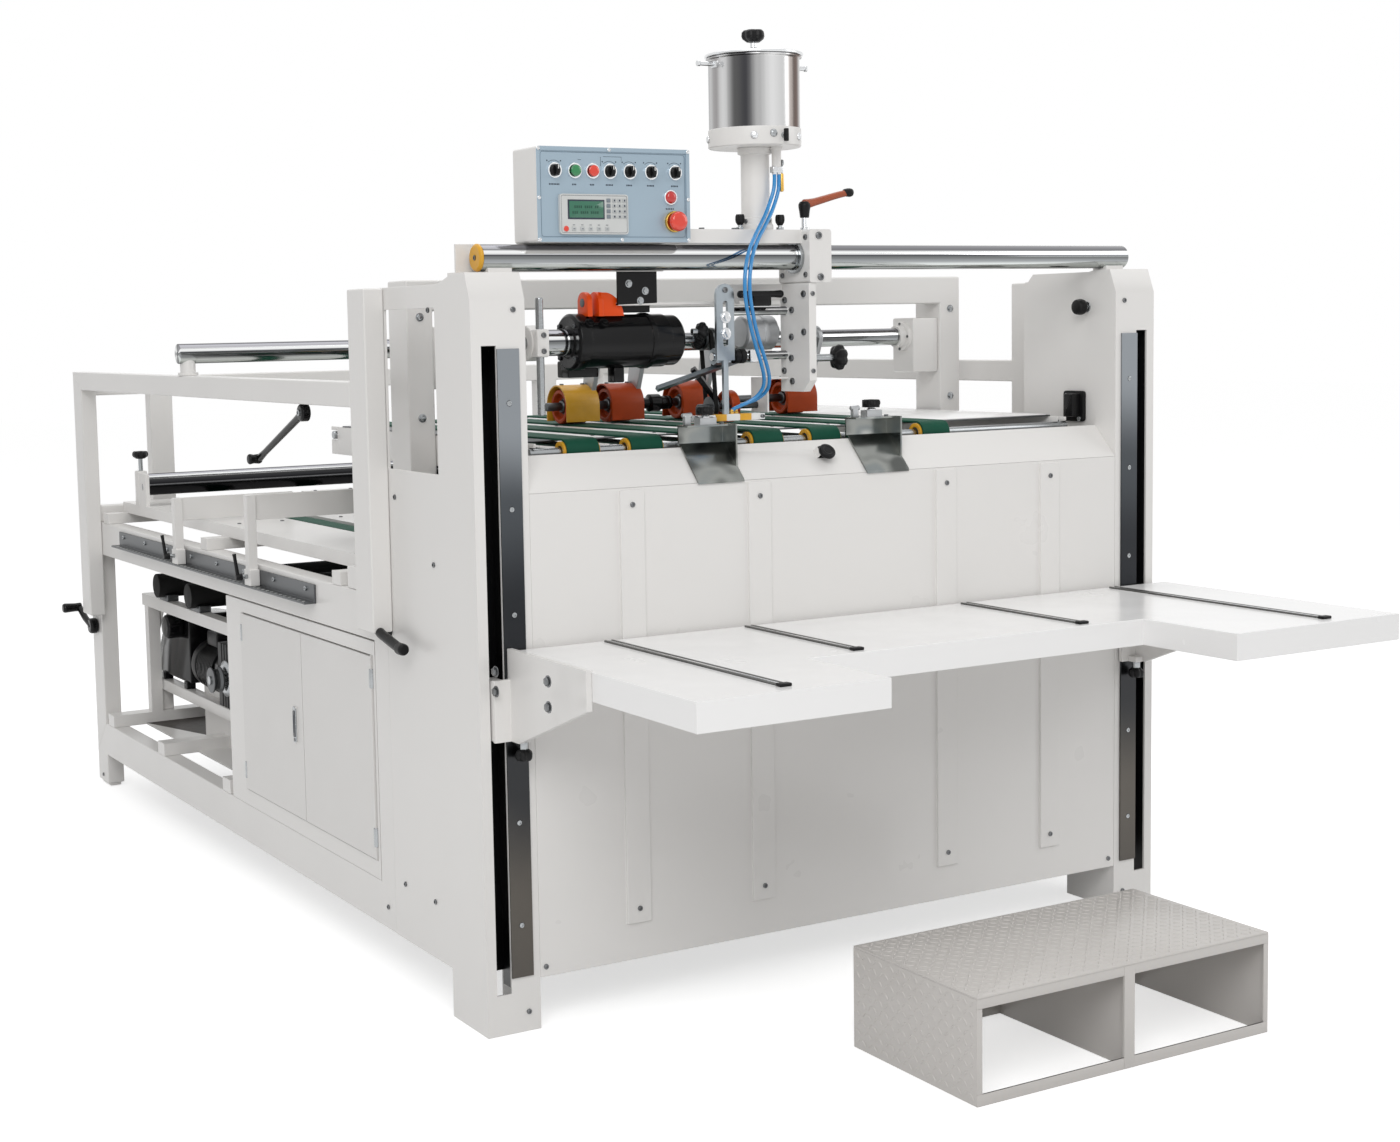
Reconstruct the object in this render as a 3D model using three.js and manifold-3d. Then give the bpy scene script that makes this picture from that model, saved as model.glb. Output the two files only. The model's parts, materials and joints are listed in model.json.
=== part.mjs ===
// A folder gluer for cartons: two front columns with a lift table between them, a feed bed with
// seven belts and press wheels, a glue head that slides on a chromed rod, and a folding conveyor behind.
// Millimetres, +Z up. X runs from the left column to the right one, Y from the operator to the delivery end.

import * as THREE from 'three';
import { mergeVertices } from 'three/addons/utils/BufferGeometryUtils.js';
import Module from 'manifold-3d';

const wasm = await Module();
wasm.setup();

// Machine as a whole
const machineWidth = 1760;
const machineRear = 2774;
const columnHeight = 1500;
const beltDrop = 332;
const beltTop = columnHeight - beltDrop;
const gap = 0.3;
const overrun = 4;
const roundSides = 16;
const turningSides = 12;
const smallSides = 8;
const potSides = 20;
const arcSteps = 3;
const shoulderSteps = 6;
const lobeSteps = 3;

// Front columns
const columnWidth = 118;
const columnBoxDepth = 160;
const columnWall = 6;
const columnPlateDepth = 440;
const columnPlateBottom = 100;
const columnPlateTopDrop = 19;
const columnPlateTop = columnHeight - columnPlateTopDrop;
const columnFacetHeight = 53;
const columnFacetBottom = columnHeight - columnFacetHeight;
const columnFacetSetback = 20;
const columnShoulderStart = 60;
const columnWindowFront = 162;
const columnWindowRear = 412;
const columnWindowBottomDrop = 63;
const columnWindowBottom = beltTop - columnWindowBottomDrop;
const columnWindowTopDrop = 65;
const columnWindowTop = columnHeight - columnWindowTopDrop;
const innerPlateDepth = 315;
const innerPlateTopDrop = 4;
const innerPlateTop = columnHeight - innerPlateTopDrop;
const innerPlateChamfer = 32;
const innerPlateBottom = 104;
const slotInset = 22;
const slotWidth = 32;
const slotBottom = 82;
const slotTopDrop = 141;
const slotTop = columnHeight - slotTopDrop;
const footPadHeight = 8;

// Steel slide rails beside the slots
const railWidth = 48;
const railProud = 4;
const railBottom = 113;
const railTopDrop = 6;
const railTop = slotTop - railTopDrop;
const railScrewPitch = 206;
const railScrewRadius = 6;
const railScrewDepth = 2;

// Front panel with battens, and the sloping deflector above it
const panelThickness = 5;
const panelBottom = 103;
const panelTopDrop = 98;
const panelTop = beltTop - panelTopDrop;
const panelReturn = 40;
const battenWidth = 56;
const battenProud = 6;
const battenBottom = 180;
const battenTopDrop = 4;
const battenTop = panelTop - battenTopDrop;
const battenPlaceShares = [0.15, 0.351, 0.673, 0.868];
const deflectorDrop = 28;
const deflectorTop = beltTop - deflectorDrop;
const deflectorDepth = 66;
const deflectorThickness = 4;
const deflectorLip = 24;
const deflectorKnobRadius = 17;
const deflectorKnobHeight = 22;
const deflectorKnobPlaceShare = 0.475;

// Welded base frame of each side
const railTube = 50;
const bottomRailLow = 100;
const bottomRailHigh = 200;
const middleRailLow = 728;
const middleRailHigh = 828;
const rearPostDepth = 104;
const frontStileDepth = 76;
const frameStart = 170;
const framePlateClear = 0.3;
const frameFootHeight = 10;
const frameFootInset = 8;

// Outer upper frame of each side
const upperTube = 46;
const upperPostDepth = 90;
const upperFrontPostStart = 410;
const upperFrontPostBottom = 760;
const upperFrontPostDrop = 1;
const upperFrontPostTop = columnPlateTop - upperFrontPostDrop;
const upperBeamDrop = 214;
const upperBeamHeight = 54;
const upperBeamHigh = columnHeight - upperBeamDrop;
const upperBeamLow = upperBeamHigh - upperBeamHeight;
const upperRearPostStart = 2620;
const upperRearPostBottom = 545;

// Gantry over the feed bed, with the rod that carries the press wheels
const gantryPostInset = 117;
const gantryPostWidth = 63;
const gantryPostDepth = 100;
const gantryStart = 560;
const gantryBeamHeight = 67;
const gantryTop = columnHeight;
const gantryBeamLow = gantryTop - gantryBeamHeight;
const gantryBeamDepth = 60;
const gantryFootLow = middleRailHigh;
const pressRodRadius = 21;
const pressRodRise = 184;
const pressRodHeight = beltTop + pressRodRise;
const pressRodBlock = 78;
const pressRodBlockDrop = 90;
const pressRodBlockRise = 46;
const pressRodBlockLow = pressRodHeight - pressRodBlockDrop;
const pressRodBlockHigh = pressRodHeight + pressRodBlockRise;
const pressRodBlockDepth = 84;
const pressRodFlangeRadius = 36;
const pressRodFlangeWidth = 10;

// Press wheels over the belts, each at its place in lanes from the first belt
const pressWheelRadius = 40;
const pressWheelWidth = 66;
const pressWheelHubRadius = 30;
const pressWheelDish = 14;
const pressWheelSetback = 46;
const pressShaftRadius = 10;
const pressShaftClear = gap * 2;
const pressArmThickness = 12;
const pressArmRadius = 32;
const pressArmTail = 20;
const pressArmGap = 3;
const pressHoodClear = 6;
const pressHoodWall = 4;
const pressHoodSide = 6;
const pressHoodRise = 6;
const pressNip = gap * 2;
const pressWheelLaneNumbers = [1.9, 2.7, 4, 6];

// Feed bed, belts and pulleys
const beltCount = 7;
const beltPitch = 150;
const beltFirst = 286;
const beltWidth = 75;
const beltThickness = 4;
const beltFrontAxis = 108;
const beltRearAxis = 1150;
const pulleyRadius = 22.2;
const pulleyClear = 1.1;
const pulleyOverhang = 4;
const feedShaftRadius = 10;
const feedShaftInset = 174;
const bedSheet = 3;
const bedEdgeDrop = 70;
const bedFront = 150;
const bedRear = 1104;
const bedSkirt = 5;
const bedSkirtFront = 96;
const bedSkirtRear = 1176;

// Chromed cross rod on the columns, its saddles and its end cap
const mainRodRadius = 26;
const mainRodSeat = 3;
const mainRodHeight = columnHeight + mainRodSeat + mainRodRadius;
const mainRodSetback = 60;
const mainRodStart = 50;
const mainRodEndInset = 46;
const mainRodEnd = machineWidth - mainRodEndInset;
const mainRodCapRadius = 27;
const mainRodCapWidth = 8;
const saddleWidth = 52;
const saddleDepth = 44;
const saddleRise = 9;

// Chromed stiffener rod across the upper frames
const stiffenerRadius = 26;
const stiffenerSetback = 1650;
const stiffenerRise = 57;
const stiffenerHeight = upperBeamHigh + stiffenerRise;
const stiffenerOverhang = 50;
const stiffenerBossRadius = 20;
const stiffenerBossInset = 24;

// Rear portal between the upper frames
const rearPortalSetback = 2640;
const rearPortalDepth = 50;
const rearPortalDrop = 18;
const rearPortalHigh = upperBeamHigh - rearPortalDrop;
const rearPortalLow = rearPortalHigh - upperBeamHeight;
const rearPortalPostInset = 170;
const rearPortalPostWidth = 72;

// Lift table with its brackets and lock knobs
const tableLeft = 72;
const tableRightOverhang = 26;
const tableRight = machineWidth + tableRightOverhang;
const tableTop = 768;
const tableThickness = 55;
const tableWall = 3;
const tableBack = -12;
const tableMiddleFront = -424;
const tableArmFront = -680;
const leftArmWidth = 404;
const leftArmRight = tableLeft + leftArmWidth;
const rightArmWidth = 466;
const rightArmLeft = tableRight - rightArmWidth;
const stripWidth = 20;
const stripHeight = 3;
const stripInset = 14;
const longStripLength = 616;
const shortStripLength = 376;
const stripPlaceShares = [0.118, 0.312, 0.643, 0.897];
const bracketThickness = 12;
const bracketReach = 322;
const bracketHigh = 772;
const bracketNoseHigh = 696;
const bracketLow = 590;
const bracketToe = 44;
const bracketFlangeWidth = 54;
const bracketFlangeThickness = 10;
const bracketClear = 2;
const bracketTongueWidth = 26;
const bracketTongueDepth = 34;
const bracketHeelHeight = 150;
const lockKnobRadius = 18;
const lockKnobHeight = 22;
const lockKnobNeck = 9;
const lockKnobNeckLength = 14;
const lockKnobSetback = 28;

// Control box over the rod, with its buttons
const boxLeft = 150;
const boxWidth = 347;
const boxRight = boxLeft + boxWidth;
const boxRise = 28;
const boxLow = mainRodHeight + boxRise;
const boxHeight = 184;
const boxHigh = boxLow + boxHeight;
const boxDepth = 98;
const boxCorner = 6;
const boxFrame = 8;
const boxFaceRecess = 3;
const boxBracketThickness = 6;
const boxBracketLow = innerPlateTop + gap + boxBracketThickness;
const boxBracketDrop = 41;
const boxBracketHigh = boxHigh - boxBracketDrop;
const boxBracketLeft = 20;
const boxBracketFoot = 40;
const displayInset = 48;
const displayWidth = 153;
const displayRise = 15;
const displayHeight = 78;
const displayLeft = boxLeft + displayInset;
const displayRight = displayLeft + displayWidth;
const displayLow = boxLow + displayRise;
const displayHigh = displayLow + displayHeight;
const displayProud = 7;
const controlRowDrop = 46;
const controlRowHeight = boxHigh - controlRowDrop;
const startInset = 84;
const stopInset = 124;
const startPlace = boxLeft + startInset;
const stopPlace = boxLeft + stopInset;
const selectorPlaceShares = [0.1153, 0.4697, 0.5994, 0.7406, 0.902];
const selectorPlaces = selectorPlaceShares.map((share) => boxLeft + boxWidth * share);
const buttonHeadRadius = 11;
const buttonHeadProud = 8;
const bezelRadius = 14.5;
const bezelProud = 5;
const buttonStemRadius = 8.5;
const buttonStemLength = 14;
const buttonClear = 0.9;
const selectorHeadRadius = 11;
const selectorHeadProud = 5;
const selectorBarWidth = 6;
const selectorBarProud = 9;
const lampInset = 46;
const lampRise = 89;
const lampPlace = boxRight - lampInset;
const lampHeight = boxLow + lampRise;
const lampRadius = 13;
const lampProud = 9;
const estopInset = 37;
const estopRise = 41;
const estopPlace = boxRight - estopInset;
const estopHeight = boxLow + estopRise;
const estopHeadRadius = 20;
const estopHeadThickness = 14;
const estopNeckRadius = 13;
const estopNeckLength = 10;
const estopCollarRadius = 21;
const estopCollarProud = 4;
const estopDomeShare = 0.6;
const stopTravel = 3;
const estopTravel = 6;

// Glue carriage on the cross rod
const carriageLeft = 794;
const carriageWidth = 56;
const carriageFront = 8;
const carriageRear = 122;
const carriageDrop = 54;
const carriageRise = 57;
const carriageLow = mainRodHeight - carriageDrop;
const carriageHigh = mainRodHeight + carriageRise;
const carriageRodClear = 0.5;
const hangPlateThickness = 18;
const hangPlateRise = 78;
const hangPlateLow = beltTop + hangPlateRise;
const hangPlateCorner = 24;
const hangPlateFront = 12;
const hangPlateRear = 118;
const armThickness = 28.5;
const armLow = carriageHigh - armThickness;
const armFront = 38;
const armSlimFront = 114;
const armRear = 156;
const hangerThickness = 6;
const hangerLeft = 387;
const hangerWidth = 94;
const hangerRight = hangerLeft + hangerWidth;
const armEndMargin = 7;
const armBoxClear = 15;
const armSlimEnd = hangerLeft - armEndMargin;
const armWideEnd = Math.max(boxRight, hangerRight) + armBoxClear;
const hangerDrop = 35;
const hangerLow = carriageLow - hangerDrop;

// Glue pot, its lid and its post
const potPlace = 708;
const potSetback = 80;
const potPostRadius = 30;
const potPostWall = 4;
const potPostRise = 170;
const potPostTop = carriageHigh + potPostRise;
const potCollarHeight = 26;
const potCollarRadius = 37;
const potRingRadius = 97;
const potRingHeight = 38;
const potRadius = 95;
const potWall = 2.5;
const potFloor = 5;
const potHeight = 186;
const potRimRadius = 100;
const potRimHeight = 5;
const potHandleReach = 38;
const potHandleWidth = 12;
const potHandleHeight = 10;
const potHandleDrop = 12;
const lidRadius = 103;
const lidThickness = 6;
const lidPlugRadius = 90;
const lidPlugDepth = 8;
const lidDome = 4;
const lidStemRadius = 7;
const lidStemHeight = 22;
const lidKnobRadius = 25;
const lidKnobHeight = 24;
const lidKnobLobes = 5;
const lidKnobDip = 4;

// Clamp lever and star knob of the carriage
const leverHubRadius = 13;
const leverHubHeight = 34;
const leverStemRadius = 7;
const leverStemHeight = 26;
const leverReach = 116;
const leverRise = 26;
const leverThickness = 11;
const leverGripRadius = 11;
const leverPlace = 820;
const leverSetback = 62;
const starKnobRadius = 28;
const starKnobWidth = 24;
const starKnobLobes = 6;
const starKnobDip = 4;
const starKnobStemRadius = 8;
const starKnobStemLength = 80;
const starKnobRise = 148;
const starKnobHeight = beltTop + starKnobRise;
const starKnobSetback = 64;
const starKnobSeatShare = 0.6;

// Glue motor, its bracket, pulley, belt and wheel
const motorLeft = 290;
const motorRight = 545;
const motorRadius = 58;
const motorNeckRadius = 52;
const motorNeckLength = 34;
const motorRise = 193;
const motorHeight = beltTop + motorRise;
const motorSetback = 150;
const motorShellRadius = 55;
const motorBellLength = 30;
const motorBandWidth = 12;
const motorBandInset = 70;
const motorChamfer = 5;
const motorCollarRadius = 27;
const motorCollarLength = 64;
const motorClampRadius = 36;
const motorClampLength = 34;
const motorShaftRadius = 9;
const motorShaftEnd = 640;
const motorPulleyRadius = 24;
const motorPulleyWidth = 26;
const motorPulleyPlace = 604;
const dropRodRadius = 8;
const dropRodFall = 145;
const dropRodRise = 91;
const dropRodLow = motorHeight - dropRodFall;
const dropRodHigh = motorHeight + dropRodRise;
const glueWheelRadius = 34;
const glueWheelRim = 8;
const glueWheelWidth = 20;
const glueWheelWeb = 8;
const glueWheelPlace = 668;
const glueWheelRise = 50;
const glueWheelHeight = beltTop + glueWheelRise;
const glueWheelAxle = 7;
const glueWheelBoss = 13;

// Slotted fork plate and its rods, glue shoe and valve
const forkPlace = 628;
const forkWidth = 44;
const forkThickness = 8;
const forkRise = 148;
const forkHeight = 160;
const forkLow = beltTop + forkRise;
const forkHigh = forkLow + forkHeight;
const forkSetback = 86;
const forkSlotWidth = 12;
const forkSlotRise = 29;
const forkSlotLength = 95;
const forkSlotLow = forkLow + forkSlotRise;
const forkSlotHigh = forkSlotLow + forkSlotLength;
const forkRodRadius = 9;
const forkRodRise = 8;
const forkUpperRodRise = 102;
const forkRodHeight = forkLow + forkRodRise;
const forkUpperRodHeight = forkLow + forkUpperRodRise;
const forkRodSetback = 100;
const shoeLeft = 548;
const shoeRight = 724;
const shoeRise = 22;
const shoeThickness = 13;
const shoeLow = beltTop + shoeRise;
const shoeHigh = shoeLow + shoeThickness;
const shoeFront = 78;
const shoeRear = 98;
const bentSheetThickness = 4;
const bentSheetWidth = 62;
const bentSheetLow = shoeHigh;
const bentSheetPlace = 742;
const bentSheetSetback = 92;
const valvePlace = 735;
const valveSetback = 40;
const valveDrop = 56;
const valveLow = potPostTop - valveDrop;
const valveBodyRadius = 10;
const valveHandleDrop = 32;
const valveHandleHeight = potPostTop - valveHandleDrop;
const valveHandleLength = 60;
const valveHandleWidth = 10;
const valveHandleThickness = 4;
const valveHubRadius = 7;

// Two glue hoses; their points are chosen by hand along the photographed route
const hoseRadius = 4;
const hoseSides = 8;
const hoseSteps = 24;

// Two bent front guides on the deflector
const guideWidth = 112;
const guideSheet = 4;
const guideLeftPlace = 560;
const guideRightPlace = 986;
const guideClear = 1;
const guideRise = 18;
const guideRiserHigh = beltTop + guideRise;
const guideShelfDepth = 40;
const guideFlangeFront = 20;
const guideClampWidth = 40;
const guideClampDepth = 24;
const guideClampHeight = 14;
const guideKnobRadius = 20;
const guideKnobHeight = 14;
const guideKnobStem = 7;
const guideKnobStemLength = 8;
const guideBarRadius = 6;
const guideBarSetback = 82;
const guideBarDrop = 42;
const guideBarHeight = deflectorTop - guideBarDrop;
const guideRingRadius = 11;
const guideLugWidth = 8;
const guideLugRadius = 14;

// Electrical cabinet in the left side, with two doors
const cabinetFront = 517;
const cabinetRear = 1489;
const cabinetLow = 200.3;
const cabinetHigh = 725;
const cabinetDepth = 430;
const cabinetWall = 4;
const cabinetFace = 16;
const doorOpeningFront = 530;
const doorOpeningRear = 1376;
const doorOpeningLow = 240;
const doorOpeningHigh = 694;
const doorClear = 3;
const doorThickness = 20;
const doorSheet = 3;
const doorProud = 3;
const doorPinRadius = 4;
const doorPinInset = 5;
const latchWidth = 18;
const latchHeight = 86;
const latchProud = 4;
const latchInset = 48;

// Folding conveyor behind, with its press roller
const plankCount = 6;
const plankFirst = 62;
const plankGap = 92;
const plankWidth = (machineWidth - plankFirst * 2 - plankGap * (plankCount - 1)) / plankCount;
const plankTop = 890;
const plankThickness = 32;
const plankFront = 700;
const plankRear = 2600;
const crossBarCount = 3;
const crossBarDepth = 50;
const conveyorBeltWidth = 60;
const conveyorBeltOverhang = 12;
const conveyorBeltDrop = 6;
const rollerSetback = 2390;
const rollerHeight = 946;
const rollerRadius = 25;
const rollerJournalRadius = 9;
const rollerJournalLength = 24;
const rollerPlateThickness = 12;
const rollerPlateDepth = 64;
const rollerPlateHigh = 986;
const rollerClear = 0.7;

// Steel rail of the side fences, and the two fences
const fenceRailFront = 850;
const fenceRailRear = 2420;
const fenceRailLow = 772;
const fenceRailHigh = 816;
const fenceRailThickness = 5;
const fenceRailShelf = 30;
const fencePost = 24;
const fenceFrontPlace = 1230;
const fenceFrontHigh = 1000;
const fenceFrontBoardLength = 300;
const fenceRearPlace = 1810;
const fenceRearHigh = 956;
const fenceRearBoardLength = 250;
const fenceBoardHeight = 62;
const fenceBoardThickness = 6;
const fenceClampHeight = 40;
const fenceClampWidth = 44;
const fenceClampClear = gap * 2;

// Black crank under the left beam
const crankSetback = 830;
const crankLength = 330;
const crankFallShare = 0.36;
const crankArmWidth = 20;
const crankArmThickness = 14;
const crankHubRadius = 20;
const crankGripRadius = 13;
const crankGripLength = 40;

// Lower tray with the drive unit, and floor cross members
const trayHigh = 236;
const trayLow = 200.3;
const trayFront = 1510;
const trayRear = 2640;
const trayBeam = 60;
const driveRadius = 72;
const driveLength = 230;
const drivePlace = 230;
const driveHeight = 420;
const driveSetback = 2060;
const drivePedestal = 120;
const gearboxWidth = 130;
const gearboxDepth = 150;
const gearboxHeight = 190;
const subFrameTube = 36;
const subFrameHigh = 600;

// Loose step in front of the machine
const stepLeft = 579;
const stepWidth = 722;
const stepFront = -784;
const stepDepth = 366;
const stepHeight = 200;
const stepWall = 4;
const stepRail = 22;
const stepLip = 8;

// Materials
const paint = { color: 0xeceae6, roughness: 0.42, metalness: 0.05 };
const steel = { color: 0x8f969b, roughness: 0.32, metalness: 0.9 };
const chrome = { color: 0xd6d8da, roughness: 0.12, metalness: 1 };
const blackPlastic = { color: 0x17181a, roughness: 0.55, metalness: 0 };
const blackMetal = { color: 0x121314, roughness: 0.38, metalness: 0.3 };
const belt = { color: 0x0f5c3c, roughness: 0.7, metalness: 0 };
const yellow = { color: 0xe0a21c, roughness: 0.5, metalness: 0 };
const orange = { color: 0xc64a1c, roughness: 0.5, metalness: 0 };
const panelBlue = { color: 0xb9cbd6, roughness: 0.4, metalness: 0.1 };
const green = { color: 0x1c9a4c, roughness: 0.4, metalness: 0 };
const red = { color: 0xd8351f, roughness: 0.4, metalness: 0 };
const hoseBlue = { color: 0x1f7fc9, roughness: 0.35, metalness: 0 };
const brass = { color: 0xb58a3c, roughness: 0.3, metalness: 0.9 };

// Solids: three.js shapes, joined and cut
const mergeDistance = 1e-5;

function toSolid(geometry) {
  const bare = geometry.clone();
  bare.deleteAttribute('normal');
  bare.deleteAttribute('uv');
  const merged = mergeVertices(bare, mergeDistance);
  const position = merged.attributes.position;
  const index = Array.from(merged.index.array);
  const kept = [];
  let volume = 0;
  const a = new THREE.Vector3();
  const b = new THREE.Vector3();
  const c = new THREE.Vector3();
  for (let i = 0; i < index.length; i += 3) {
    const [p, q, r] = [index[i], index[i + 1], index[i + 2]];
    if (p === q || q === r || p === r) continue;
    a.fromBufferAttribute(position, p);
    b.fromBufferAttribute(position, q);
    c.fromBufferAttribute(position, r);
    volume += a.dot(b.cross(c));
    kept.push(p, q, r);
  }
  if (volume < 0) kept.reverse();
  return new wasm.Manifold(new wasm.Mesh({
    numProp: 3,
    vertProperties: Float32Array.from(position.array),
    triVerts: Uint32Array.from(kept),
  }));
}

function toGeometry(solid) {
  const mesh = solid.getMesh();
  const geometry = new THREE.BufferGeometry();
  geometry.setAttribute('position', new THREE.BufferAttribute(mesh.vertProperties, 3));
  geometry.setIndex(new THREE.BufferAttribute(mesh.triVerts, 1));
  geometry.computeVertexNormals();
  return geometry;
}

const join = (first, ...rest) => rest.reduce((sum, solid) => sum.add(solid), first);
const cut = (first, ...rest) => rest.reduce((left, solid) => left.subtract(solid), first);
const sorted = ([a, b]) => (a < b ? [a, b] : [b, a]);

// A box between two places on each axis
function block(xs, ys, zs) {
  const [x0, x1] = sorted(xs);
  const [y0, y1] = sorted(ys);
  const [z0, z1] = sorted(zs);
  const geometry = new THREE.BoxGeometry(x1 - x0, y1 - y0, z1 - z0);
  geometry.translate((x0 + x1) / 2, (y0 + y1) / 2, (z0 + z1) / 2);
  return toSolid(geometry);
}

// A cylinder along x, y or z, from one place to another; centre holds the two other coordinates
function rod(axis, radius, ends, centre, sides = roundSides) {
  const [start, end] = sorted(ends);
  const geometry = new THREE.CylinderGeometry(radius, radius, end - start, sides);
  geometry.translate(0, (start + end) / 2, 0);
  const [u, v] = centre;
  if (axis === 'x') geometry.rotateZ(-Math.PI / 2).translate(0, u, v);
  if (axis === 'y') geometry.translate(u, 0, v);
  if (axis === 'z') geometry.rotateX(Math.PI / 2).translate(u, v, 0);
  return toSolid(geometry);
}

// A turned shape: profile points are [radius, place along the axis]
function turned(axis, profile, centre, sides = roundSides) {
  const points = profile.map(([radius, place]) => new THREE.Vector2(radius, place));
  const geometry = new THREE.LatheGeometry([...points, points[0].clone()], sides);
  const [u, v] = centre;
  if (axis === 'x') geometry.rotateZ(-Math.PI / 2).translate(0, u, v);
  if (axis === 'y') geometry.translate(u, 0, v);
  if (axis === 'z') geometry.rotateX(Math.PI / 2).translate(u, v, 0);
  return toSolid(geometry);
}

// An outline pushed along x, y or z; outlines across x are [y, z], across y [x, z], across z [x, y]
function plate(axis, outline, span, holes = []) {
  const shape = outline instanceof THREE.Shape
    ? outline
    : new THREE.Shape(outline.map((p) => new THREE.Vector2(...p)));
  holes.forEach((hole) => shape.holes.push(new THREE.Path(hole.map((p) => new THREE.Vector2(...p)))));
  const [start, end] = sorted(span);
  const geometry = new THREE.ExtrudeGeometry(shape, {
    depth: end - start, bevelEnabled: false, curveSegments: arcSteps,
  });
  const turn = new THREE.Matrix4();
  if (axis === 'x') turn.set(0, 0, 1, start, 1, 0, 0, 0, 0, 1, 0, 0, 0, 0, 0, 1);
  if (axis === 'y') turn.set(1, 0, 0, 0, 0, 0, -1, end, 0, 1, 0, 0, 0, 0, 0, 1);
  if (axis === 'z') turn.set(1, 0, 0, 0, 0, 1, 0, 0, 0, 0, 1, start, 0, 0, 0, 1);
  geometry.applyMatrix4(turn);
  return toSolid(geometry);
}

// Points on an arc
function arcPoints([x, y], radius, start, end) {
  return Array.from({ length: arcSteps + 1 }, (_, i) => {
    const turn = start + ((end - start) * i) / arcSteps;
    return [x + radius * Math.cos(turn), y + radius * Math.sin(turn)];
  });
}

// A rectangle with round corners as an outline
function roundedOutline([x0, x1], [y0, y1], radius) {
  return [
    ...arcPoints([x1 - radius, y0 + radius], radius, -Math.PI / 2, 0),
    ...arcPoints([x1 - radius, y1 - radius], radius, 0, Math.PI / 2),
    ...arcPoints([x0 + radius, y1 - radius], radius, Math.PI / 2, Math.PI),
    ...arcPoints([x0 + radius, y0 + radius], radius, Math.PI, Math.PI * 1.5),
  ];
}

// A lobed knob outline: the radius dips evenly between the lobes
function lobedOutline([cx, cy], radius, dip, lobes) {
  const count = lobes * lobeSteps;
  return Array.from({ length: count }, (_, i) => {
    const turn = (i / count) * Math.PI * 2;
    const reach = radius - dip * (1 - Math.cos(turn * lobes)) / 2;
    return [cx + reach * Math.cos(turn), cy + reach * Math.sin(turn)];
  });
}

const machine = new THREE.Group();

function piece(name, solid, look) {
  const mesh = new THREE.Mesh(toGeometry(solid), new THREE.MeshStandardMaterial(look));
  mesh.name = name;
  machine.add(mesh);
}

// The two sides mirror each other about the middle of the machine
const sides = ['left', 'right'];
const across = (side, x) => (side === 'left' ? x : machineWidth - x);
const span = (side, a, b) => [across(side, a), across(side, b)];

// Front columns: a folded box with a slot, an outer side plate with a window and an inner side plate

function columnTopLine() {
  const points = [];
  const run = columnBoxDepth - columnShoulderStart;
  const drop = columnHeight - columnPlateTop;
  for (let i = 0; i <= shoulderSteps; i += 1) {
    const t = i / shoulderSteps;
    const ease = (1 - Math.cos(t * Math.PI)) / 2;
    points.push([columnShoulderStart + run * t, columnHeight - drop * ease]);
  }
  return points;
}

function column(side) {
  const boxOutline = [
    [columnBoxDepth, 0], [0, 0], [0, columnFacetBottom], [columnFacetSetback, columnHeight],
    ...columnTopLine(),
  ];
  const outer = plate('x', boxOutline, span(side, 0, columnWidth));
  const hollow = plate('x', [
    [columnBoxDepth + overrun, footPadHeight], [columnWall, footPadHeight],
    [columnWall, columnFacetBottom], [columnFacetSetback + columnWall, columnPlateTop - columnWall],
    [columnBoxDepth + overrun, columnPlateTop - columnWall],
  ], span(side, columnWall, columnWidth - columnWall));
  const sidePlate = plate('x', [
    [columnBoxDepth - columnWall, columnPlateBottom], [columnPlateDepth, columnPlateBottom],
    [columnPlateDepth, columnPlateTop], [columnBoxDepth - columnWall, columnPlateTop],
  ], span(side, 0, columnWall));
  const window = block(
    span(side, -overrun, columnWall + overrun),
    [columnWindowFront, columnWindowRear],
    [columnWindowBottom, columnWindowTop],
  );
  const innerPlate = plate('x', [
    [columnBoxDepth - columnWall, innerPlateBottom], [innerPlateDepth, innerPlateBottom],
    [innerPlateDepth, innerPlateTop - innerPlateChamfer],
    [innerPlateDepth - innerPlateChamfer, innerPlateTop],
    [columnShoulderStart, innerPlateTop], [columnShoulderStart, columnPlateTop - columnWall * 2],
    [columnBoxDepth - columnWall, columnPlateTop - columnWall * 2],
  ], span(side, columnWidth - columnWall, columnWidth));
  const slot = block(
    span(side, slotInset, slotInset + slotWidth),
    [-overrun, columnWall + overrun],
    [slotBottom, slotTop],
  );
  const saddleSeat = rod('x', mainRodRadius + gap, span(side, 0, columnWidth), [mainRodSetback, mainRodHeight]);
  const saddle = block(
    span(side, columnWidth - saddleWidth - columnWall, columnWidth - columnWall),
    [mainRodSetback - saddleDepth / 2, mainRodSetback + saddleDepth / 2],
    [columnPlateTop - columnWall, columnHeight + saddleRise],
  );
  return cut(join(cut(outer, hollow, slot), cut(sidePlate, window), innerPlate, saddle), saddleSeat);
}

sides.forEach((side) => piece(`${side}_column`, column(side), paint));

// Slide rails, with a row of countersunk screw seats

function slideRail(side) {
  const inset = slotInset + slotWidth;
  const bar = block(span(side, inset, inset + railWidth), [-railProud, -gap], [railBottom, railTop]);
  const count = Math.floor((railTop - railBottom) / railScrewPitch);
  const first = (railTop + railBottom - (count - 1) * railScrewPitch) / 2;
  const seats = Array.from({ length: count }, (_, i) => rod(
    'y',
    railScrewRadius,
    [-railProud - overrun, -railProud + railScrewDepth],
    [across(side, inset + railWidth / 2), first + i * railScrewPitch],
    smallSides,
  ));
  return cut(bar, ...seats);
}

sides.forEach((side) => piece(`${side}_slide_rail`, slideRail(side), steel));

// Front panel: a folded sheet between the columns, with four vertical battens

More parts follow.
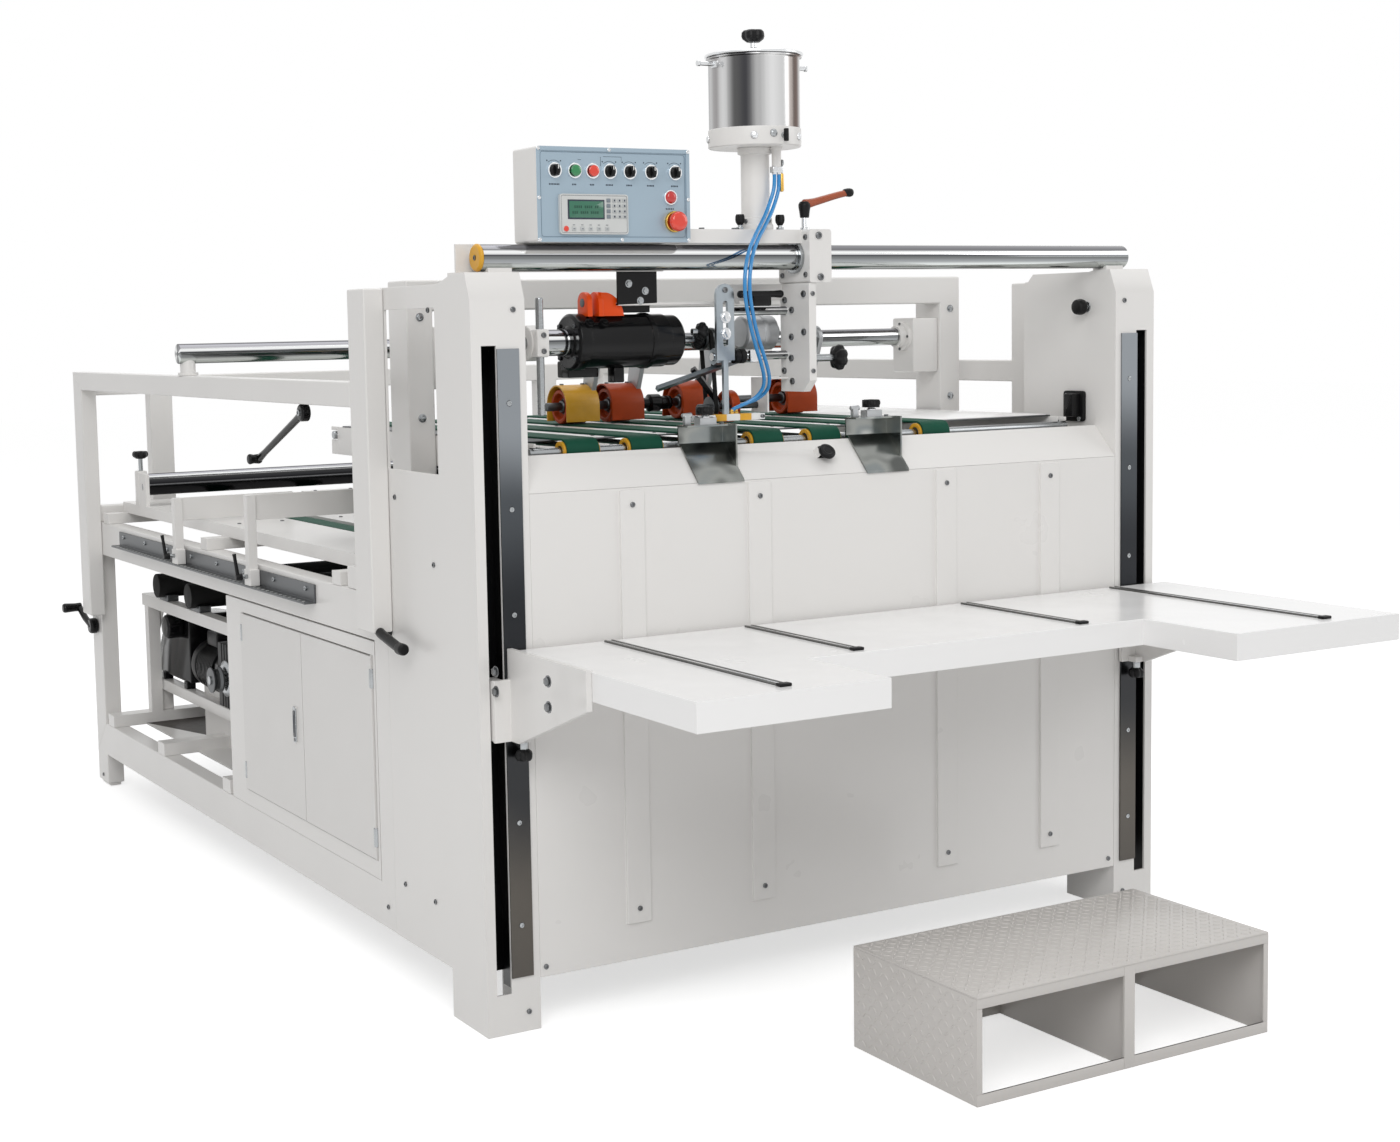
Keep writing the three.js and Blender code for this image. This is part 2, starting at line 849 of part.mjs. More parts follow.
function frontPanel() {
  const left = columnWidth + gap;
  const right = machineWidth - columnWidth - gap;
  const sheet = block([left, right], [0, panelThickness], [panelBottom, panelTop]);
  const returns = [panelBottom, panelTop - panelThickness].map((low) => (
    block([left, right], [0, panelReturn], [low, low + panelThickness])
  ));
  const battens = battenPlaceShares.map((share) => {
    const middle = left + (right - left) * share;
    return block([middle - battenWidth / 2, middle + battenWidth / 2], [-battenProud, panelThickness / 2],
      [battenBottom, battenTop]);
  });
  return join(sheet, ...returns, ...battens);
}

piece('front_panel', frontPanel(), paint);

// Deflector: a sheet folded back above the panel, with a lip behind and a black stop knob

function frontDeflector() {
  const left = columnWidth + gap;
  const right = machineWidth - columnWidth - gap;
  const low = panelTop + gap;
  const slope = plate('x', [
    [0, low], [deflectorThickness, low], [deflectorDepth, deflectorTop - deflectorThickness],
    [deflectorDepth, deflectorTop - deflectorLip], [deflectorDepth + deflectorThickness, deflectorTop - deflectorLip],
    [deflectorDepth + deflectorThickness, deflectorTop], [deflectorDepth, deflectorTop],
  ], [left, right]);
  const tilt = Math.atan2(deflectorTop - low, deflectorDepth);
  const knob = new THREE.CylinderGeometry(deflectorKnobRadius, deflectorKnobRadius, deflectorKnobHeight, smallSides);
  knob.translate(0, deflectorKnobHeight / 2 - deflectorThickness / 2, 0);
  knob.rotateX(tilt);
  knob.translate(left + (right - left) * deflectorKnobPlaceShare, deflectorDepth / 2, (deflectorTop + low) / 2);
  const barCentre = [guideBarSetback, guideBarHeight];
  const bar = rod('x', guideBarRadius, [left, right], barCentre, smallSides);
  const lip = deflectorTop - deflectorLip;
  const lugs = [left, right - guideLugWidth].map((start) => join(
    rod('x', guideLugRadius, [start, start + guideLugWidth], barCentre, smallSides),
    block([start, start + guideLugWidth], [deflectorDepth, guideBarSetback], [guideBarHeight, lip + overrun]),
  ));
  return join(slope, toSolid(knob), bar, ...lugs);
}

piece('front_deflector', frontDeflector(), paint);

// Welded base frames: two long rails, a stile before the cabinet and the rear post on its foot

function baseFrame(side) {
  const longRail = (low, high) => join(
    block(span(side, columnWall + framePlateClear, railTube), [frameStart, columnPlateDepth + overrun], [low, high]),
    block(span(side, 0, railTube), [columnPlateDepth + framePlateClear, machineRear], [low, high]),
  );
  const rearPost = block(span(side, 0, railTube), [machineRear - rearPostDepth, machineRear],
    [frameFootHeight, middleRailHigh]);
  const foot = block(
    span(side, frameFootInset, railTube - frameFootInset),
    [machineRear - rearPostDepth + frameFootInset, machineRear - frameFootInset],
    [0, frameFootHeight + overrun],
  );
  const stile = block(span(side, 0, railTube),
    [columnPlateDepth + framePlateClear, columnPlateDepth + framePlateClear + frontStileDepth],
    [bottomRailHigh - overrun, middleRailLow + overrun]);
  return join(longRail(bottomRailLow, bottomRailHigh), longRail(middleRailLow, middleRailHigh),
    rearPost, foot, stile);
}

sides.forEach((side) => piece(`${side}_base_frame`, baseFrame(side), paint));

// Upper frames, bolted on outside: a tall front post, a beam and a rear post

function upperFrame(side) {
  const xs = span(side, -upperTube, -gap);
  const frontPost = block(xs, [upperFrontPostStart, upperFrontPostStart + upperPostDepth],
    [upperFrontPostBottom, upperFrontPostTop]);
  const beam = block(xs, [upperFrontPostStart + overrun, upperRearPostStart + upperPostDepth],
    [upperBeamLow, upperBeamHigh]);
  const rearPost = block(xs, [upperRearPostStart, upperRearPostStart + upperPostDepth],
    [upperRearPostBottom, upperBeamHigh]);
  return join(frontPost, beam, rearPost);
}

sides.forEach((side) => piece(`${side}_upper_frame`, upperFrame(side), paint));

// Gantry over the feed bed, standing on the middle rails

function frontGantry() {
  const rear = gantryStart + gantryPostDepth;
  const posts = sides.map((side) => join(
    block(span(side, gantryPostInset, gantryPostInset + gantryPostWidth), [gantryStart, rear],
      [gantryFootLow + gap, gantryTop]),
    block(span(side, gap, gantryPostInset + overrun), [gantryStart, rear],
      [gantryFootLow + gap, gantryFootLow + gap + railTube]),
  ));
  const beam = block(
    [gantryPostInset + overrun, machineWidth - gantryPostInset - overrun],
    [gantryStart, gantryStart + gantryBeamDepth],
    [gantryBeamLow, gantryTop],
  );
  return join(beam, ...posts);
}

piece('front_gantry', frontGantry(), paint);

// Press wheel rod: chromed rod with end blocks, and the arms that hold the press wheel shaft under curved hoods

const pressRodAxis = [gantryStart + gantryPostDepth / 2, pressRodHeight];
const pressShaftAxis = [
  pressRodAxis[0] + pressWheelSetback,
  beltTop + pressNip + pressWheelRadius,
];
const laneCentre = (lane) => beltFirst + lane * beltPitch;

// Hood over one press wheel: a sheet bent round the wheel, open below and on the left
function pressHood(lane) {
  const [y, z] = pressShaftAxis;
  const low = beltTop + pressHoodRise;
  const inner = pressWheelRadius + pressHoodClear;
  const outer = inner + pressHoodWall;
  const shape = new THREE.Shape();
  shape.moveTo(y + outer, low);
  shape.absarc(y, z, outer, 0, Math.PI);
  shape.lineTo(y - outer, low);
  shape.lineTo(y - inner, low);
  shape.absarc(y, z, inner, Math.PI, 0, true);
  shape.lineTo(y + inner, low);
  const left = laneCentre(lane) - pressWheelWidth / 2 - pressHoodSide;
  const right = laneCentre(lane) + pressWheelWidth / 2 + pressArmGap + pressArmThickness;
  return plate('x', shape, [left, right]);
}

function pressRod() {
  const inset = gantryPostInset + gantryPostWidth + gap;
  const bar = rod('x', pressRodRadius, [inset, machineWidth - inset], pressRodAxis);
  const ends = sides.map((side) => join(
    block(span(side, inset, inset + pressRodBlock),
      [pressRodAxis[0] - pressRodBlockDepth / 2, pressRodAxis[0] + pressRodBlockDepth / 2],
      [pressRodBlockLow, pressRodBlockHigh]),
    rod('x', pressRodFlangeRadius, span(side, inset + pressRodBlock - overrun,
      inset + pressRodBlock + pressRodFlangeWidth), pressRodAxis),
  ));
  const [top, bottom] = [pressRodAxis, pressShaftAxis];
  const outline = [
    ...arcPoints(top, pressArmRadius, 0, Math.PI),
    ...arcPoints(bottom, pressArmTail, Math.PI, Math.PI * 2),
  ];
  const arms = pressWheelLaneNumbers.map((lane) => {
    const start = laneCentre(lane) + pressWheelWidth / 2 + pressArmGap;
    const width = [start, start + pressArmThickness];
    return cut(
      plate('x', outline, width),
      rod('x', pressShaftRadius + pressShaftClear, [width[0] - overrun, width[1] + overrun], bottom, turningSides),
    );
  });
  return join(bar, ...ends, ...arms, ...pressWheelLaneNumbers.map(pressHood));
}

piece('press_rod', pressRod(), steel);

// Press wheels: four dished rubber wheels on one shaft

function pressWheelShaft() {
  const first = laneCentre(pressWheelLaneNumbers[0]) - pressWheelWidth;
  const last = laneCentre(Math.max(...pressWheelLaneNumbers)) + pressWheelWidth;
  const shaft = rod('x', pressShaftRadius, [first, last], pressShaftAxis, smallSides);
  const wheels = pressWheelLaneNumbers.map((lane) => {
    const left = laneCentre(lane) - pressWheelWidth / 2;
    const right = left + pressWheelWidth;
    return turned('x', [
      [0, left + pressWheelDish], [pressWheelHubRadius, left + pressWheelDish],
      [pressWheelHubRadius, left], [pressWheelRadius, left],
      [pressWheelRadius, right], [0, right],
    ], pressShaftAxis);
  });
  return join(shaft, ...wheels);
}

piece('press_wheel_shaft', pressWheelShaft(), orange);

// Feed bed: a folded sheet under seven belt loops that run over the two pulley shafts

const pulleyAxisHeight = beltTop - beltThickness - pulleyClear - pulleyRadius;

function beltLoop(lane) {
  const innerRadius = pulleyRadius + pulleyClear;
  const outerRadius = innerRadius + beltThickness;
  const loop = (radius) => {
    const shape = new THREE.Shape();
    shape.moveTo(beltFrontAxis, pulleyAxisHeight - radius);
    shape.lineTo(beltRearAxis, pulleyAxisHeight - radius);
    shape.absarc(beltRearAxis, pulleyAxisHeight, radius, -Math.PI / 2, Math.PI / 2);
    shape.lineTo(beltFrontAxis, pulleyAxisHeight + radius);
    shape.absarc(beltFrontAxis, pulleyAxisHeight, radius, Math.PI / 2, Math.PI * 1.5);
    return shape;
  };
  const xs = [laneCentre(lane) - beltWidth / 2, laneCentre(lane) + beltWidth / 2];
  return cut(plate('x', loop(outerRadius), xs), plate('x', loop(innerRadius), [xs[0] - overrun, xs[1] + overrun]));
}

function feedTable() {
  const inset = gantryPostInset + gantryPostWidth + gap;
  const xs = [inset, machineWidth - inset];
  const high = beltTop - beltThickness;
  const sheet = block(xs, [bedFront, bedRear], [high - bedSheet, high]);
  const skirts = sides.map((side) => {
    const walls = span(side, inset, inset + bedSkirt);
    const bores = [beltFrontAxis, beltRearAxis].map((setback) => rod('x', feedShaftRadius + pressShaftClear,
      [Math.min(...walls) - overrun, Math.max(...walls) + overrun], [setback, pulleyAxisHeight]));
    return cut(block(walls, [bedSkirtFront, bedSkirtRear], [high - bedEdgeDrop, high]), ...bores);
  });
  const belts = Array.from({ length: beltCount }, (_, lane) => beltLoop(lane));
  return join(sheet, ...skirts, ...belts);
}

piece('feed_table', feedTable(), belt);

// Pulley shafts: a steel shaft with seven flat pulleys

function pulleyShaft(setback) {
  const shaft = rod('x', feedShaftRadius, [feedShaftInset, machineWidth - feedShaftInset],
    [setback, pulleyAxisHeight], smallSides);
  const pulleys = Array.from({ length: beltCount }, (_, lane) => {
    const half = beltWidth / 2 + pulleyOverhang;
    return rod('x', pulleyRadius, [laneCentre(lane) - half, laneCentre(lane) + half],
      [setback, pulleyAxisHeight], turningSides);
  });
  return join(shaft, ...pulleys);
}

piece('front_pulley_shaft', pulleyShaft(beltFrontAxis), yellow);
piece('rear_pulley_shaft', pulleyShaft(beltRearAxis), yellow);

// Chromed cross rod with a domed yellow end cap

function mainRod() {
  return join(
    rod('x', mainRodRadius, [mainRodStart, mainRodEnd], [mainRodSetback, mainRodHeight]),
    turned('x', [
      [0, mainRodStart - mainRodCapWidth], [mainRodCapRadius - mainRodCapWidth / 2, mainRodStart - mainRodCapWidth],
      [mainRodCapRadius, mainRodStart - mainRodCapWidth / 2], [mainRodCapRadius, mainRodStart + overrun],
      [0, mainRodStart + overrun],
    ], [mainRodSetback, mainRodHeight]),
  );
}

piece('main_rod', mainRod(), chrome);

// Stiffener rod on two bosses of the upper frames

function stiffenerRod() {
  const centre = [stiffenerSetback, stiffenerHeight];
  const bar = rod('x', stiffenerRadius, [-stiffenerOverhang, machineWidth + stiffenerOverhang], centre);
  const bosses = sides.map((side) => rod('z', stiffenerBossRadius, [upperBeamHigh + gap, stiffenerHeight],
    [across(side, -stiffenerBossInset), stiffenerSetback], smallSides));
  return join(bar, ...bosses);
}

piece('stiffener_rod', stiffenerRod(), chrome);

// Rear portal: a cross beam with two short posts that stand on the conveyor cross bar

function rearPortal() {
  const ys = [rearPortalSetback, rearPortalSetback + rearPortalDepth];
  const beam = block([gap, machineWidth - gap], ys, [rearPortalLow, rearPortalHigh]);
  const posts = sides.map((side) => block(
    span(side, rearPortalPostInset, rearPortalPostInset + rearPortalPostWidth),
    ys,
    [middleRailHigh + gap, rearPortalHigh],
  ));
  const sill = block([gap, machineWidth - gap], ys, [middleRailHigh + gap, middleRailHigh + rearPortalDepth]);
  return join(beam, sill, ...posts);
}

piece('rear_portal', rearPortal(), paint);

// Lift table: a U shaped pan of folded sheet with four dark slide strips

function liftTable() {
  const outline = (inset) => [
    [tableLeft + inset, tableBack - inset], [tableLeft + inset, tableArmFront + inset],
    [leftArmRight - inset, tableArmFront + inset], [leftArmRight - inset, tableMiddleFront + inset],
    [rightArmLeft + inset, tableMiddleFront + inset], [rightArmLeft + inset, tableArmFront + inset],
    [tableRight - inset, tableArmFront + inset], [tableRight - inset, tableBack - inset],
  ];
  const slab = plate('z', outline(0), [tableTop - tableThickness, tableTop]);
  const under = plate('z', outline(tableWall), [tableTop - tableThickness - overrun, tableTop - tableWall]);
  const lengths = [longStripLength, shortStripLength, shortStripLength, longStripLength];
  const strips = stripPlaceShares.map((share, i) => {
    const middle = tableLeft + (tableRight - tableLeft) * share;
    const back = tableBack - stripInset;
    return block([middle - stripWidth / 2, middle + stripWidth / 2], [back - lengths[i], back],
      [tableTop - tableWall / 2, tableTop + stripHeight]);
  });
  return join(cut(slab, under), ...strips);
}

piece('lift_table', liftTable(), paint);

// Brackets of the lift table: a tapered side plate, a flange on the rail and a tongue in the slot

const bracketOuter = tableLeft - gap - bracketThickness;

function tableBracket(side) {
  const back = -railProud - gap;
  const outer = side === 'left' ? bracketOuter : machineWidth - slotInset - slotWidth - bracketThickness;
  const xs = [outer, outer + bracketThickness];
  const top = side === 'left' ? bracketHigh : tableTop - tableThickness - gap;
  const nose = side === 'left' ? bracketNoseHigh : top - bracketThickness;
  const sidePlate = plate('x', [
    [back, bracketLow], [back, top], [-bracketReach, top], [-bracketReach, nose],
    [-bracketToe, bracketLow],
  ], xs);
  const flange = block(
    side === 'left' ? [outer, outer + bracketFlangeWidth - bracketThickness] : [xs[1] - bracketFlangeWidth, xs[1]],
    [back - bracketFlangeThickness, back],
    [bracketLow, Math.min(top, tableTop - tableThickness - gap)],
  );
  const slotMiddle = across(side, slotInset + slotWidth / 2);
  const heelHigh = Math.min(bracketLow + bracketHeelHeight, tableTop - tableThickness - gap);
  const tongue = block(
    [slotMiddle - bracketTongueWidth / 2, slotMiddle + bracketTongueWidth / 2],
    [back - bracketFlangeThickness, columnWall + bracketTongueDepth],
    [bracketLow + bracketClear, heelHigh - bracketClear],
  );
  const heel = block(
    [Math.min(slotMiddle - bracketTongueWidth / 2, xs[0]), Math.max(slotMiddle + bracketTongueWidth / 2, xs[1])],
    [back - bracketFlangeThickness, back],
    [bracketLow, heelHigh],
  );
  const knobPlace = across(side, slotInset + slotWidth + railWidth / 2);
  const lug = block([knobPlace - lockKnobNeck - bracketClear, knobPlace + lockKnobNeck + bracketClear],
    [back - bracketFlangeThickness / 2, -lockKnobSetback - lockKnobNeck - bracketClear],
    [bracketLow, bracketLow + bracketThickness]);
  return join(sidePlate, flange, heel, tongue, lug);
}

sides.forEach((side) => piece(`${side}_bracket`, tableBracket(side), paint));

// Lock knobs under the brackets

function lockKnob(side) {
  const place = across(side, slotInset + slotWidth + railWidth / 2);
  const high = bracketLow - gap;
  return join(
    rod('z', lockKnobNeck, [high - lockKnobNeckLength, high], [place, -lockKnobSetback], smallSides),
    plate('z', lobedOutline([place, -lockKnobSetback], lockKnobRadius, starKnobDip / 2, lidKnobLobes),
      [high - lockKnobNeckLength - lockKnobHeight, high - lockKnobNeckLength + overrun / 2]),
  );
}

sides.forEach((side) => piece(`${side}_lock_knob`, lockKnob(side), blackPlastic));

// Control box: a cased panel with the display unit, the lamp, and bored seats for the buttons

function controlBox() {
  const shell = plate('y', roundedOutline([boxLeft, boxRight], [boxLow, boxHigh], boxCorner), [0, boxDepth]);
  const recess = block([boxLeft + boxFrame, boxRight - boxFrame], [-overrun, boxFaceRecess],
    [boxLow + boxFrame, boxHigh - boxFrame]);
  const unit = plate('y', roundedOutline([displayLeft, displayRight], [displayLow, displayHigh], boxCorner),
    [boxFaceRecess - displayProud, boxFaceRecess + overrun]);
  const lamp = turned('y', [
    [0, boxFaceRecess - lampProud], [lampRadius / 2, boxFaceRecess - lampProud],
    [lampRadius, boxFaceRecess - lampProud / 2], [lampRadius, boxFaceRecess + overrun], [0, boxFaceRecess + overrun],
  ], [lampPlace, lampHeight], smallSides);
  const bezels = [startPlace, stopPlace, ...selectorPlaces].map((place) => rod(
    'y', bezelRadius, [boxFaceRecess - bezelProud, boxFaceRecess + overrun], [place, controlRowHeight], smallSides,
  ));
  const bores = [startPlace, stopPlace, ...selectorPlaces].map((place) => rod('y', buttonStemRadius + buttonClear,
    [-bezelProud - overrun, boxFaceRecess + buttonStemLength + overrun], [place, controlRowHeight], smallSides));
  const collar = rod('y', estopCollarRadius, [boxFaceRecess - estopCollarProud, boxFaceRecess + overrun],
    [estopPlace, estopHeight]);
  const estopBore = rod('y', estopNeckRadius + buttonClear,
    [-overrun, boxFaceRecess + buttonStemLength + overrun], [estopPlace, estopHeight]);
  const back = block([boxLeft + boxFrame, boxRight - boxFrame],
    [boxDepth - overrun / 2, boxDepth + boxBracketThickness],
    [boxBracketLow, boxBracketHigh]);
  const tail = block([boxBracketLeft, boxRight - boxFrame], [boxDepth, boxDepth + boxBracketThickness],
    [boxBracketLow, boxLow - gap]);
  const foot = block([boxBracketLeft, columnWidth], [boxDepth, boxDepth + boxBracketFoot],
    [boxBracketLow - boxBracketThickness, boxBracketLow]);
  return cut(join(cut(shell, recess), unit, lamp, ...bezels, collar, back, tail, foot), ...bores, estopBore);
}

piece('control_box', controlBox(), panelBlue);

// Push buttons, selectors and the mushroom head

function pushButton(place) {
  const face = boxFaceRecess - bezelProud;
  return join(
    rod('y', buttonHeadRadius, [face - buttonHeadProud, face - gap - stopTravel],
      [place, controlRowHeight], smallSides),
    rod('y', buttonStemRadius, [face - gap - stopTravel - overrun / 2, boxFaceRecess + buttonStemLength - stopTravel],
      [place, controlRowHeight], smallSides),
  );
}

function selector(place) {
  const face = boxFaceRecess - bezelProud;
  return join(
    rod('y', selectorHeadRadius, [face - selectorHeadProud, face - gap], [place, controlRowHeight], smallSides),
    rod('y', buttonStemRadius, [face - selectorHeadProud, boxFaceRecess + buttonStemLength],
      [place, controlRowHeight], smallSides),
    block([place - selectorBarWidth / 2, place + selectorBarWidth / 2],
      [face - selectorHeadProud - selectorBarProud, face - selectorHeadProud + gap],
      [controlRowHeight - selectorHeadRadius + gap, controlRowHeight + selectorHeadRadius - gap]),
  );
}

function emergencyStop() {
  const face = boxFaceRecess - estopCollarProud;
  const headBack = face - estopNeckLength;
  return join(
    turned('y', [
      [0, headBack - estopHeadThickness], [estopHeadRadius * estopDomeShare, headBack - estopHeadThickness],
      [estopHeadRadius, headBack - estopHeadThickness / 2], [estopHeadRadius, headBack], [0, headBack],
    ], [estopPlace, estopHeight]),
    rod('y', estopNeckRadius, [headBack - gap, boxFaceRecess + buttonStemLength - estopTravel],
      [estopPlace, estopHeight]),
  );
}

piece('start_button', pushButton(startPlace), green);
piece('stop_button', pushButton(stopPlace), red);
selectorPlaces.forEach((place, i) => piece(`selector_${i + 1}`, selector(place), blackPlastic));
piece('emergency_stop', emergencyStop(), red);

// Glue carriage: a bored block on the cross rod with the long arm that holds the pot

const rodAxis = [mainRodSetback, mainRodHeight];

function carriageBlock() {
  const right = carriageLeft + carriageWidth;
  const body = plate('y', roundedOutline([carriageLeft, right], [carriageLow, carriageHigh], boxCorner),
    [carriageFront, carriageRear]);
  const wideArm = block([armWideEnd, carriageLeft + overrun], [armFront, armRear], [armLow, carriageHigh]);
  const slimArm = block([armSlimEnd, armWideEnd + overrun], [armSlimFront, armRear], [armLow, carriageHigh]);
  const bore = rod('x', mainRodRadius + carriageRodClear, [carriageLeft - overrun, right + overrun], rodAxis);
  const collar = turned('x', [
    [mainRodRadius + carriageRodClear, carriageLeft - overrun * 2],
    [mainRodRadius + carriageRodClear + overrun, carriageLeft - overrun * 2],
    [mainRodRadius + carriageRodClear + overrun, carriageLeft + overrun],
    [mainRodRadius + carriageRodClear, carriageLeft + overrun],
  ], rodAxis);
  return join(cut(join(body, wideArm, slimArm), bore), collar);
}

piece('carriage_block', carriageBlock(), paint);

// Hanging plate below the block, with the rods that carry the glue head

function hangPlate() {
  const outline = [
    [hangPlateFront, carriageLow - gap], [hangPlateFront, hangPlateLow + hangPlateCorner],
    [hangPlateFront + hangPlateCorner, hangPlateLow], [hangPlateRear, hangPlateLow],
    [hangPlateRear, carriageLow - gap],
  ];
  const wall = plate('x', outline, [carriageLeft, carriageLeft + hangPlateThickness]);
  const shelf = block([motorShaftEnd, carriageLeft + overrun],
    [hangPlateRear - bentSheetThickness * 2, hangPlateRear],
    [hangerLow, carriageLow - gap * 2]);
  const upperRod = rod('x', forkRodRadius, [forkPlace + forkWidth / 2 + gap, carriageLeft + overrun],
    [forkRodSetback, forkUpperRodHeight], smallSides);
  const lowerRod = rod('x', forkRodRadius, [forkPlace - forkWidth / 2, carriageLeft + overrun],
    [forkRodSetback, forkRodHeight], smallSides);
  const hole = rod('x', starKnobStemRadius + gap * 2,
    [carriageLeft + hangPlateThickness / 2, carriageLeft + hangPlateThickness + overrun],
    [starKnobSetback, starKnobHeight]);
  return cut(join(wall, shelf, upperRod, lowerRod, wheelBearer()), hole);
}

// Bent sheet below the hanging plate that carries the axle of the glue wheel
function wheelBearer() {
  const xs = [bentSheetPlace - bentSheetThickness / 2, bentSheetPlace + bentSheetThickness / 2];
  const ys = [bentSheetSetback, bentSheetSetback + bentSheetWidth];
  const high = hangPlateLow + bentSheetWidth / 2;
  const wall = block(xs, ys, [bentSheetLow, high]);
  const shelf = block([xs[0], carriageLeft + overrun], ys, [high - bentSheetThickness, high]);
  const bore = rod('x', glueWheelAxle + gap, [xs[0] - overrun, xs[1] + overrun],
    [forkRodSetback + glueWheelRadius, glueWheelHeight]);
  return join(cut(wall, bore), shelf);
}

piece('hang_plate', hangPlate(), paint);

// Black hanger behind the rod that carries the glue motor

function motorHanger() {
  const ys = [armSlimFront - hangerThickness - gap, armSlimFront - gap];
  const wall = block([hangerLeft, hangerRight], ys, [hangerLow - hangerThickness, carriageHigh]);
  const shelf = block([hangerLeft, motorShaftEnd + forkWidth], [ys[0], motorSetback + hangerThickness * 4],
    [hangerLow - hangerThickness - gap, hangerLow - gap]);
  const foot = block([hangerLeft, hangerRight],
    [motorSetback - hangerThickness * 2, motorSetback + hangerThickness * 2],
    [motorHeight + motorRadius + gap, hangerLow - hangerThickness / 2]);
  return join(wall, shelf, foot);
}

piece('motor_hanger', motorHanger(), blackMetal);

// Glue motor: a smooth shell with a bell at each end and a clamping band, silver collar, clamp with drop rod,
// shaft and pulley

function glueMotor() {
  const centre = [motorSetback, motorHeight];
  const bellEnd = motorLeft + motorBellLength;
  const band = motorRight - motorBandInset;
  const neck = motorRight - motorNeckLength;
  const body = turned('x', [
    [0, motorLeft], [motorRadius - motorChamfer, motorLeft], [motorRadius, motorLeft + motorChamfer],
    [motorRadius, bellEnd], [motorShellRadius, bellEnd], [motorShellRadius, band - motorBandWidth],
    [motorRadius, band - motorBandWidth], [motorRadius, band], [motorShellRadius, band], [motorShellRadius, neck],
    [motorNeckRadius, neck], [motorNeckRadius, motorRight - motorChamfer],
    [motorNeckRadius - motorChamfer, motorRight], [0, motorRight],
  ], centre);
  const clampEnd = motorLeft - motorCollarLength;
  const collar = rod('x', motorCollarRadius, [clampEnd - overrun, motorLeft + overrun], centre);
  const clamp = rod('x', motorClampRadius, [clampEnd - motorClampLength, clampEnd], centre);
  const shaft = rod('x', motorShaftRadius, [motorRight - overrun, motorShaftEnd], centre, smallSides);
  const pulley = rod('x', motorPulleyRadius, [motorPulleyPlace - motorPulleyWidth / 2,
    motorPulleyPlace + motorPulleyWidth / 2], centre, smallSides);
  const dropRod = rod('z', dropRodRadius, [dropRodLow, dropRodHigh],
    [clampEnd - motorClampLength / 2, motorSetback - motorClampRadius], smallSides);
  return join(body, collar, clamp, shaft, pulley, dropRod);
}

piece('glue_motor', glueMotor(), blackMetal);

// Slotted fork plate on the rods, with the glue shoe arm below it

function forkPlate() {
  const xs = [forkPlace - forkWidth / 2, forkPlace + forkWidth / 2];
  const high = forkHigh - forkWidth / 2;
  const outline = new THREE.Shape();
  outline.moveTo(xs[0], forkLow);
  outline.lineTo(xs[1], forkLow);
  outline.lineTo(xs[1], high);
  outline.absarc(forkPlace, high, forkWidth / 2, 0, Math.PI);
  outline.lineTo(xs[0], forkLow);
  const slot = new THREE.Shape();
  slot.absarc(forkPlace, forkSlotHigh - forkSlotWidth / 2, forkSlotWidth / 2, 0, Math.PI);
  slot.absarc(forkPlace, forkSlotLow + forkSlotWidth / 2, forkSlotWidth / 2, Math.PI, Math.PI * 2);
  const ys = [forkSetback - forkThickness, forkSetback];
  const wall = cut(plate('y', outline, ys), plate('y', slot, [ys[0] - overrun, ys[1] + overrun]));
  const eye = cut(
    rod('x', forkRodRadius * 2, [xs[0] + overrun, xs[1] - overrun], [forkRodSetback, forkRodHeight], smallSides),
    rod('x', forkRodRadius + gap, [xs[0] - overrun, xs[1] + overrun], [forkRodSetback, forkRodHeight], smallSides),
  );
  const link = block([xs[0] + overrun, xs[1] - overrun],
    [forkSetback - overrun / 2, forkRodSetback - forkRodRadius - gap * 2],
    [forkRodHeight - forkRodRadius, forkRodHeight + forkRodRadius]);
  const stem = block([forkPlace - forkSlotWidth / 2, forkPlace + forkSlotWidth / 2], ys,
    [shoeHigh - overrun, forkLow + overrun]);
  const shoe = block([shoeLeft, shoeRight], [shoeFront, shoeRear], [shoeLow, shoeHigh]);
  return join(wall, eye, link, stem, shoe);
}

piece('fork_plate', forkPlate(), steel);

// Glue wheel with rim, web and boss, and the axle that the belt drives

function glueWheel() {
  const left = glueWheelPlace - glueWheelWidth / 2;
  const right = glueWheelPlace + glueWheelWidth / 2;
  const webLeft = glueWheelPlace - glueWheelWeb / 2;
  const webRight = glueWheelPlace + glueWheelWeb / 2;
  return turned('x', [
    [0, left - glueWheelWeb], [glueWheelBoss, left - glueWheelWeb], [glueWheelBoss, webLeft],
    [glueWheelRadius - glueWheelRim, webLeft], [glueWheelRadius - glueWheelRim, left],
    [glueWheelRadius, left], [glueWheelRadius, right], [glueWheelRadius - glueWheelRim, right],
    [glueWheelRadius - glueWheelRim, webRight], [glueWheelBoss, webRight], [glueWheelAxle, webRight],
    [glueWheelAxle, bentSheetPlace + bentSheetThickness * 2],
    [0, bentSheetPlace + bentSheetThickness * 2],
  ], [forkRodSetback + glueWheelRadius, glueWheelHeight]);
}

piece('glue_wheel', glueWheel(), orange);

// Pot post: a tube on a flange with a collar below the pot

function potPost() {
  const low = carriageHigh + gap;
  return turned('z', [
    [potPostRadius - potPostWall, low], [potCollarRadius, low], [potCollarRadius, low + potCollarHeight],
    [potPostRadius, low + potCollarHeight], [potPostRadius, potPostTop - potCollarHeight / 2],
    [potCollarRadius, potPostTop - potCollarHeight / 2], [potCollarRadius, potPostTop],
    [potPostRadius - potPostWall, potPostTop],
  ], [potPlace, potSetback]);
}

piece('pot_post', potPost(), paint);

// Glue pot: a steel pan in a white ring, with two ears

const potLow = potPostTop + gap;
const potHigh = potLow + potHeight;

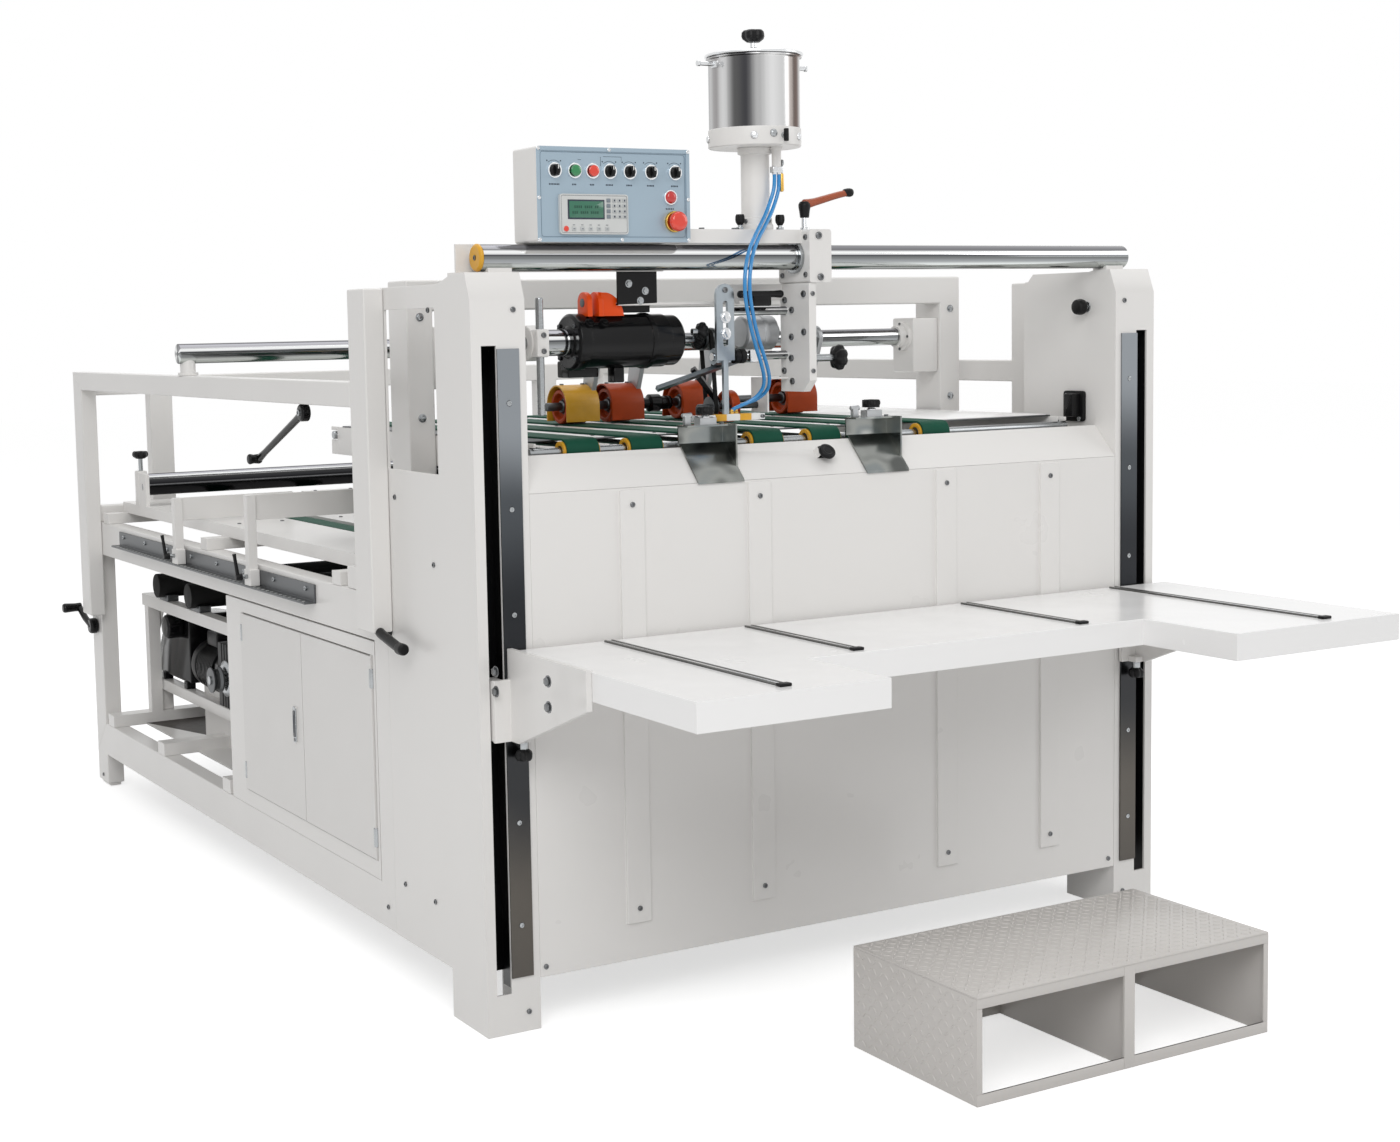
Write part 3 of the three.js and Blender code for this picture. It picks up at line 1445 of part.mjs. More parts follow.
function gluePot() {
  const inner = potRadius - potWall;
  const pan = turned('z', [
    [0, potLow], [potRingRadius, potLow], [potRingRadius, potLow + potRingHeight],
    [potRadius, potLow + potRingHeight], [potRadius, potHigh - potRimHeight], [potRimRadius, potHigh - potRimHeight],
    [potRimRadius, potHigh], [inner, potHigh], [inner, potLow + potFloor], [0, potLow + potFloor],
  ], [potPlace, potSetback], potSides);
  const ears = [-1, 1].map((way) => block(
    [potPlace + way * (potRadius - overrun / 4), potPlace + way * (potRadius + potHandleReach)],
    [potSetback - potHandleWidth / 2, potSetback + potHandleWidth / 2],
    [potHigh - potHandleDrop - potHandleHeight, potHigh - potHandleDrop],
  ));
  const spout = rod('z', valveBodyRadius, [valveLow, potLow + potFloor / 2],
    [valvePlace, valveSetback], smallSides);
  return join(pan, ...ears, spout);
}

piece('glue_pot', gluePot(), chrome);

// Pot lid with a plug, a stem and a lobed knob

function potLid() {
  const low = potHigh + gap;
  const domeTop = low + lidThickness + lidDome;
  const cover = turned('z', [
    [0, low - lidPlugDepth], [lidPlugRadius, low - lidPlugDepth], [lidPlugRadius, low], [lidRadius, low],
    [lidRadius, low + lidThickness], [lidStemRadius, domeTop], [lidStemRadius, domeTop + lidStemHeight],
    [0, domeTop + lidStemHeight],
  ], [potPlace, potSetback], potSides);
  const knob = plate('z', lobedOutline([potPlace, potSetback], lidKnobRadius, lidKnobDip, lidKnobLobes),
    [domeTop + lidStemHeight - overrun, domeTop + lidStemHeight + lidKnobHeight]);
  return join(cover, knob);
}

piece('pot_lid', potLid(), chrome);

// Clamp lever on the carriage block: a hub on a stem and a rising arm with a round grip

function clampLever() {
  const low = carriageHigh + gap;
  const hubLow = low + leverStemHeight;
  const stem = rod('z', leverStemRadius, [low, hubLow + overrun], [leverPlace, leverSetback], smallSides);
  const hub = rod('z', leverHubRadius, [hubLow, hubLow + leverHubHeight], [leverPlace, leverSetback], smallSides);
  const armHigh = hubLow + leverHubHeight;
  const arm = plate('y', [
    [leverPlace, armHigh - leverThickness], [leverPlace + leverReach, armHigh - leverThickness + leverRise],
    [leverPlace + leverReach, armHigh + leverRise], [leverPlace, armHigh],
  ], [leverSetback - leverThickness / 2, leverSetback + leverThickness / 2]);
  const grip = new THREE.SphereGeometry(leverGripRadius, smallSides, smallSides / 2);
  grip.translate(leverPlace + leverReach, leverSetback, armHigh + leverRise - leverThickness / 2);
  return join(stem, hub, arm, toSolid(grip));
}

piece('clamp_lever', clampLever(), orange);

// Star knob on the right of the hanging plate

function starKnob() {
  const start = carriageLeft + hangPlateThickness * starKnobSeatShare;
  const end = carriageLeft + hangPlateThickness + starKnobStemLength;
  const outline = lobedOutline([starKnobSetback, starKnobHeight], starKnobRadius, starKnobDip, starKnobLobes);
  return join(
    rod('x', starKnobStemRadius, [start, end + overrun], [starKnobSetback, starKnobHeight], smallSides),
    plate('x', outline, [end, end + starKnobWidth]),
  );
}

piece('star_knob', starKnob(), blackPlastic);

// Brass valve handle below the pot

function valveHandle() {
  const start = valvePlace + valveBodyRadius + gap;
  const xs = [start, start + valveHandleThickness];
  const lever = block([start + gap, xs[1]],
    [valveSetback - valveHandleWidth / 2, valveSetback + valveHandleWidth / 2],
    [valveHandleHeight - valveHandleLength, valveHandleHeight]);
  const hub = rod('x', valveHubRadius, [start, xs[1] + gap * 2], [valveSetback, valveHandleHeight], smallSides);
  return join(lever, hub);
}

piece('valve_handle', valveHandle(), brass);

// Glue hoses from the spout below the pot to the glue shoe, chosen by hand along their route

const leftHoseRoute = [
  [729.5, 40, 1699.7], [729.5, 40, 1688], [727, 40, 1668], [716, 38, 1642], [700, 32, 1616], [678, 22, 1590],
  [655, 10, 1564], [636, -1, 1538], [623, -10, 1510], [617, -14, 1480], [618, -14, 1445], [626, -11, 1411],
  [641, -2, 1374], [659, 9, 1340], [680, 24, 1308], [697, 40, 1281], [704, 54, 1259], [698, 66, 1241],
  [682, 75, 1228], [664, 81, 1220], [650, 84, 1214], [644, 84.5, 1209], [644, 84.5, 1203.3],
];
const rightHoseRoute = [
  [740.5, 40, 1699.7], [740.5, 40, 1688], [739, 40, 1668], [729, 38, 1642], [713, 32, 1616], [691, 22, 1590],
  [667, 10, 1564], [648, -1, 1538], [635, -10, 1510], [629, -14, 1480], [630, -14, 1445], [638, -11, 1411],
  [653, -2, 1374], [672, 9, 1340], [693, 24, 1308], [711, 41, 1281], [720, 58, 1258], [717, 74, 1242],
  [703, 84, 1231], [686, 90, 1225], [668, 91, 1219], [658, 90, 1212], [658, 90, 1203.3],
];

function hose(route) {
  const path = new THREE.CatmullRomCurve3(route.map((point) => new THREE.Vector3(...point)));
  const section = Array.from({ length: hoseSides }, (_, i) => {
    const turn = (i / hoseSides) * Math.PI * 2;
    return new THREE.Vector2(hoseRadius * Math.cos(turn), hoseRadius * Math.sin(turn));
  });
  return toSolid(new THREE.ExtrudeGeometry(new THREE.Shape(section), {
    steps: hoseSteps, extrudePath: path, bevelEnabled: false,
  }));
}

piece('glue_hose_left', hose(leftHoseRoute), hoseBlue);
piece('glue_hose_right', hose(rightHoseRoute), hoseBlue);

// Front guides: a bent sheet that hooks over the deflector, with its clamp block and knob

function frontGuide(place) {
  const xs = [place - guideWidth / 2, place + guideWidth / 2];
  const low = panelTop + gap;
  const rise = deflectorTop - low;
  const lift = guideClear * Math.hypot(rise, deflectorDepth) / deflectorDepth;
  const sheetLift = lift + guideSheet * Math.hypot(rise, deflectorDepth) / deflectorDepth;
  const nose = -guideSheet * rise / deflectorDepth;
  const riserFront = deflectorDepth + deflectorThickness + guideClear;
  const riserRear = riserFront + guideSheet;
  const slope = plate('x', [
    [-guideSheet, low + lift + nose], [deflectorDepth, deflectorTop + lift], [riserRear, deflectorTop + lift],
    [riserRear, deflectorTop + sheetLift], [deflectorDepth, deflectorTop + sheetLift],
    [-guideSheet, low + sheetLift + nose],
  ], xs);
  const riser = block(xs, [riserFront, riserRear], [deflectorTop + lift, guideRiserHigh]);
  const shelf = block(xs, [riserRear - guideShelfDepth, riserRear], [guideRiserHigh - guideSheet, guideRiserHigh]);
  const flange = plate('x', [
    [guideFlangeFront, low + lift + guideFlangeFront * rise / deflectorDepth], [deflectorDepth, deflectorTop + lift],
    [riserRear, deflectorTop + lift], [riserRear, guideRiserHigh], [guideFlangeFront, guideRiserHigh],
  ], [xs[1] - guideSheet, xs[1]]);
  const tabXs = [place - guideClampWidth / 2, place + guideClampWidth / 2];
  const barCentre = [guideBarSetback, guideBarHeight];
  const tab = block(tabXs, [riserFront, riserRear], [guideBarHeight, deflectorTop + sheetLift]);
  const ring = rod('x', guideRingRadius, tabXs, barCentre, smallSides);
  const bore = rod('x', guideBarRadius + guideClear, [tabXs[0] - overrun, tabXs[1] + overrun], barCentre, smallSides);
  const middle = riserRear - guideShelfDepth / 2;
  const clamp = block(tabXs, [middle - guideClampDepth / 2, middle + guideClampDepth / 2],
    [guideRiserHigh - overrun / 2, guideRiserHigh + guideClampHeight]);
  const stemHigh = guideRiserHigh + guideClampHeight + guideKnobStemLength;
  const stem = rod('z', guideKnobStem, [guideRiserHigh, stemHigh], [place, middle], smallSides);
  const knob = plate('z', lobedOutline([place, middle], guideKnobRadius, starKnobDip / 2, lidKnobLobes),
    [stemHigh - overrun / 2, stemHigh + guideKnobHeight]);
  return join(cut(join(slope, riser, shelf, flange, tab, ring), bore), clamp, stem, knob);
}

piece('left_front_guide', frontGuide(guideLeftPlace), steel);
piece('right_front_guide', frontGuide(guideRightPlace), steel);

// Electrical cabinet: an open sheet box with a face frame, and two folded doors

function cabinet() {
  const ys = [cabinetFront, cabinetRear];
  const zs = [cabinetLow, cabinetHigh];
  const shell = block([gap, cabinetDepth], ys, zs);
  const hollow = block([cabinetFace, cabinetDepth - cabinetWall],
    [cabinetFront + cabinetWall, cabinetRear - cabinetWall], [cabinetLow + cabinetWall, cabinetHigh - cabinetWall]);
  const opening = block([-overrun, cabinetFace + overrun], [doorOpeningFront, doorOpeningRear],
    [doorOpeningLow, doorOpeningHigh]);
  const mountingPlate = block([cabinetDepth - cabinetWall * 4, cabinetDepth - cabinetWall / 2],
    [doorOpeningFront, doorOpeningRear], [doorOpeningLow, doorOpeningHigh]);
  return join(cut(shell, hollow, opening), mountingPlate);
}

piece('cabinet', cabinet(), paint);

const doorMiddle = (doorOpeningFront + doorOpeningRear) / 2;

function cabinetDoor([front, rear], hingePlace, latchPlace) {
  const ys = [front + doorClear, rear - doorClear];
  const zs = [doorOpeningLow + doorClear, doorOpeningHigh - doorClear];
  const xs = [-doorProud, doorThickness - doorProud];
  const skin = block(xs, ys, zs);
  const inside = block([doorSheet - doorProud, xs[1] + overrun], [ys[0] + doorSheet, ys[1] - doorSheet],
    [zs[0] + doorSheet, zs[1] - doorSheet]);
  const pin = rod('z', doorPinRadius, [zs[0] - doorClear + gap, zs[1] + doorClear - gap],
    [doorPinInset - doorProud, hingePlace], smallSides);
  const pan = join(cut(skin, inside), pin);
  if (latchPlace === undefined) return pan;
  const middle = (zs[0] + zs[1]) / 2;
  const latch = block([-doorProud - latchProud, doorSheet - doorProud],
    [latchPlace - latchWidth / 2, latchPlace + latchWidth / 2],
    [middle - latchHeight / 2, middle + latchHeight / 2]);
  return join(pan, latch);
}

const frontHinge = doorOpeningFront + doorClear + doorPinInset;
const rearHinge = doorOpeningRear - doorClear - doorPinInset;

piece('front_cabinet_door', cabinetDoor([doorOpeningFront, doorMiddle + doorClear / 2], frontHinge), paint);
piece('rear_cabinet_door', cabinetDoor([doorMiddle - doorClear / 2, doorOpeningRear], rearHinge,
  doorMiddle + latchInset), paint);

// Folding conveyor: planks on cross bars with belts in the gaps, and the plates of the press roller

const plankPitch = plankWidth + plankGap;

function conveyorBed() {
  const planks = Array.from({ length: plankCount }, (_, i) => {
    const left = plankFirst + i * plankPitch;
    return block([left, left + plankWidth], [plankFront, plankRear], [plankTop - plankThickness, plankTop]);
  });
  const barLow = middleRailHigh + gap;
  const barRun = (plankRear - plankFront - crossBarDepth) / (crossBarCount - 1);
  const bars = Array.from({ length: crossBarCount }, (_, i) => {
    const front = plankFront + i * barRun;
    return block([gap, machineWidth - gap], [front, front + crossBarDepth],
      [barLow, plankTop - plankThickness + overrun / 4]);
  });
  const belts = Array.from({ length: plankCount - 1 }, (_, i) => {
    const middle = plankFirst + plankWidth + i * plankPitch + plankGap / 2;
    return block([middle - conveyorBeltWidth / 2, middle + conveyorBeltWidth / 2],
      [plankFront - conveyorBeltOverhang, plankRear + conveyorBeltOverhang],
      [plankTop - plankThickness, plankTop - conveyorBeltDrop]);
  });
  const rollerPlates = sides.map((side) => {
    const xs = span(side, plankFirst, plankFirst + rollerPlateThickness);
    return cut(
      block(xs, [rollerSetback - rollerPlateDepth / 2, rollerSetback + rollerPlateDepth / 2],
        [plankTop - overrun, rollerPlateHigh]),
      rod('x', rollerJournalRadius + rollerClear, [Math.min(...xs) - overrun, Math.max(...xs) + overrun],
        [rollerSetback, rollerHeight]),
    );
  });
  return join(...planks, ...bars, ...belts, ...rollerPlates);
}

piece('conveyor_bed', conveyorBed(), paint);

// Press roller with two journals

function pressRoller() {
  const inset = plankFirst + rollerPlateThickness + rollerClear;
  const centre = [rollerSetback, rollerHeight];
  return join(
    rod('x', rollerRadius, [inset, machineWidth - inset], centre),
    rod('x', rollerJournalRadius, [inset - rollerJournalLength / 2, machineWidth - inset + rollerJournalLength / 2],
      centre, smallSides),
  );
}

piece('press_roller', pressRoller(), blackMetal);

// Steel rail along the left side and the two fences on it

function fenceRail() {
  const wall = block([-fenceRailThickness - gap, -gap], [fenceRailFront, fenceRailRear],
    [fenceRailLow, fenceRailHigh]);
  const shelf = block([-fenceRailShelf, -gap], [fenceRailFront, fenceRailRear],
    [fenceRailLow, fenceRailLow + fenceRailThickness]);
  return join(wall, shelf);
}

piece('fence_rail', fenceRail(), steel);

function fence(place, high, reach) {
  const clampRight = -fenceRailThickness - gap - fenceClampClear;
  const xs = [clampRight - fencePost, clampRight];
  const low = fenceRailLow + fenceRailThickness + fenceClampClear;
  const post = block(xs, [place - fencePost / 2, place + fencePost / 2], [low, high]);
  const clamp = block(xs, [place - fenceClampWidth / 2, place + fenceClampWidth / 2], [low, low + fenceClampHeight]);
  const board = block([xs[0], plankFirst + reach],
    [place - fenceBoardThickness / 2, place + fenceBoardThickness / 2], [high - fenceBoardHeight, high]);
  return join(post, clamp, board);
}

piece('front_fence', fence(fenceFrontPlace, fenceFrontHigh, fenceFrontBoardLength), paint);
piece('rear_fence', fence(fenceRearPlace, fenceRearHigh, fenceRearBoardLength), paint);

// Crank under the left beam

function crank() {
  const high = upperBeamLow - gap;
  const centreX = -upperTube / 2;
  const hubAxis = [crankSetback, high - crankHubRadius];
  const fall = crankLength * crankFallShare;
  const run = Math.sqrt(crankLength * crankLength - fall * fall);
  const tip = [crankSetback + run, high - crankHubRadius - fall];
  const xs = [centreX - crankArmThickness / 2, centreX + crankArmThickness / 2];
  const arm = plate('x', [
    [hubAxis[0], hubAxis[1] - crankArmWidth / 2], [tip[0], tip[1] - crankArmWidth / 2],
    [tip[0], tip[1] + crankArmWidth / 2], [hubAxis[0], hubAxis[1] + crankArmWidth / 2],
  ], xs);
  return join(
    rod('x', crankHubRadius, [xs[0] - overrun, xs[1] + overrun], hubAxis, smallSides),
    arm,
    rod('x', crankGripRadius, [xs[0] - crankGripLength / 2, xs[1]], tip, smallSides),
  );
}

piece('crank_lever', crank(), blackPlastic);

// Lower tray: cross members on the bottom rails, a drive unit with its gearbox, and a sub frame

function baseTray() {
  const beams = [trayFront, (trayFront + trayRear) / 2, trayRear - trayBeam].map((front) => (
    block([gap, machineWidth - gap], [front, front + trayBeam], [trayLow, trayHigh])
  ));
  const floor = block([railTube * 2, machineWidth - railTube * 2], [trayFront, trayRear],
    [trayLow, trayLow + cabinetWall]);
  const uprights = [trayFront, trayRear - trayBeam].flatMap((front) => sides.map((side) => (
    block(span(side, drivePedestal, drivePedestal + subFrameTube), [front, front + subFrameTube],
      [trayHigh - overrun, subFrameHigh])
  )));
  const rails = sides.map((side) => block(span(side, drivePedestal, drivePedestal + subFrameTube),
    [trayFront, trayRear], [subFrameHigh - subFrameTube, subFrameHigh]));
  const motor = rod('y', driveRadius, [driveSetback, driveSetback + driveLength], [drivePlace, driveHeight]);
  const pedestal = block([drivePlace - driveRadius / 2, drivePlace + driveRadius / 2],
    [driveSetback, driveSetback + driveLength], [trayLow, driveHeight]);
  const gearbox = block([drivePlace - gearboxWidth / 2, drivePlace + gearboxWidth / 2],
    [driveSetback - gearboxDepth, driveSetback + overrun],
    [driveHeight - gearboxHeight / 2, driveHeight + gearboxHeight / 2]);
  return join(floor, ...beams, ...uprights, ...rails, motor, pedestal, gearbox);
}

piece('base_tray', baseTray(), paint);

// Loose step: a folded sheet box, open in front, with a middle wall and rails

function stepPlatform() {
  const xs = [stepLeft, stepLeft + stepWidth];
  const ys = [stepFront, stepFront + stepDepth];
  const middle = stepLeft + stepWidth / 2;
  const top = block(xs, ys, [stepHeight - stepWall, stepHeight]);
  const walls = [xs[0], middle - stepWall / 2, xs[1] - stepWall].map((left) => (
    block([left, left + stepWall], ys, [0, stepHeight - stepWall / 2])
  ));
  const rails = [ys[0], ys[1] - stepWall].map((front) => (
    block(xs, [front, front + stepWall], [0, stepRail])
  ));
  const lip = [ys[0], ys[1] - stepWall].map((front) => (
    block(xs, [front, front + stepWall], [stepHeight - stepRail, stepHeight])
  ));
  const post = block([middle - stepLip, middle + stepLip], [ys[0], ys[0] + stepWall], [0, stepHeight - stepWall / 2]);
  return join(top, ...walls, ...rails, ...lip, post);
}

piece('step_platform', stepPlatform(), steel);

// Origin: middle of the whole set on the floor
machine.position.set(-machineWidth / 2, -(machineRear + stepFront) / 2, 0);
const part = new THREE.Group();
part.add(machine);

export default part;
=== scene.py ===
"""Folder gluer: finishes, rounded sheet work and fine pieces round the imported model.

Places are metres from the machine's front left corner on the floor: X to the right along the columns,
Y from the operator to the delivery end, Z up. Each shape function says its formula in words.
"""

import json
import math

import bmesh
import bpy
import numpy as np
from bpy.props import FloatProperty, FloatVectorProperty, PointerProperty
from mathutils import Matrix, Vector

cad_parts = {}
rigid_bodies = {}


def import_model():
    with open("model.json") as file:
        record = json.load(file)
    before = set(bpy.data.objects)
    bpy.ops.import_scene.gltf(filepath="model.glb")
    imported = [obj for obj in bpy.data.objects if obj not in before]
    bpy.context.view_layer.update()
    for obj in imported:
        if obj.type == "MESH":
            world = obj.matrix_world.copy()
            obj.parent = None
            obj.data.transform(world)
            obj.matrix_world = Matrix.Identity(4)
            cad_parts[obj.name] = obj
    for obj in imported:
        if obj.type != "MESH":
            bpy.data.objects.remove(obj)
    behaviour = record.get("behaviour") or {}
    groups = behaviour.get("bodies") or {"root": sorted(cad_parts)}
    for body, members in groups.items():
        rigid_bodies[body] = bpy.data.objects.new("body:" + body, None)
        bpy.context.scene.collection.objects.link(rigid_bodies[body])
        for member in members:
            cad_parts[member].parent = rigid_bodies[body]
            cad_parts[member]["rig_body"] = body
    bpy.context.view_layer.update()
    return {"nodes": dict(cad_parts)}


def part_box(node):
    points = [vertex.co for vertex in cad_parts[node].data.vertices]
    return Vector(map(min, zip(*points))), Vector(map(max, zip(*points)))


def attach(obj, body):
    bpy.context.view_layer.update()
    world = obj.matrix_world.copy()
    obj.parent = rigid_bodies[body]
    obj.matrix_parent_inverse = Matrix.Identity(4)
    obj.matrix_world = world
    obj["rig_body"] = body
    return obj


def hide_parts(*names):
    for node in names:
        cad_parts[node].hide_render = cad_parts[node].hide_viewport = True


bl_info = {
    "name": "Folder Gluer",
    "version": (1, 0, 0),
    "blender": (4, 5, 0),
    "location": "View3D > Sidebar > Folder Gluer",
    "description": "Dresses the packed folder gluer: painted sheet work, chromed bars, glue head and controls",
    "category": "Add Mesh",
}

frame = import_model()
CORNER = np.array(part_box("left_column")[0])
MACHINE_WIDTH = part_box("right_column")[1][0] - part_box("left_column")[0][0]

FINE_EDGE = 0.0008
SHARP_ANGLE = math.radians(33)
EASE_STEPS = 4
ROUND = 48


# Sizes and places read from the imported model

class Extent:
    """Box of a CAD node in machine places."""

    def __init__(self, node):
        low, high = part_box(node)
        self.low = np.array(low) - CORNER
        self.high = np.array(high) - CORNER
        self.middle = (self.low + self.high) / 2
        self.size = self.high - self.low


# Skins: points and faces worked out as whole arrays

class Skin:
    """Points of one or more closed surfaces, with arrays of faces that have equal numbers of corners."""

    def __init__(self, points, *faces):
        self.points = np.asarray(points, float).reshape(-1, 3)
        self.faces = list(faces)

    def __add__(self, other):
        shift = len(self.points)
        return Skin(np.vstack([self.points, other.points]), *self.faces,
                    *[face + shift for face in other.faces])

    def moved(self, x=0.0, y=0.0, z=0.0):
        return Skin(self.points + np.array((x, y, z)), *self.faces)

    def rotated(self, axis, angle, centre=(0, 0, 0)):
        """Turned about a line along the named axis through the centre."""
        turn = np.array(Matrix.Rotation(angle, 3, axis.upper()))
        centre = np.asarray(centre, float)
        return Skin((self.points - centre) @ turn.T + centre, *self.faces)

    def aimed(self, direction):
        """A skin made round Z through the origin, turned until Z points along the direction."""
        turn = np.array(Vector((0, 0, 1)).rotation_difference(Vector(direction)).to_matrix())
        return Skin(self.points @ turn.T, *self.faces)

    def mirrored(self, x):
        """The twin on the other side of the plane at x."""
        points = self.points.copy()
        points[:, 0] = 2 * x - points[:, 0]
        return Skin(points, *[face[:, ::-1] for face in self.faces])


def joined(skins):
    """Several skins as one."""
    total = None
    for skin in skins:
        total = skin if total is None else total + skin
    return total


def scattered(template, places):
    """The template copied to each place: its points are added to every place at once."""
    places = np.asarray(places, float).reshape(-1, 3)
    shift = (np.arange(len(places)) * len(template.points))[:, None, None]
    points = places[:, None, :] + template.points[None]
    return Skin(points, *[(face[None] + shift).reshape(-1, face.shape[1]) for face in template.faces])


def grid(points, loop=False):
    """A skin over rows of points. Each row is a closed ring; neighbouring rows are joined by quads.
    With loop the last row joins the first, and otherwise both end rows are capped."""
    rows, columns = points.shape[:2]
    row = np.arange(rows if loop else rows - 1)[:, None]
    column = np.arange(columns)[None, :]
    after = (column + 1) % columns
    below = (row + 1) % rows
    quads = np.stack(np.broadcast_arrays(row * columns + column, row * columns + after,
                                         below * columns + after, below * columns + column), -1)
    caps = [] if loop else [np.arange(columns)[None, ::-1], np.arange(columns)[None] + (rows - 1) * columns]
    return Skin(points, quads.reshape(-1, 4), *caps)


def placed(axis, first, second, along):
    """Two coordinates across an axis and one along it, put in X, Y, Z order."""
    order = {"x": (along, first, second), "y": (first, along, second), "z": (first, second, along)}[axis]
    return np.stack(np.broadcast_arrays(*order), -1)


def eased(points, size, closed=True):
    """Each corner becomes a quadratic curve that starts and ends the given size away from it, or
    0.45 of its side."""
    points = np.asarray(points, float)
    corner = points if closed else points[1:-1]
    before = np.roll(points, 1, 0) if closed else points[:-2]
    after = np.roll(points, -1, 0) if closed else points[2:]
    size = np.broadcast_to(np.asarray(size, float), (len(corner),))[:, None]

    def towards(target):
        way = target - corner
        length = np.maximum(np.linalg.norm(way, axis=1, keepdims=True), 1e-9)
        return corner + way / length * np.minimum(size, length * 0.45)

    share = np.linspace(0, 1, EASE_STEPS)[None, :, None]
    start, end = towards(before)[:, None], towards(after)[:, None]
    arcs = (1 - share) ** 2 * start + 2 * share * (1 - share) * corner[:, None] + share ** 2 * end
    arcs = arcs.reshape(-1, points.shape[1])
    return arcs if closed else np.vstack([points[:1], arcs, points[-1:]])


def turned(axis, centre, profile, ease=FINE_EDGE, steps=ROUND, start=0.0):
    """A profile of (radius, place) points with eased corners, carried once round the axis. The places
    are counted from the start."""
    radius, place = eased(np.asarray(profile, float) + (0, start), ease, closed=False).T
    angle = np.linspace(0, 2 * math.pi, steps, endpoint=False)[None]
    return grid(placed(axis, centre[0] + radius[:, None] * np.cos(angle),
                       centre[1] + radius[:, None] * np.sin(angle), place[:, None]))


def rod(axis, centre, radius, low, high, ease=FINE_EDGE, steps=ROUND):
    """A round bar with eased ends."""
    return turned(axis, centre, [(0, low), (radius, low), (radius, high), (0, high)], ease, steps)


def ring(axis, centre, inner, outer, low, high, ease=FINE_EDGE, steps=ROUND):
    """A tube with a wall: its rectangular section is carried round and closes on itself."""
    section = eased([(inner, low), (outer, low), (outer, high), (inner, high)], ease)
    angle = np.linspace(0, 2 * math.pi, steps, endpoint=False)[None]
    radius, place = section[:, :1], section[:, 1:]
    return grid(placed(axis, centre[0] + radius * np.cos(angle), centre[1] + radius * np.sin(angle), place),
                loop=True)


def inset(outline, distance):
    """The outline drawn in: each corner moves along the mitre of its two sides."""
    after = np.roll(outline, -1, 0) - outline
    after = after / np.maximum(np.linalg.norm(after, axis=1, keepdims=True), 1e-9)
    before = np.roll(after, 1, 0)
    normal_after = np.stack([-after[:, 1], after[:, 0]], -1)
    normal_before = np.stack([-before[:, 1], before[:, 0]], -1)
    mitre = (normal_after + normal_before) / np.maximum(1 + (normal_after
                                                             * normal_before).sum(1, keepdims=True), 0.2)
    area = (outline[:, 0] * np.roll(outline[:, 1], -1) - np.roll(outline[:, 0], -1) * outline[:, 1]).sum()
    return outline + mitre * distance * np.sign(area)


def prism(axis, outline, low, high, edge=FINE_EDGE, corner=0.0):
    """A closed outline carried along the axis. Its corners are eased, and its ends are drawn in by
    a quarter round."""
    outline = np.asarray(outline, float)
    if corner:
        outline = eased(outline, corner)
    tilt = np.linspace(0, math.pi / 2, 3)
    draw = edge * (1 - np.sin(tilt))
    rise = edge * (1 - np.cos(tilt))
    draws = np.concatenate([draw, draw[::-1]])
    places = np.concatenate([low + rise, (high - rise)[::-1]])
    rows = np.stack([inset(outline, amount) for amount in draws])
    return grid(placed(axis, rows[..., 0], rows[..., 1], places[:, None]))


def rectangle(first, second):
    """Corners of a rectangle from two spans."""
    return [(first[0], second[0]), (first[1], second[0]), (first[1], second[1]), (first[0], second[1])]


def block(xs, ys, zs, edge=FINE_EDGE, axis="z"):
    """A box with rounded edges."""
    spans = {"x": (ys, zs, xs), "y": (xs, zs, ys), "z": (xs, ys, zs)}[axis]
    return prism(axis, rectangle(spans[0], spans[1]), spans[2][0], spans[2][1], edge, edge)


def disc_outline(centre, radius, steps=24, start=0.0, end=2 * math.pi):
    """Points on an arc or a whole circle."""
    closed = end - start >= 2 * math.pi - 1e-6
    angle = np.linspace(start, end, steps, endpoint=not closed)
    return np.stack([centre[0] + radius * np.cos(angle), centre[1] + radius * np.sin(angle)], -1)


def knob(axis, centre, radius, profile, lobes=5, dip=0.003, steps=60):
    """A lobed grip: the radius falls by the dip between lobes, times the profile's share at each
    place along the axis."""
    share, place = eased(profile, FINE_EDGE * 3, closed=False).T
    angle = np.linspace(0, 2 * math.pi, steps, endpoint=False)[None]
    reach = radius - dip * (0.5 - 0.5 * np.cos(lobes * angle)) ** 2
    return grid(placed(axis, centre[0] + share[:, None] * reach * np.cos(angle),
                       centre[1] + share[:, None] * reach * np.sin(angle), place[:, None]))


def smooth_path(points, steps=8):
    """Catmull-Rom curve through the points: each stretch blends its four nearest points by cubic
    weights."""
    points = np.asarray(points, float)
    padded = np.vstack([2 * points[0] - points[1], points, 2 * points[-1] - points[-2]])
    share = np.linspace(0, 1, steps, endpoint=False)[None, :, None]
    p0, p1, p2, p3 = (padded[i:len(padded) - 3 + i][:, None] for i in range(4))
    curve = 0.5 * (2 * p1 + (p2 - p0) * share + (2 * p0 - 5 * p1 + 4 * p2 - p3) * share ** 2
                   + (3 * p1 - p0 - 3 * p2 + p3) * share ** 3)
    return np.vstack([curve.reshape(-1, 3), points[-1:]])


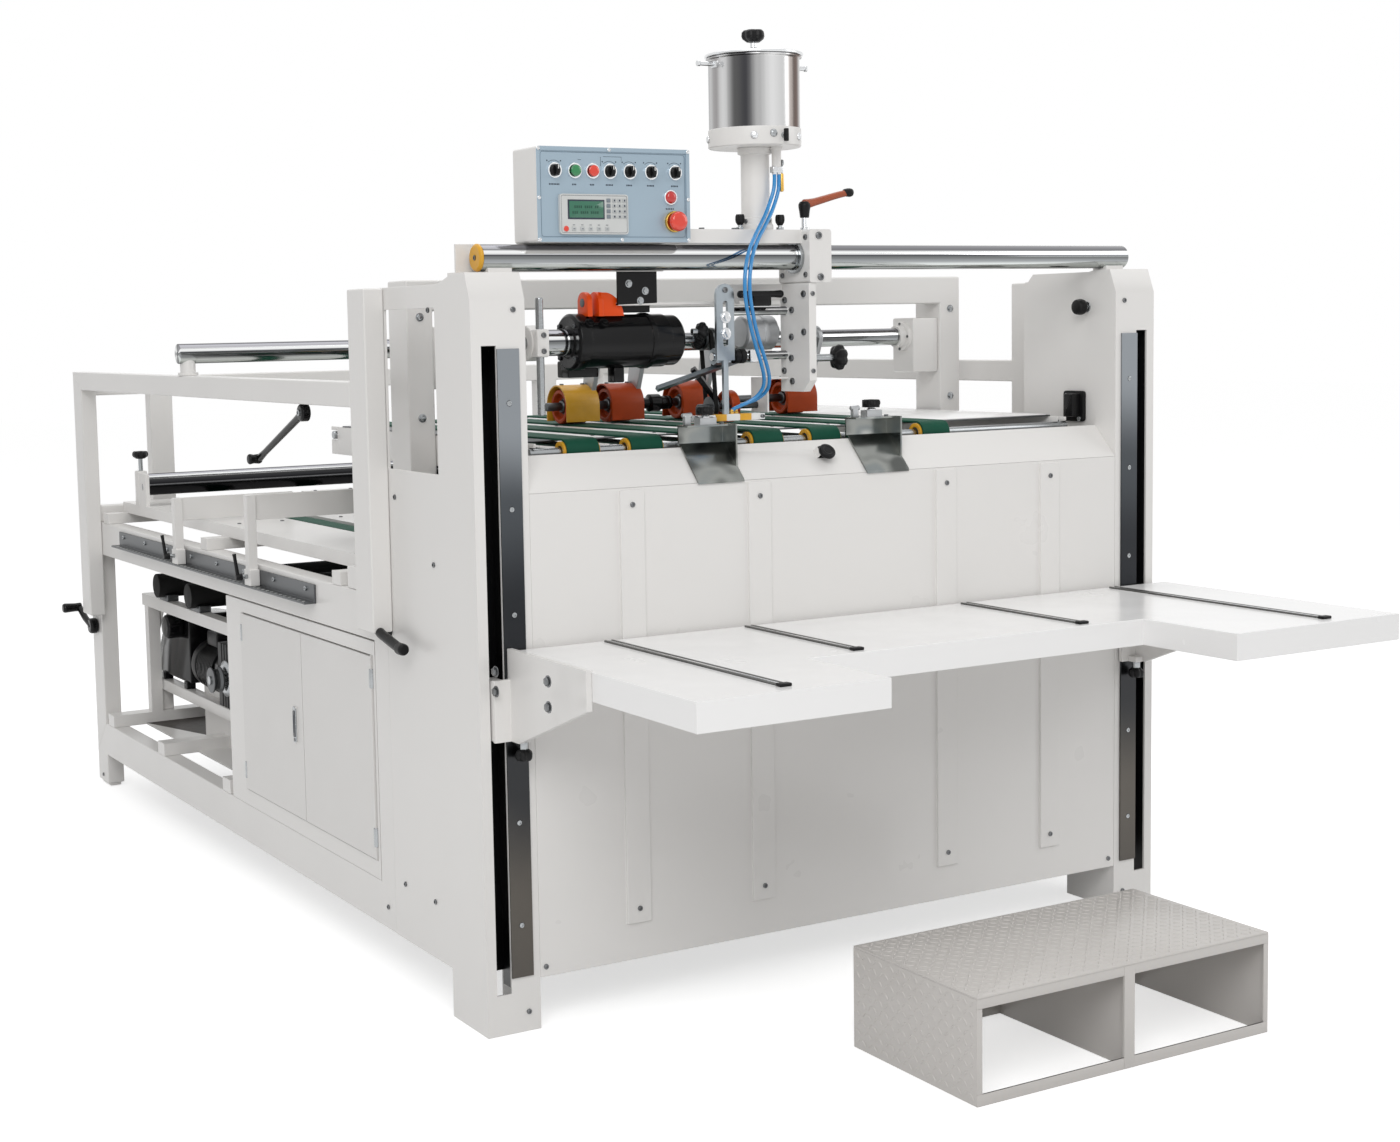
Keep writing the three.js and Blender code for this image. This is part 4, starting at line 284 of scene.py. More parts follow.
def tube(path, radius, sides=12, up=(0, 0, 1)):
    """A round section carried along a path. The section stands square to the path, with one axis
    kept level to up."""
    path = np.asarray(path, float)
    radius = np.broadcast_to(np.asarray(radius, float), (len(path),))[:, None, None]
    along = np.gradient(path, axis=0)
    along = along / np.linalg.norm(along, axis=1, keepdims=True)
    side = np.cross(along, np.asarray(up, float))
    side = side / np.linalg.norm(side, axis=1, keepdims=True)
    over = np.cross(side, along)
    angle = np.linspace(0, 2 * math.pi, sides, endpoint=False)[None, :, None]
    return grid(path[:, None] + radius * (np.cos(angle) * side[:, None] + np.sin(angle) * over[:, None]))


def belt_band(axis, centres, radii, width, thickness, steps=16):
    """A flat belt round two pulleys. Its outer and inner loops are the half circles and the
    straight runs between."""
    first, second = np.asarray(centres[0], float), np.asarray(centres[1], float)
    way = math.atan2(second[1] - first[1], second[0] - first[0])
    lean = math.acos((radii[0] - radii[1]) / np.linalg.norm(second - first))

    def loop(extra):
        far = disc_outline(second, radii[1] + extra, steps, way - lean, way + lean)
        near = disc_outline(first, radii[0] + extra, steps, way + lean, way + 2 * math.pi - lean)
        return np.vstack([far, near])

    outer, inner = loop(thickness), loop(0)
    ease = min(FINE_EDGE, thickness / 4)
    section = [(outer, width[0] + ease), (outer, width[1] - ease), (outer + (inner - outer) * 0.25,
                                                                    width[1]), (inner, width[1]),
               (inner, width[0]), (outer + (inner - outer) * 0.25, width[0])]
    rows = np.stack([placed(axis, line[:, 0], line[:, 1], np.full(len(line), place)) for line,
                     place in section])
    return grid(rows, loop=True)


def screw_head(radius, height):
    """A cap screw round Z: a twelve sided head with a hexagonal socket, whose odd corners lie on
    the hexagon's flats."""
    socket = radius * 0.55
    profile = np.array([(0, -height * 0.2), (radius, -height * 0.2), (radius, height * 0.8),
                        (radius * 0.86, height), (socket, height), (socket, height * 0.35),
                        (0, height * 0.35)])
    angle = np.linspace(0, 2 * math.pi, 12, endpoint=False)[None]
    flat = np.where(np.arange(12) % 2, math.cos(math.pi / 6), 1.0)[None]
    hexed = np.isclose(profile[:, :1], socket)
    reach = profile[:, :1] * np.where(hexed, flat, 1.0)
    return grid(placed("z", reach * np.cos(angle), reach * np.sin(angle), profile[:, 1:]))


def screws(places, direction, radius=0.005, height=0.003):
    """Cap screws at many places, all facing one way."""
    return scattered(screw_head(radius, height).aimed(direction), places)


def bolts(places, direction, radius=0.007, height=0.006):
    """Hexagon bolts on round washers at many places, all facing one way."""
    washer = rod("z", (0, 0), radius * 1.35, 0, height * 0.25, 0.0002, 16)
    head = prism("z", disc_outline((0, 0), radius, 6), height * 0.2, height, radius * 0.1)
    return scattered((washer + head).aimed(direction), places)


# Finishes: node materials written as expressions

class Channel:
    """One shader socket. Arithmetic on it adds Math nodes to its finish."""

    def __init__(self, finish, socket):
        self.finish = finish
        self.socket = socket

    def math(self, operation, *others, clamp=False):
        return self.finish.add("ShaderNodeMath", {"operation": operation, "use_clamp": clamp},
                               dict(enumerate((self, *others))))

    def __add__(self, other):
        return self.math("ADD", other)

    __radd__ = __add__

    def __sub__(self, other):
        return self.math("SUBTRACT", other)

    def __rsub__(self, other):
        return self.finish.add("ShaderNodeMath", {"operation": "SUBTRACT"}, {0: other, 1: self})

    def __mul__(self, other):
        return self.math("MULTIPLY", other)

    __rmul__ = __mul__

    def __truediv__(self, other):
        return self.math("DIVIDE", other)

    def above(self, level, width=0.0005):
        """0 below the level and 1 above it, with a short slope between."""
        return ((self - level) / width).math("ADD", 0.5, clamp=True)

    def between(self, low, high, width=0.0005):
        return self.above(low, width) * (1 - self.above(high, width))


class Finish:
    """A Principled material under construction."""

    def __init__(self, name, colour=(0.8, 0.8, 0.8), roughness=0.5, metallic=0.0, coat=0.0, specular=0.5):
        self.material = bpy.data.materials.new(name)
        self.material.use_nodes = True
        self.nodes = self.material.node_tree.nodes
        self.links = self.material.node_tree.links
        self.shader = self.nodes["Principled BSDF"]
        self.colour = tuple(colour)
        self.feed("Base Color", (*self.colour, 1))
        self.feed("Roughness", roughness)
        self.feed("Metallic", metallic)
        self.feed("Coat Weight", coat)
        self.feed("Specular IOR Level", specular)
        self.material.diffuse_color = (*self.colour, 1)

    def plug(self, socket, value):
        """Links a channel to a socket, or sets the socket's own value."""
        if isinstance(value, Channel):
            self.links.new(value.socket, socket)
        else:
            socket.default_value = value

    def feed(self, name, value):
        self.plug(self.shader.inputs[name], value)
        return self

    def add(self, kind, settings=None, inputs=None, output=0):
        """A node of a type, with its settings first and then the values or links of its sockets."""
        node = self.nodes.new(kind)
        for setting, value in (settings or {}).items():
            setattr(node, setting, value)
        for socket, value in (inputs or {}).items():
            self.plug(node.inputs[socket], value)
        return Channel(self, node.outputs[output])

    def places(self):
        """Object coordinates."""
        return self.add("ShaderNodeTexCoord", output="Object")

    def axes(self):
        """The three object coordinates measured from the machine's corner."""
        spread = self.add("ShaderNodeSeparateXYZ", inputs={0: self.places()}).socket.node
        return [Channel(self, spread.outputs[i]) - float(CORNER[i]) for i in range(3)]

    def noise(self, scale, detail=2.0, stretch=(1, 1, 1), roughness=0.5):
        """Noise on the object's places, stretched along the axes."""
        mapped = self.add("ShaderNodeMapping", {}, {"Vector": self.places(), "Scale": stretch})
        return self.add("ShaderNodeTexNoise", {}, {"Vector": mapped, "Scale": scale, "Detail": detail,
                                                   "Roughness": roughness})

    def mix(self, factor, first, second):
        """A colour between two colours."""
        first = (*first, 1) if isinstance(first, tuple) and len(first) == 3 else first
        second = (*second, 1) if isinstance(second, tuple) and len(second) == 3 else second
        return self.add("ShaderNodeMix", {"data_type": "RGBA"}, {0: factor, 6: first, 7: second}, output=2)

    def ramp(self, factor, stops, interpolation="EASE"):
        """A colour ramp through (place, colour) stops."""
        ramp = self.add("ShaderNodeValToRGB", {}, {0: factor})
        scale = ramp.socket.node.color_ramp
        scale.interpolation = interpolation
        while len(scale.elements) < len(stops):
            scale.elements.new(0.5)
        for element, (place, colour) in zip(scale.elements, stops):
            element.position = place
            element.color = (*colour, 1) if len(colour) == 3 else colour
        return ramp

    def bump(self, height, distance, strength=1.0):
        self.feed("Normal", self.add("ShaderNodeBump", {}, {"Height": height, "Distance": distance,
                                                           "Strength": strength}))
        return self


def shade(colour, factor):
    """A colour made lighter or darker by a factor."""
    return tuple(min(1.0, max(0.0, part * factor)) for part in colour)


def painted(name, colour, roughness=0.34, depth=0.05):
    """Powder paint: slow tone changes, a fine orange peel and slightly uneven gloss."""
    finish = Finish(name, colour, roughness, coat=0.12)
    tone = finish.noise(1.6, 3)
    finish.feed("Base Color", finish.mix(tone, shade(colour, 1 - depth), shade(colour, 1 + depth * 0.3)))
    finish.feed("Roughness", finish.noise(7, 3) * 0.16 + (roughness - 0.08))
    return finish.bump(finish.noise(520, 1), 0.00012, 0.5)


def rolled_steel(name, colour, roughness, stretch, depth=0.16, distance=0.00006):
    """Ground or rolled metal: streaks drawn out along one axis, in tone, gloss and bump."""
    finish = Finish(name, colour, roughness, 1.0)
    streak = finish.noise(70, 4, stretch)
    cloud = finish.noise(6, 3)
    tone = streak * 0.6 + cloud * 0.4
    finish.feed("Base Color", finish.mix(tone, shade(colour, 1 - depth), shade(colour, 1 + depth)))
    finish.feed("Roughness", streak * 0.12 + cloud * 0.1 + (roughness - 0.1))
    return finish.bump(streak, distance, 0.4)


def painted_reflection_bands(name, axis, centre, stops, roughness=0.09, brushed=0.0):
    """Polished round metal with painted reflections: bright and dark streaks by the angle round the axis."""
    finish = Finish(name, stops[0][1], roughness, 1.0)
    x, y, z = finish.axes()
    across = {"x": (y, z), "y": (x, z), "z": (x, y)}[axis]
    turn = (across[1] - centre[1]).math("ARCTAN2", across[0] - centre[0]) / (2 * math.pi) + 0.5
    along = {"x": (0.4, 60, 60), "y": (60, 0.4, 60), "z": (60, 60, 0.4)}[axis]
    wander = finish.noise(1.5, 2, along) * 0.02 - 0.01
    # Painted reflection: the base colour is bright or dark by the angle round the axis.
    finish.feed("Base Color", finish.ramp(turn + wander, stops))
    finish.feed("Roughness", finish.noise(12, 3) * 0.06 + (roughness - 0.02))
    if brushed:
        finish.bump(finish.noise(90, 3, along), brushed, 0.5)
    return finish


def moulded(name, colour, roughness=0.42, grain=900, distance=0.00012, coat=0.0, depth=0.2, specular=0.4):
    """Moulded plastic or rubber: an even tone with a fine skin."""
    finish = Finish(name, colour, roughness, coat=coat, specular=specular)
    tone = finish.noise(24, 3)
    finish.feed("Base Color", finish.mix(tone, shade(colour, 1 - depth), shade(colour, 1 + depth)))
    finish.feed("Roughness", finish.noise(40, 2) * 0.14 + (roughness - 0.07))
    return finish.bump(finish.noise(grain, 2), distance, 0.6)


# Axes of the round pieces along X, as (Y, Z)
MOTOR_AXIS = (0.150, 1.361)
FORK_ROD = (0.100, 1.324)
UPPER_ROD = (0.100, 1.418)
GUIDE_BAR = (0.082, 1.098)
ROLLER = (2.390, 0.946)
ROLLER_BAR = (2.440, 0.968)
CHROME_AXES = {"main_rod_chrome": (0.060, 1.529), "stiffener_chrome": (1.650, 1.343),
               "press_rod_chrome": (0.610, 1.352), "motor_collar_chrome": MOTOR_AXIS,
               "fork_rod_chrome": FORK_ROD, "upper_rod_chrome": UPPER_ROD, "guide_bar_chrome": GUIDE_BAR,
               "roller_bar_chrome": ROLLER_BAR,}

FINISHES = {}


def finish(name):
    """The material of that name, made when it is first asked for."""
    if name not in FINISHES:
        FINISHES[name] = FINISH_MAKERS[name](name).material
    return FINISHES[name]


def paints():
    """The colours set in the panel."""
    return bpy.context.scene.gluer_paints


def sizes():
    """The sizes set in the panel."""
    return bpy.context.scene.gluer_sizes


# Painted reflections of the chrome bars: bright and dark streaks of base colour by angle round each bar.
CHROME_REFLECTION_STOPS = [(0.0, (0.19, 0.20, 0.20)), (0.05, (0.26, 0.27, 0.28)), (0.1, (0.60, 0.63, 0.62)),
                (0.15, (0.50, 0.53, 0.51)), (0.2, (0.11, 0.12, 0.12)), (0.25, (0.05, 0.05, 0.05)),
                (0.32, (0.30, 0.31, 0.31)), (0.4, (0.62, 0.63, 0.63)), (0.5, (0.16, 0.17, 0.17)),
                (0.6, (0.72, 0.73, 0.73)), (0.7, (0.35, 0.36, 0.36)), (0.76, (0.045, 0.045, 0.05)),
                (0.8, (0.13, 0.13, 0.14)), (0.85, (0.24, 0.24, 0.26)), (0.9, (0.20, 0.20, 0.21)),
                (0.935, (0.92, 0.93, 0.93)), (0.96, (0.75, 0.76, 0.76)), (0.975, (0.06, 0.06, 0.07)),
                (1.0, (0.19, 0.20, 0.20)),]
# Painted reflections of the glue pot: bright and dark streaks by angle round its axis.
POT_REFLECTION_STOPS = [(0.0, (0.32, 0.31, 0.31)), (0.04, (0.62, 0.62, 0.62)), (0.09, (0.10, 0.10, 0.10)),
             (0.13, (0.055, 0.055, 0.06)), (0.17, (0.42, 0.42, 0.42)), (0.22, (0.72, 0.72, 0.72)),
             (0.27, (0.60, 0.60, 0.60)), (0.305, (0.16, 0.14, 0.13)), (0.345, (0.11, 0.065, 0.05)),
             (0.375, (0.44, 0.42, 0.41)), (0.42, (0.12, 0.12, 0.12)), (0.5, (0.66, 0.66, 0.66)),
             (0.6, (0.20, 0.20, 0.20)), (0.7, (0.74, 0.74, 0.74)), (0.8, (0.28, 0.28, 0.28)),
             (0.88, (0.60, 0.60, 0.60)), (0.93, (0.14, 0.14, 0.15)), (0.96, (0.46, 0.46, 0.46)),
             (1.0, (0.32, 0.31, 0.31)),]
# Painted highlights of the black roller: thin light streaks by angle round its axis.
ROLLER_HIGHLIGHT_STOPS = [(0.0, (0.015, 0.015, 0.016)), (0.2, (0.03, 0.03, 0.032)), (0.5, (0.02, 0.02, 0.02)),
                (0.70, (0.05, 0.05, 0.052)), (0.76, (0.42, 0.42, 0.43)), (0.79, (0.06, 0.06, 0.06)),
                (0.86, (0.012, 0.012, 0.013)), (0.93, (0.010, 0.010, 0.011)), (0.955, (0.16, 0.16, 0.165)),
                (0.975, (0.012, 0.012, 0.013)), (1.0, (0.015, 0.015, 0.016)),]


def rod_chrome(name):
    """Chrome of a bar that lies along X, with painted reflections."""
    return painted_reflection_bands(name, "x", CHROME_AXES[name], CHROME_REFLECTION_STOPS)


def column_paint(name):
    """White paint with painted shade: near black on the inner walls behind each column's slot."""
    made = painted(name, tuple(paints().body))
    x, y, z = made.axes()
    wall = COLUMN_WALL / 2
    width = Extent("left_column").size[0]
    hollow = x.between(wall, width - wall) + x.between(MACHINE_WIDTH - width + wall, MACHINE_WIDTH - wall)
    # Painted shade: the hollow behind the slot is made near black, up to 1.362 m.
    inside = hollow * y.between(COLUMN_WALL * 0.9, SLOT_DEPTH, 0.002) * z.between(0.05, 1.362)
    paint = Channel(made, made.shader.inputs["Base Color"].links[0].from_socket)
    return made.feed("Base Color", made.mix(inside, paint, (0.012, 0.012, 0.013)))


def slide_rail_steel(name):
    """Ground steel of the slide rails: blue grey, upright grinding marks, and painted light by height, dark in
    the middle with a painted highlight at the top.
    """
    made = rolled_steel(name, (0.10, 0.11, 0.12), 0.3, (14, 14, 0.5), 0.2)
    height = made.axes()[2] / 1.4
    painted_light_height = height + made.noise(3, 2, (1, 1, 0.4)) * 0.16
    # Painted light and shade: the tone follows the height and is lightest at the top.
    tone = made.ramp(painted_light_height, [(0.0, (0.07, 0.065, 0.06)), (0.3, (0.10, 0.092, 0.082)),
                            (0.45, (0.04, 0.041, 0.043)), (0.7, (0.035, 0.037, 0.041)),
                            (0.84, (0.075, 0.082, 0.09)), (0.97, (0.26, 0.28, 0.30))])
    return made.feed("Base Color", tone)


def guide_steel(name):
    """Polished sheet of the guides: grey green, with painted reflections as soft light and dark clouds."""
    made = Finish(name, (0.30, 0.31, 0.295), 0.18, 1.0)
    cloud = made.noise(9, 1.5, (1, 1, 1.6))
    # Painted reflections: clouds of light and dark base colour.
    made.feed("Base Color", made.ramp(cloud, [(0.34, (0.11, 0.115, 0.11)), (0.46, (0.30, 0.31, 0.295)),
                                              (0.55, (0.24, 0.26, 0.26)), (0.68, (0.46, 0.47, 0.45))]))
    made.feed("Roughness", made.noise(20, 3) * 0.08 + 0.14)
    return made


def belt_rubber(name):
    """Green belt cover with a fine cross weave."""
    colour = tuple(paints().belt)
    made = Finish(name, colour, 0.6, specular=0.2)
    x, y = made.axes()[:2]
    weave = (x * 2600).math("SINE") * (y * 2600).math("SINE")
    made.feed("Base Color", made.mix(made.noise(9, 3), shade(colour, 0.75), shade(colour, 1.2)))
    made.feed("Roughness", made.noise(30, 3) * 0.2 + 0.5)
    return made.bump(weave, 0.0002, 0.5)


def hose_plastic(name):
    """Blue hose of clear tinted plastic: glossy, with slow tone changes along its run."""
    colour = tuple(paints().hose)
    made = Finish(name, colour, 0.22, coat=0.5)
    made.feed("Base Color", made.mix(made.noise(14, 2), shade(colour, 0.8), shade(colour, 1.25)))
    return made


def panel_enamel(name):
    """Blue grey face of the control box: satin enamel with fine vertical brushing."""
    colour = tuple(paints().panel)
    made = Finish(name, colour, 0.36, 0.25)
    made.feed("Base Color", made.mix(made.noise(5, 3), shade(colour, 0.93), shade(colour, 1.05)))
    return made.bump(made.noise(260, 2, (6, 1, 0.3)), 0.00008, 0.4)


def cast_grey(name):
    """Cast metal: a mottled grey with a coarse grain."""
    colour = (0.42, 0.43, 0.44)
    made = Finish(name, colour, 0.42, 0.7)
    made.feed("Base Color", made.mix(made.noise(18, 4), shade(colour, 0.8), shade(colour, 1.2)))
    return made.bump(made.noise(240, 3), 0.0003, 0.5)


def lit_glass(name, colour, roughness=0.12):
    """Coloured lens: glossy, a little lighter towards its middle tone."""
    made = Finish(name, colour, roughness, coat=0.6)
    made.feed("Base Color", made.mix(made.noise(60, 2), shade(colour, 0.9), shade(colour, 1.1)))
    return made


FINISH_MAKERS = {
    "white_paint": lambda name: painted(name, tuple(paints().body)),
    "column_paint": column_paint,
    "panel_paint": lambda name: painted(name, tuple(paints().body), 0.3, 0.035),
    "table_paint": lambda name: painted(name, tuple(paints().table), 0.24, 0.025),
    "step_paint": lambda name: painted(name, (0.60, 0.575, 0.55), 0.36, 0.06),
    "slide_rail_steel": slide_rail_steel,
    **dict.fromkeys(CHROME_AXES, rod_chrome),
    # Pot steel with painted reflections round its axis.
    "pot_steel": lambda name: painted_reflection_bands(name, "z", POT, POT_REFLECTION_STOPS, 0.14, 0.00004),
    "bright_steel": lambda name: rolled_steel(name, (0.66, 0.67, 0.68), 0.2, (4, 4, 1), 0.12),
    "zinc": lambda name: rolled_steel(name, (0.36, 0.375, 0.385), 0.24, (1, 1, 3), 0.2),
    "guide_steel": guide_steel,
    "screw_steel": lambda name: rolled_steel(name, (0.17, 0.175, 0.18), 0.3, (1, 1, 1), 0.2),
    "dark_steel": lambda name: rolled_steel(name, (0.12, 0.125, 0.13), 0.38, (2, 2, 2), 0.3),
    "cast_grey": cast_grey,
    "door_paint": lambda name: painted(name, shade(tuple(paints().body), 0.94), 0.4, 0.04),
    "strip_steel": lambda name: rolled_steel(name, (0.16, 0.16, 0.155), 0.34, (1, 0.1, 1), 0.3),
    "fork_steel": lambda name: rolled_steel(name, (0.36, 0.40, 0.43), 0.3, (2, 2, 0.4), 0.2),
    "lid_steel": lambda name: rolled_steel(name, (0.74, 0.75, 0.76), 0.16, (1, 1, 1), 0.08),
    "bezel_chrome": lambda name: rolled_steel(name, (0.86, 0.87, 0.88), 0.12, (1, 1, 1), 0.06),
    "black_enamel": lambda name: moulded(name, (0.004, 0.004, 0.0045), 0.17, 300, 0.00008, specular=0.22),
    "black_plastic": lambda name: moulded(name, (0.006, 0.006, 0.0065), 0.38, specular=0.2),
    "black_rubber": lambda name: moulded(name, (0.008, 0.008, 0.008), 0.55, specular=0.15),
    "belt_rubber": belt_rubber,
    "wheel_orange": lambda name: moulded(name, tuple(paints().orange), 0.36, 500, 0.0002, specular=0.25),
    "wheel_yellow": lambda name: moulded(name, tuple(paints().yellow), 0.38, 500, 0.0002, 0.2),
    "guard_orange": lambda name: moulded(name, (0.80, 0.075, 0.004), 0.34, 500, 0.0002, 0.1, 0.08, 0.25),
    "hose_plastic": hose_plastic,
    "brass": lambda name: rolled_steel(name, (0.62, 0.38, 0.09), 0.26, (1, 1, 2), 0.15),
    # Black roller with painted highlights round its axis.
    "roller_black": lambda name: painted_reflection_bands(name, "x", ROLLER, ROLLER_HIGHLIGHT_STOPS, 0.2),
    "panel_enamel": panel_enamel,
    "button_green": lambda name: lit_glass(name, (0.006, 0.22, 0.06)),
    "button_red": lambda name: lit_glass(name, (0.75, 0.035, 0.01)),
    "lamp_red": lambda name: lit_glass(name, (0.55, 0.012, 0.008)),
    "screen_green": lambda name: lit_glass(name, (0.012, 0.14, 0.075), 0.2),
    "display_case": lambda name: moulded(name, (0.62, 0.63, 0.62), 0.4, 600, 0.0001, 0.0, 0.05),
    "key_grey": lambda name: moulded(name, (0.22, 0.25, 0.28), 0.45),
    "key_light": lambda name: moulded(name, (0.50, 0.52, 0.52), 0.45, depth=0.05),
    "tray_brown": lambda name: moulded(name, (0.055, 0.048, 0.042), 0.5, 300, specular=0.25),
    "panel_line": lambda name: moulded(name, (0.16, 0.22, 0.28), 0.5),
    "screen_dark": lambda name: moulded(name, (0.006, 0.06, 0.035), 0.3),
    "lever_orange": lambda name: moulded(name, (0.34, 0.07, 0.022), 0.4, 500, 0.0002, 0.1),
    "mark_dark": lambda name: moulded(name, (0.02, 0.03, 0.05), 0.5),
    "mark_white": lambda name: moulded(name, (0.8, 0.8, 0.78), 0.5, depth=0.05),
}


# Pieces: a mesh, its finish, its body and what it stands for

def body_of(node):
    """The body that a CAD node rides on."""
    return frame["nodes"][node]["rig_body"]


def tidy(mesh, distance, flatten=False):
    """Merges doubled points, turns faces outwards and, for CAD copies, joins faces that lie in one
    plane."""
    work = bmesh.new()
    work.from_mesh(mesh)
    bmesh.ops.remove_doubles(work, verts=work.verts, dist=distance)
    if flatten:
        bmesh.ops.dissolve_limit(work, angle_limit=math.radians(0.6), verts=work.verts, edges=work.edges)
        bmesh.ops.connect_verts_concave(work, faces=work.faces)
    else:
        bmesh.ops.dissolve_degenerate(work, edges=work.edges, dist=distance)
    bmesh.ops.recalc_face_normals(work, faces=work.faces)
    work.to_mesh(mesh)
    work.free()


def settle(obj, node, replaces):
    """Puts a piece on its node's body, and hides the node when the piece replaces it."""
    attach(obj, body_of(node))
    if replaces:
        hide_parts(node)
    return obj


def piece(name, skin, look, node, replaces=False, sharp=SHARP_ANGLE):
    """A mesh object from a skin in machine places, smooth but for edges sharper than the limit."""
    mesh = bpy.data.meshes.new(name)
    faces = [face for group in skin.faces for face in group.tolist()]
    mesh.from_pydata((skin.points + CORNER).tolist(), [], faces)
    tidy(mesh, 1e-6)
    mesh.shade_smooth()
    mesh.set_sharp_from_angle(angle=sharp)
    mesh.materials.append(finish(look))
    obj = bpy.data.objects.new(name, mesh)
    bpy.context.scene.collection.objects.link(obj)
    return settle(obj, node, replaces)


def softened(node, look, edge=None, regions=(), name=None):
    """A copy of a CAD node with merged faces and a live bevel. Each region is a finish and a test of face
    centres (in machine places) and normals that says which faces take it."""
    mesh = frame["nodes"][node].data.copy()
    mesh.materials.clear()
    tidy(mesh, 2e-6, flatten=True)
    mesh.shade_smooth()
    mesh.materials.append(finish(look))
    centres = np.zeros(len(mesh.polygons) * 3)
    normals = np.zeros(len(mesh.polygons) * 3)
    mesh.polygons.foreach_get("center", centres)
    mesh.polygons.foreach_get("normal", normals)
    centres = centres.reshape(-1, 3) - CORNER
    normals = normals.reshape(-1, 3)
    index = np.zeros(len(mesh.polygons), int)
    for number, (other, test) in enumerate(regions, 1):
        mesh.materials.append(finish(other))
        index[test(centres, normals)] = number
    mesh.polygons.foreach_set("material_index", index)
    obj = bpy.data.objects.new(name or node + "_shell", mesh)
    bpy.context.scene.collection.objects.link(obj)
    bevel = obj.modifiers.new("Edges", "BEVEL")
    bevel.width = edge or sizes().sheet_edge
    bevel.segments = 2
    bevel.limit_method = "ANGLE"
    bevel.angle_limit = math.radians(30)
    bevel.use_clamp_overlap = True
    weighted = obj.modifiers.new("Shading", "WEIGHTED_NORMAL")
    weighted.weight = 100
    weighted.keep_sharp = True
    return settle(obj, node, True)


# Sizes and colours that a user would change

def length(name, description, default, low, high):
    return FloatProperty(name=name, description=description, default=default, min=low, max=high,
                         unit="LENGTH")


def colour(name, description, default):
    return FloatVectorProperty(name=name, description=description, subtype="COLOR", default=default, min=0,
                               max=1)


class GluerSizes(bpy.types.PropertyGroup):
    """Edge and hose sizes of the folder gluer."""
    sheet_edge: length("Sheet edge", "Rounding of folded and cut sheet edges", 0.0016, 0.0002, 0.004)
    tube_edge: length("Tube edge", "Outer rounding of the square frame tubes", 0.004, 0.0005, 0.008)
    hose_diameter: length("Hose diameter", "Outer diameter of both glue hoses", 0.008, 0.004, 0.012)
    screw_radius: length("Screw radius", "Head radius of the small cover screws", 0.0055, 0.002, 0.01)


class GluerPaints(bpy.types.PropertyGroup):
    """Colours of the folder gluer, as linear values."""
    body: colour("Body", "Powder paint of the frame", (0.80, 0.785, 0.765))
    table: colour("Table", "Paint of the lift table", (0.92, 0.915, 0.91))
    panel: colour("Panel", "Face of the control box", (0.36, 0.46, 0.54))
    belt: colour("Belt", "Feed belts", (0.002, 0.062, 0.035))
    orange: colour("Orange", "Press wheels and their housings", (0.42, 0.050, 0.004))
    yellow: colour("Yellow", "Pulleys and the rod's cap", (0.70, 0.36, 0.018))
    hose: colour("Hose", "Glue hoses", (0.012, 0.235, 0.56))


# Camera, light and floor

CAMERA_PLACE = (-1.689515, -3.518950, 1.391570)
CAMERA_YAW = math.radians(29.30740)
CAMERA_PITCH = math.radians(5.41010)
CAMERA_ROLL = math.radians(1.14860)
PHOTO_WIDTH, PHOTO_HEIGHT = 1400, 1142
FOCAL_PIXELS = 2037.2613
AXIS_PIXEL = (604.767, 519.592)
WORLD_FILL = 0.52
FLOOR_TONE = (0.80, 0.80, 0.80, 1)
FLOOR_GLOW = 0.58
FLOOR_REACH = 30.0
FLOOR_DROP = 0.0004
LAMP_TARGET = (0, -0.2, 0.9)


def photo_camera():
    """A camera with the photograph's axes: yaw about Z, then pitch down, then a small roll."""
    data = bpy.data.cameras.new("photo_camera")
    data.sensor_width = 36
    data.lens = FOCAL_PIXELS * data.sensor_width / PHOTO_WIDTH
    data.shift_x = (PHOTO_WIDTH / 2 - AXIS_PIXEL[0]) / PHOTO_WIDTH
    data.shift_y = (AXIS_PIXEL[1] - PHOTO_HEIGHT / 2) / PHOTO_WIDTH
    data.clip_end = 200
    forward = Vector((math.sin(CAMERA_YAW) * math.cos(CAMERA_PITCH),
                      math.cos(CAMERA_YAW) * math.cos(CAMERA_PITCH), -math.sin(CAMERA_PITCH)))
    level = Vector((math.cos(CAMERA_YAW), -math.sin(CAMERA_YAW), 0))
    down = forward.cross(level)
    right = level * math.cos(CAMERA_ROLL) + down * math.sin(CAMERA_ROLL)
    below = down * math.cos(CAMERA_ROLL) - level * math.sin(CAMERA_ROLL)
    camera = bpy.data.objects.new("photo_camera", data)
    bpy.context.scene.collection.objects.link(camera)
    camera.matrix_world = Matrix((right, -below, -forward)).transposed().to_4x4()
    camera.location = Vector(CORNER + np.array(CAMERA_PLACE))
    bpy.context.scene.camera = camera


def soft_lamp(name, place, target, size, power):
    """A square area lamp that faces its target."""
    data = bpy.data.lights.new(name, "AREA")
    data.size = size
    data.energy = power
    lamp = bpy.data.objects.new(name, data)
    bpy.context.scene.collection.objects.link(lamp)
    lamp.location = place
    lamp.rotation_euler = (Vector(target) - Vector(place)).to_track_quat("-Z", "Y").to_euler()


def seen_rays(tree):
    """1 for camera, mirror and glass rays, and 0 for the rays that carry light to dull surfaces."""
    nodes, links = tree.nodes, tree.links
    paths = nodes.new("ShaderNodeLightPath")
    total = paths.outputs["Is Camera Ray"]
    for name in ("Is Glossy Ray", "Is Transmission Ray"):
        add = nodes.new("ShaderNodeMath")
        add.use_clamp = True
        links.new(total, add.inputs[0])
        links.new(paths.outputs[name], add.inputs[1])
        total = add.outputs[0]
    return total


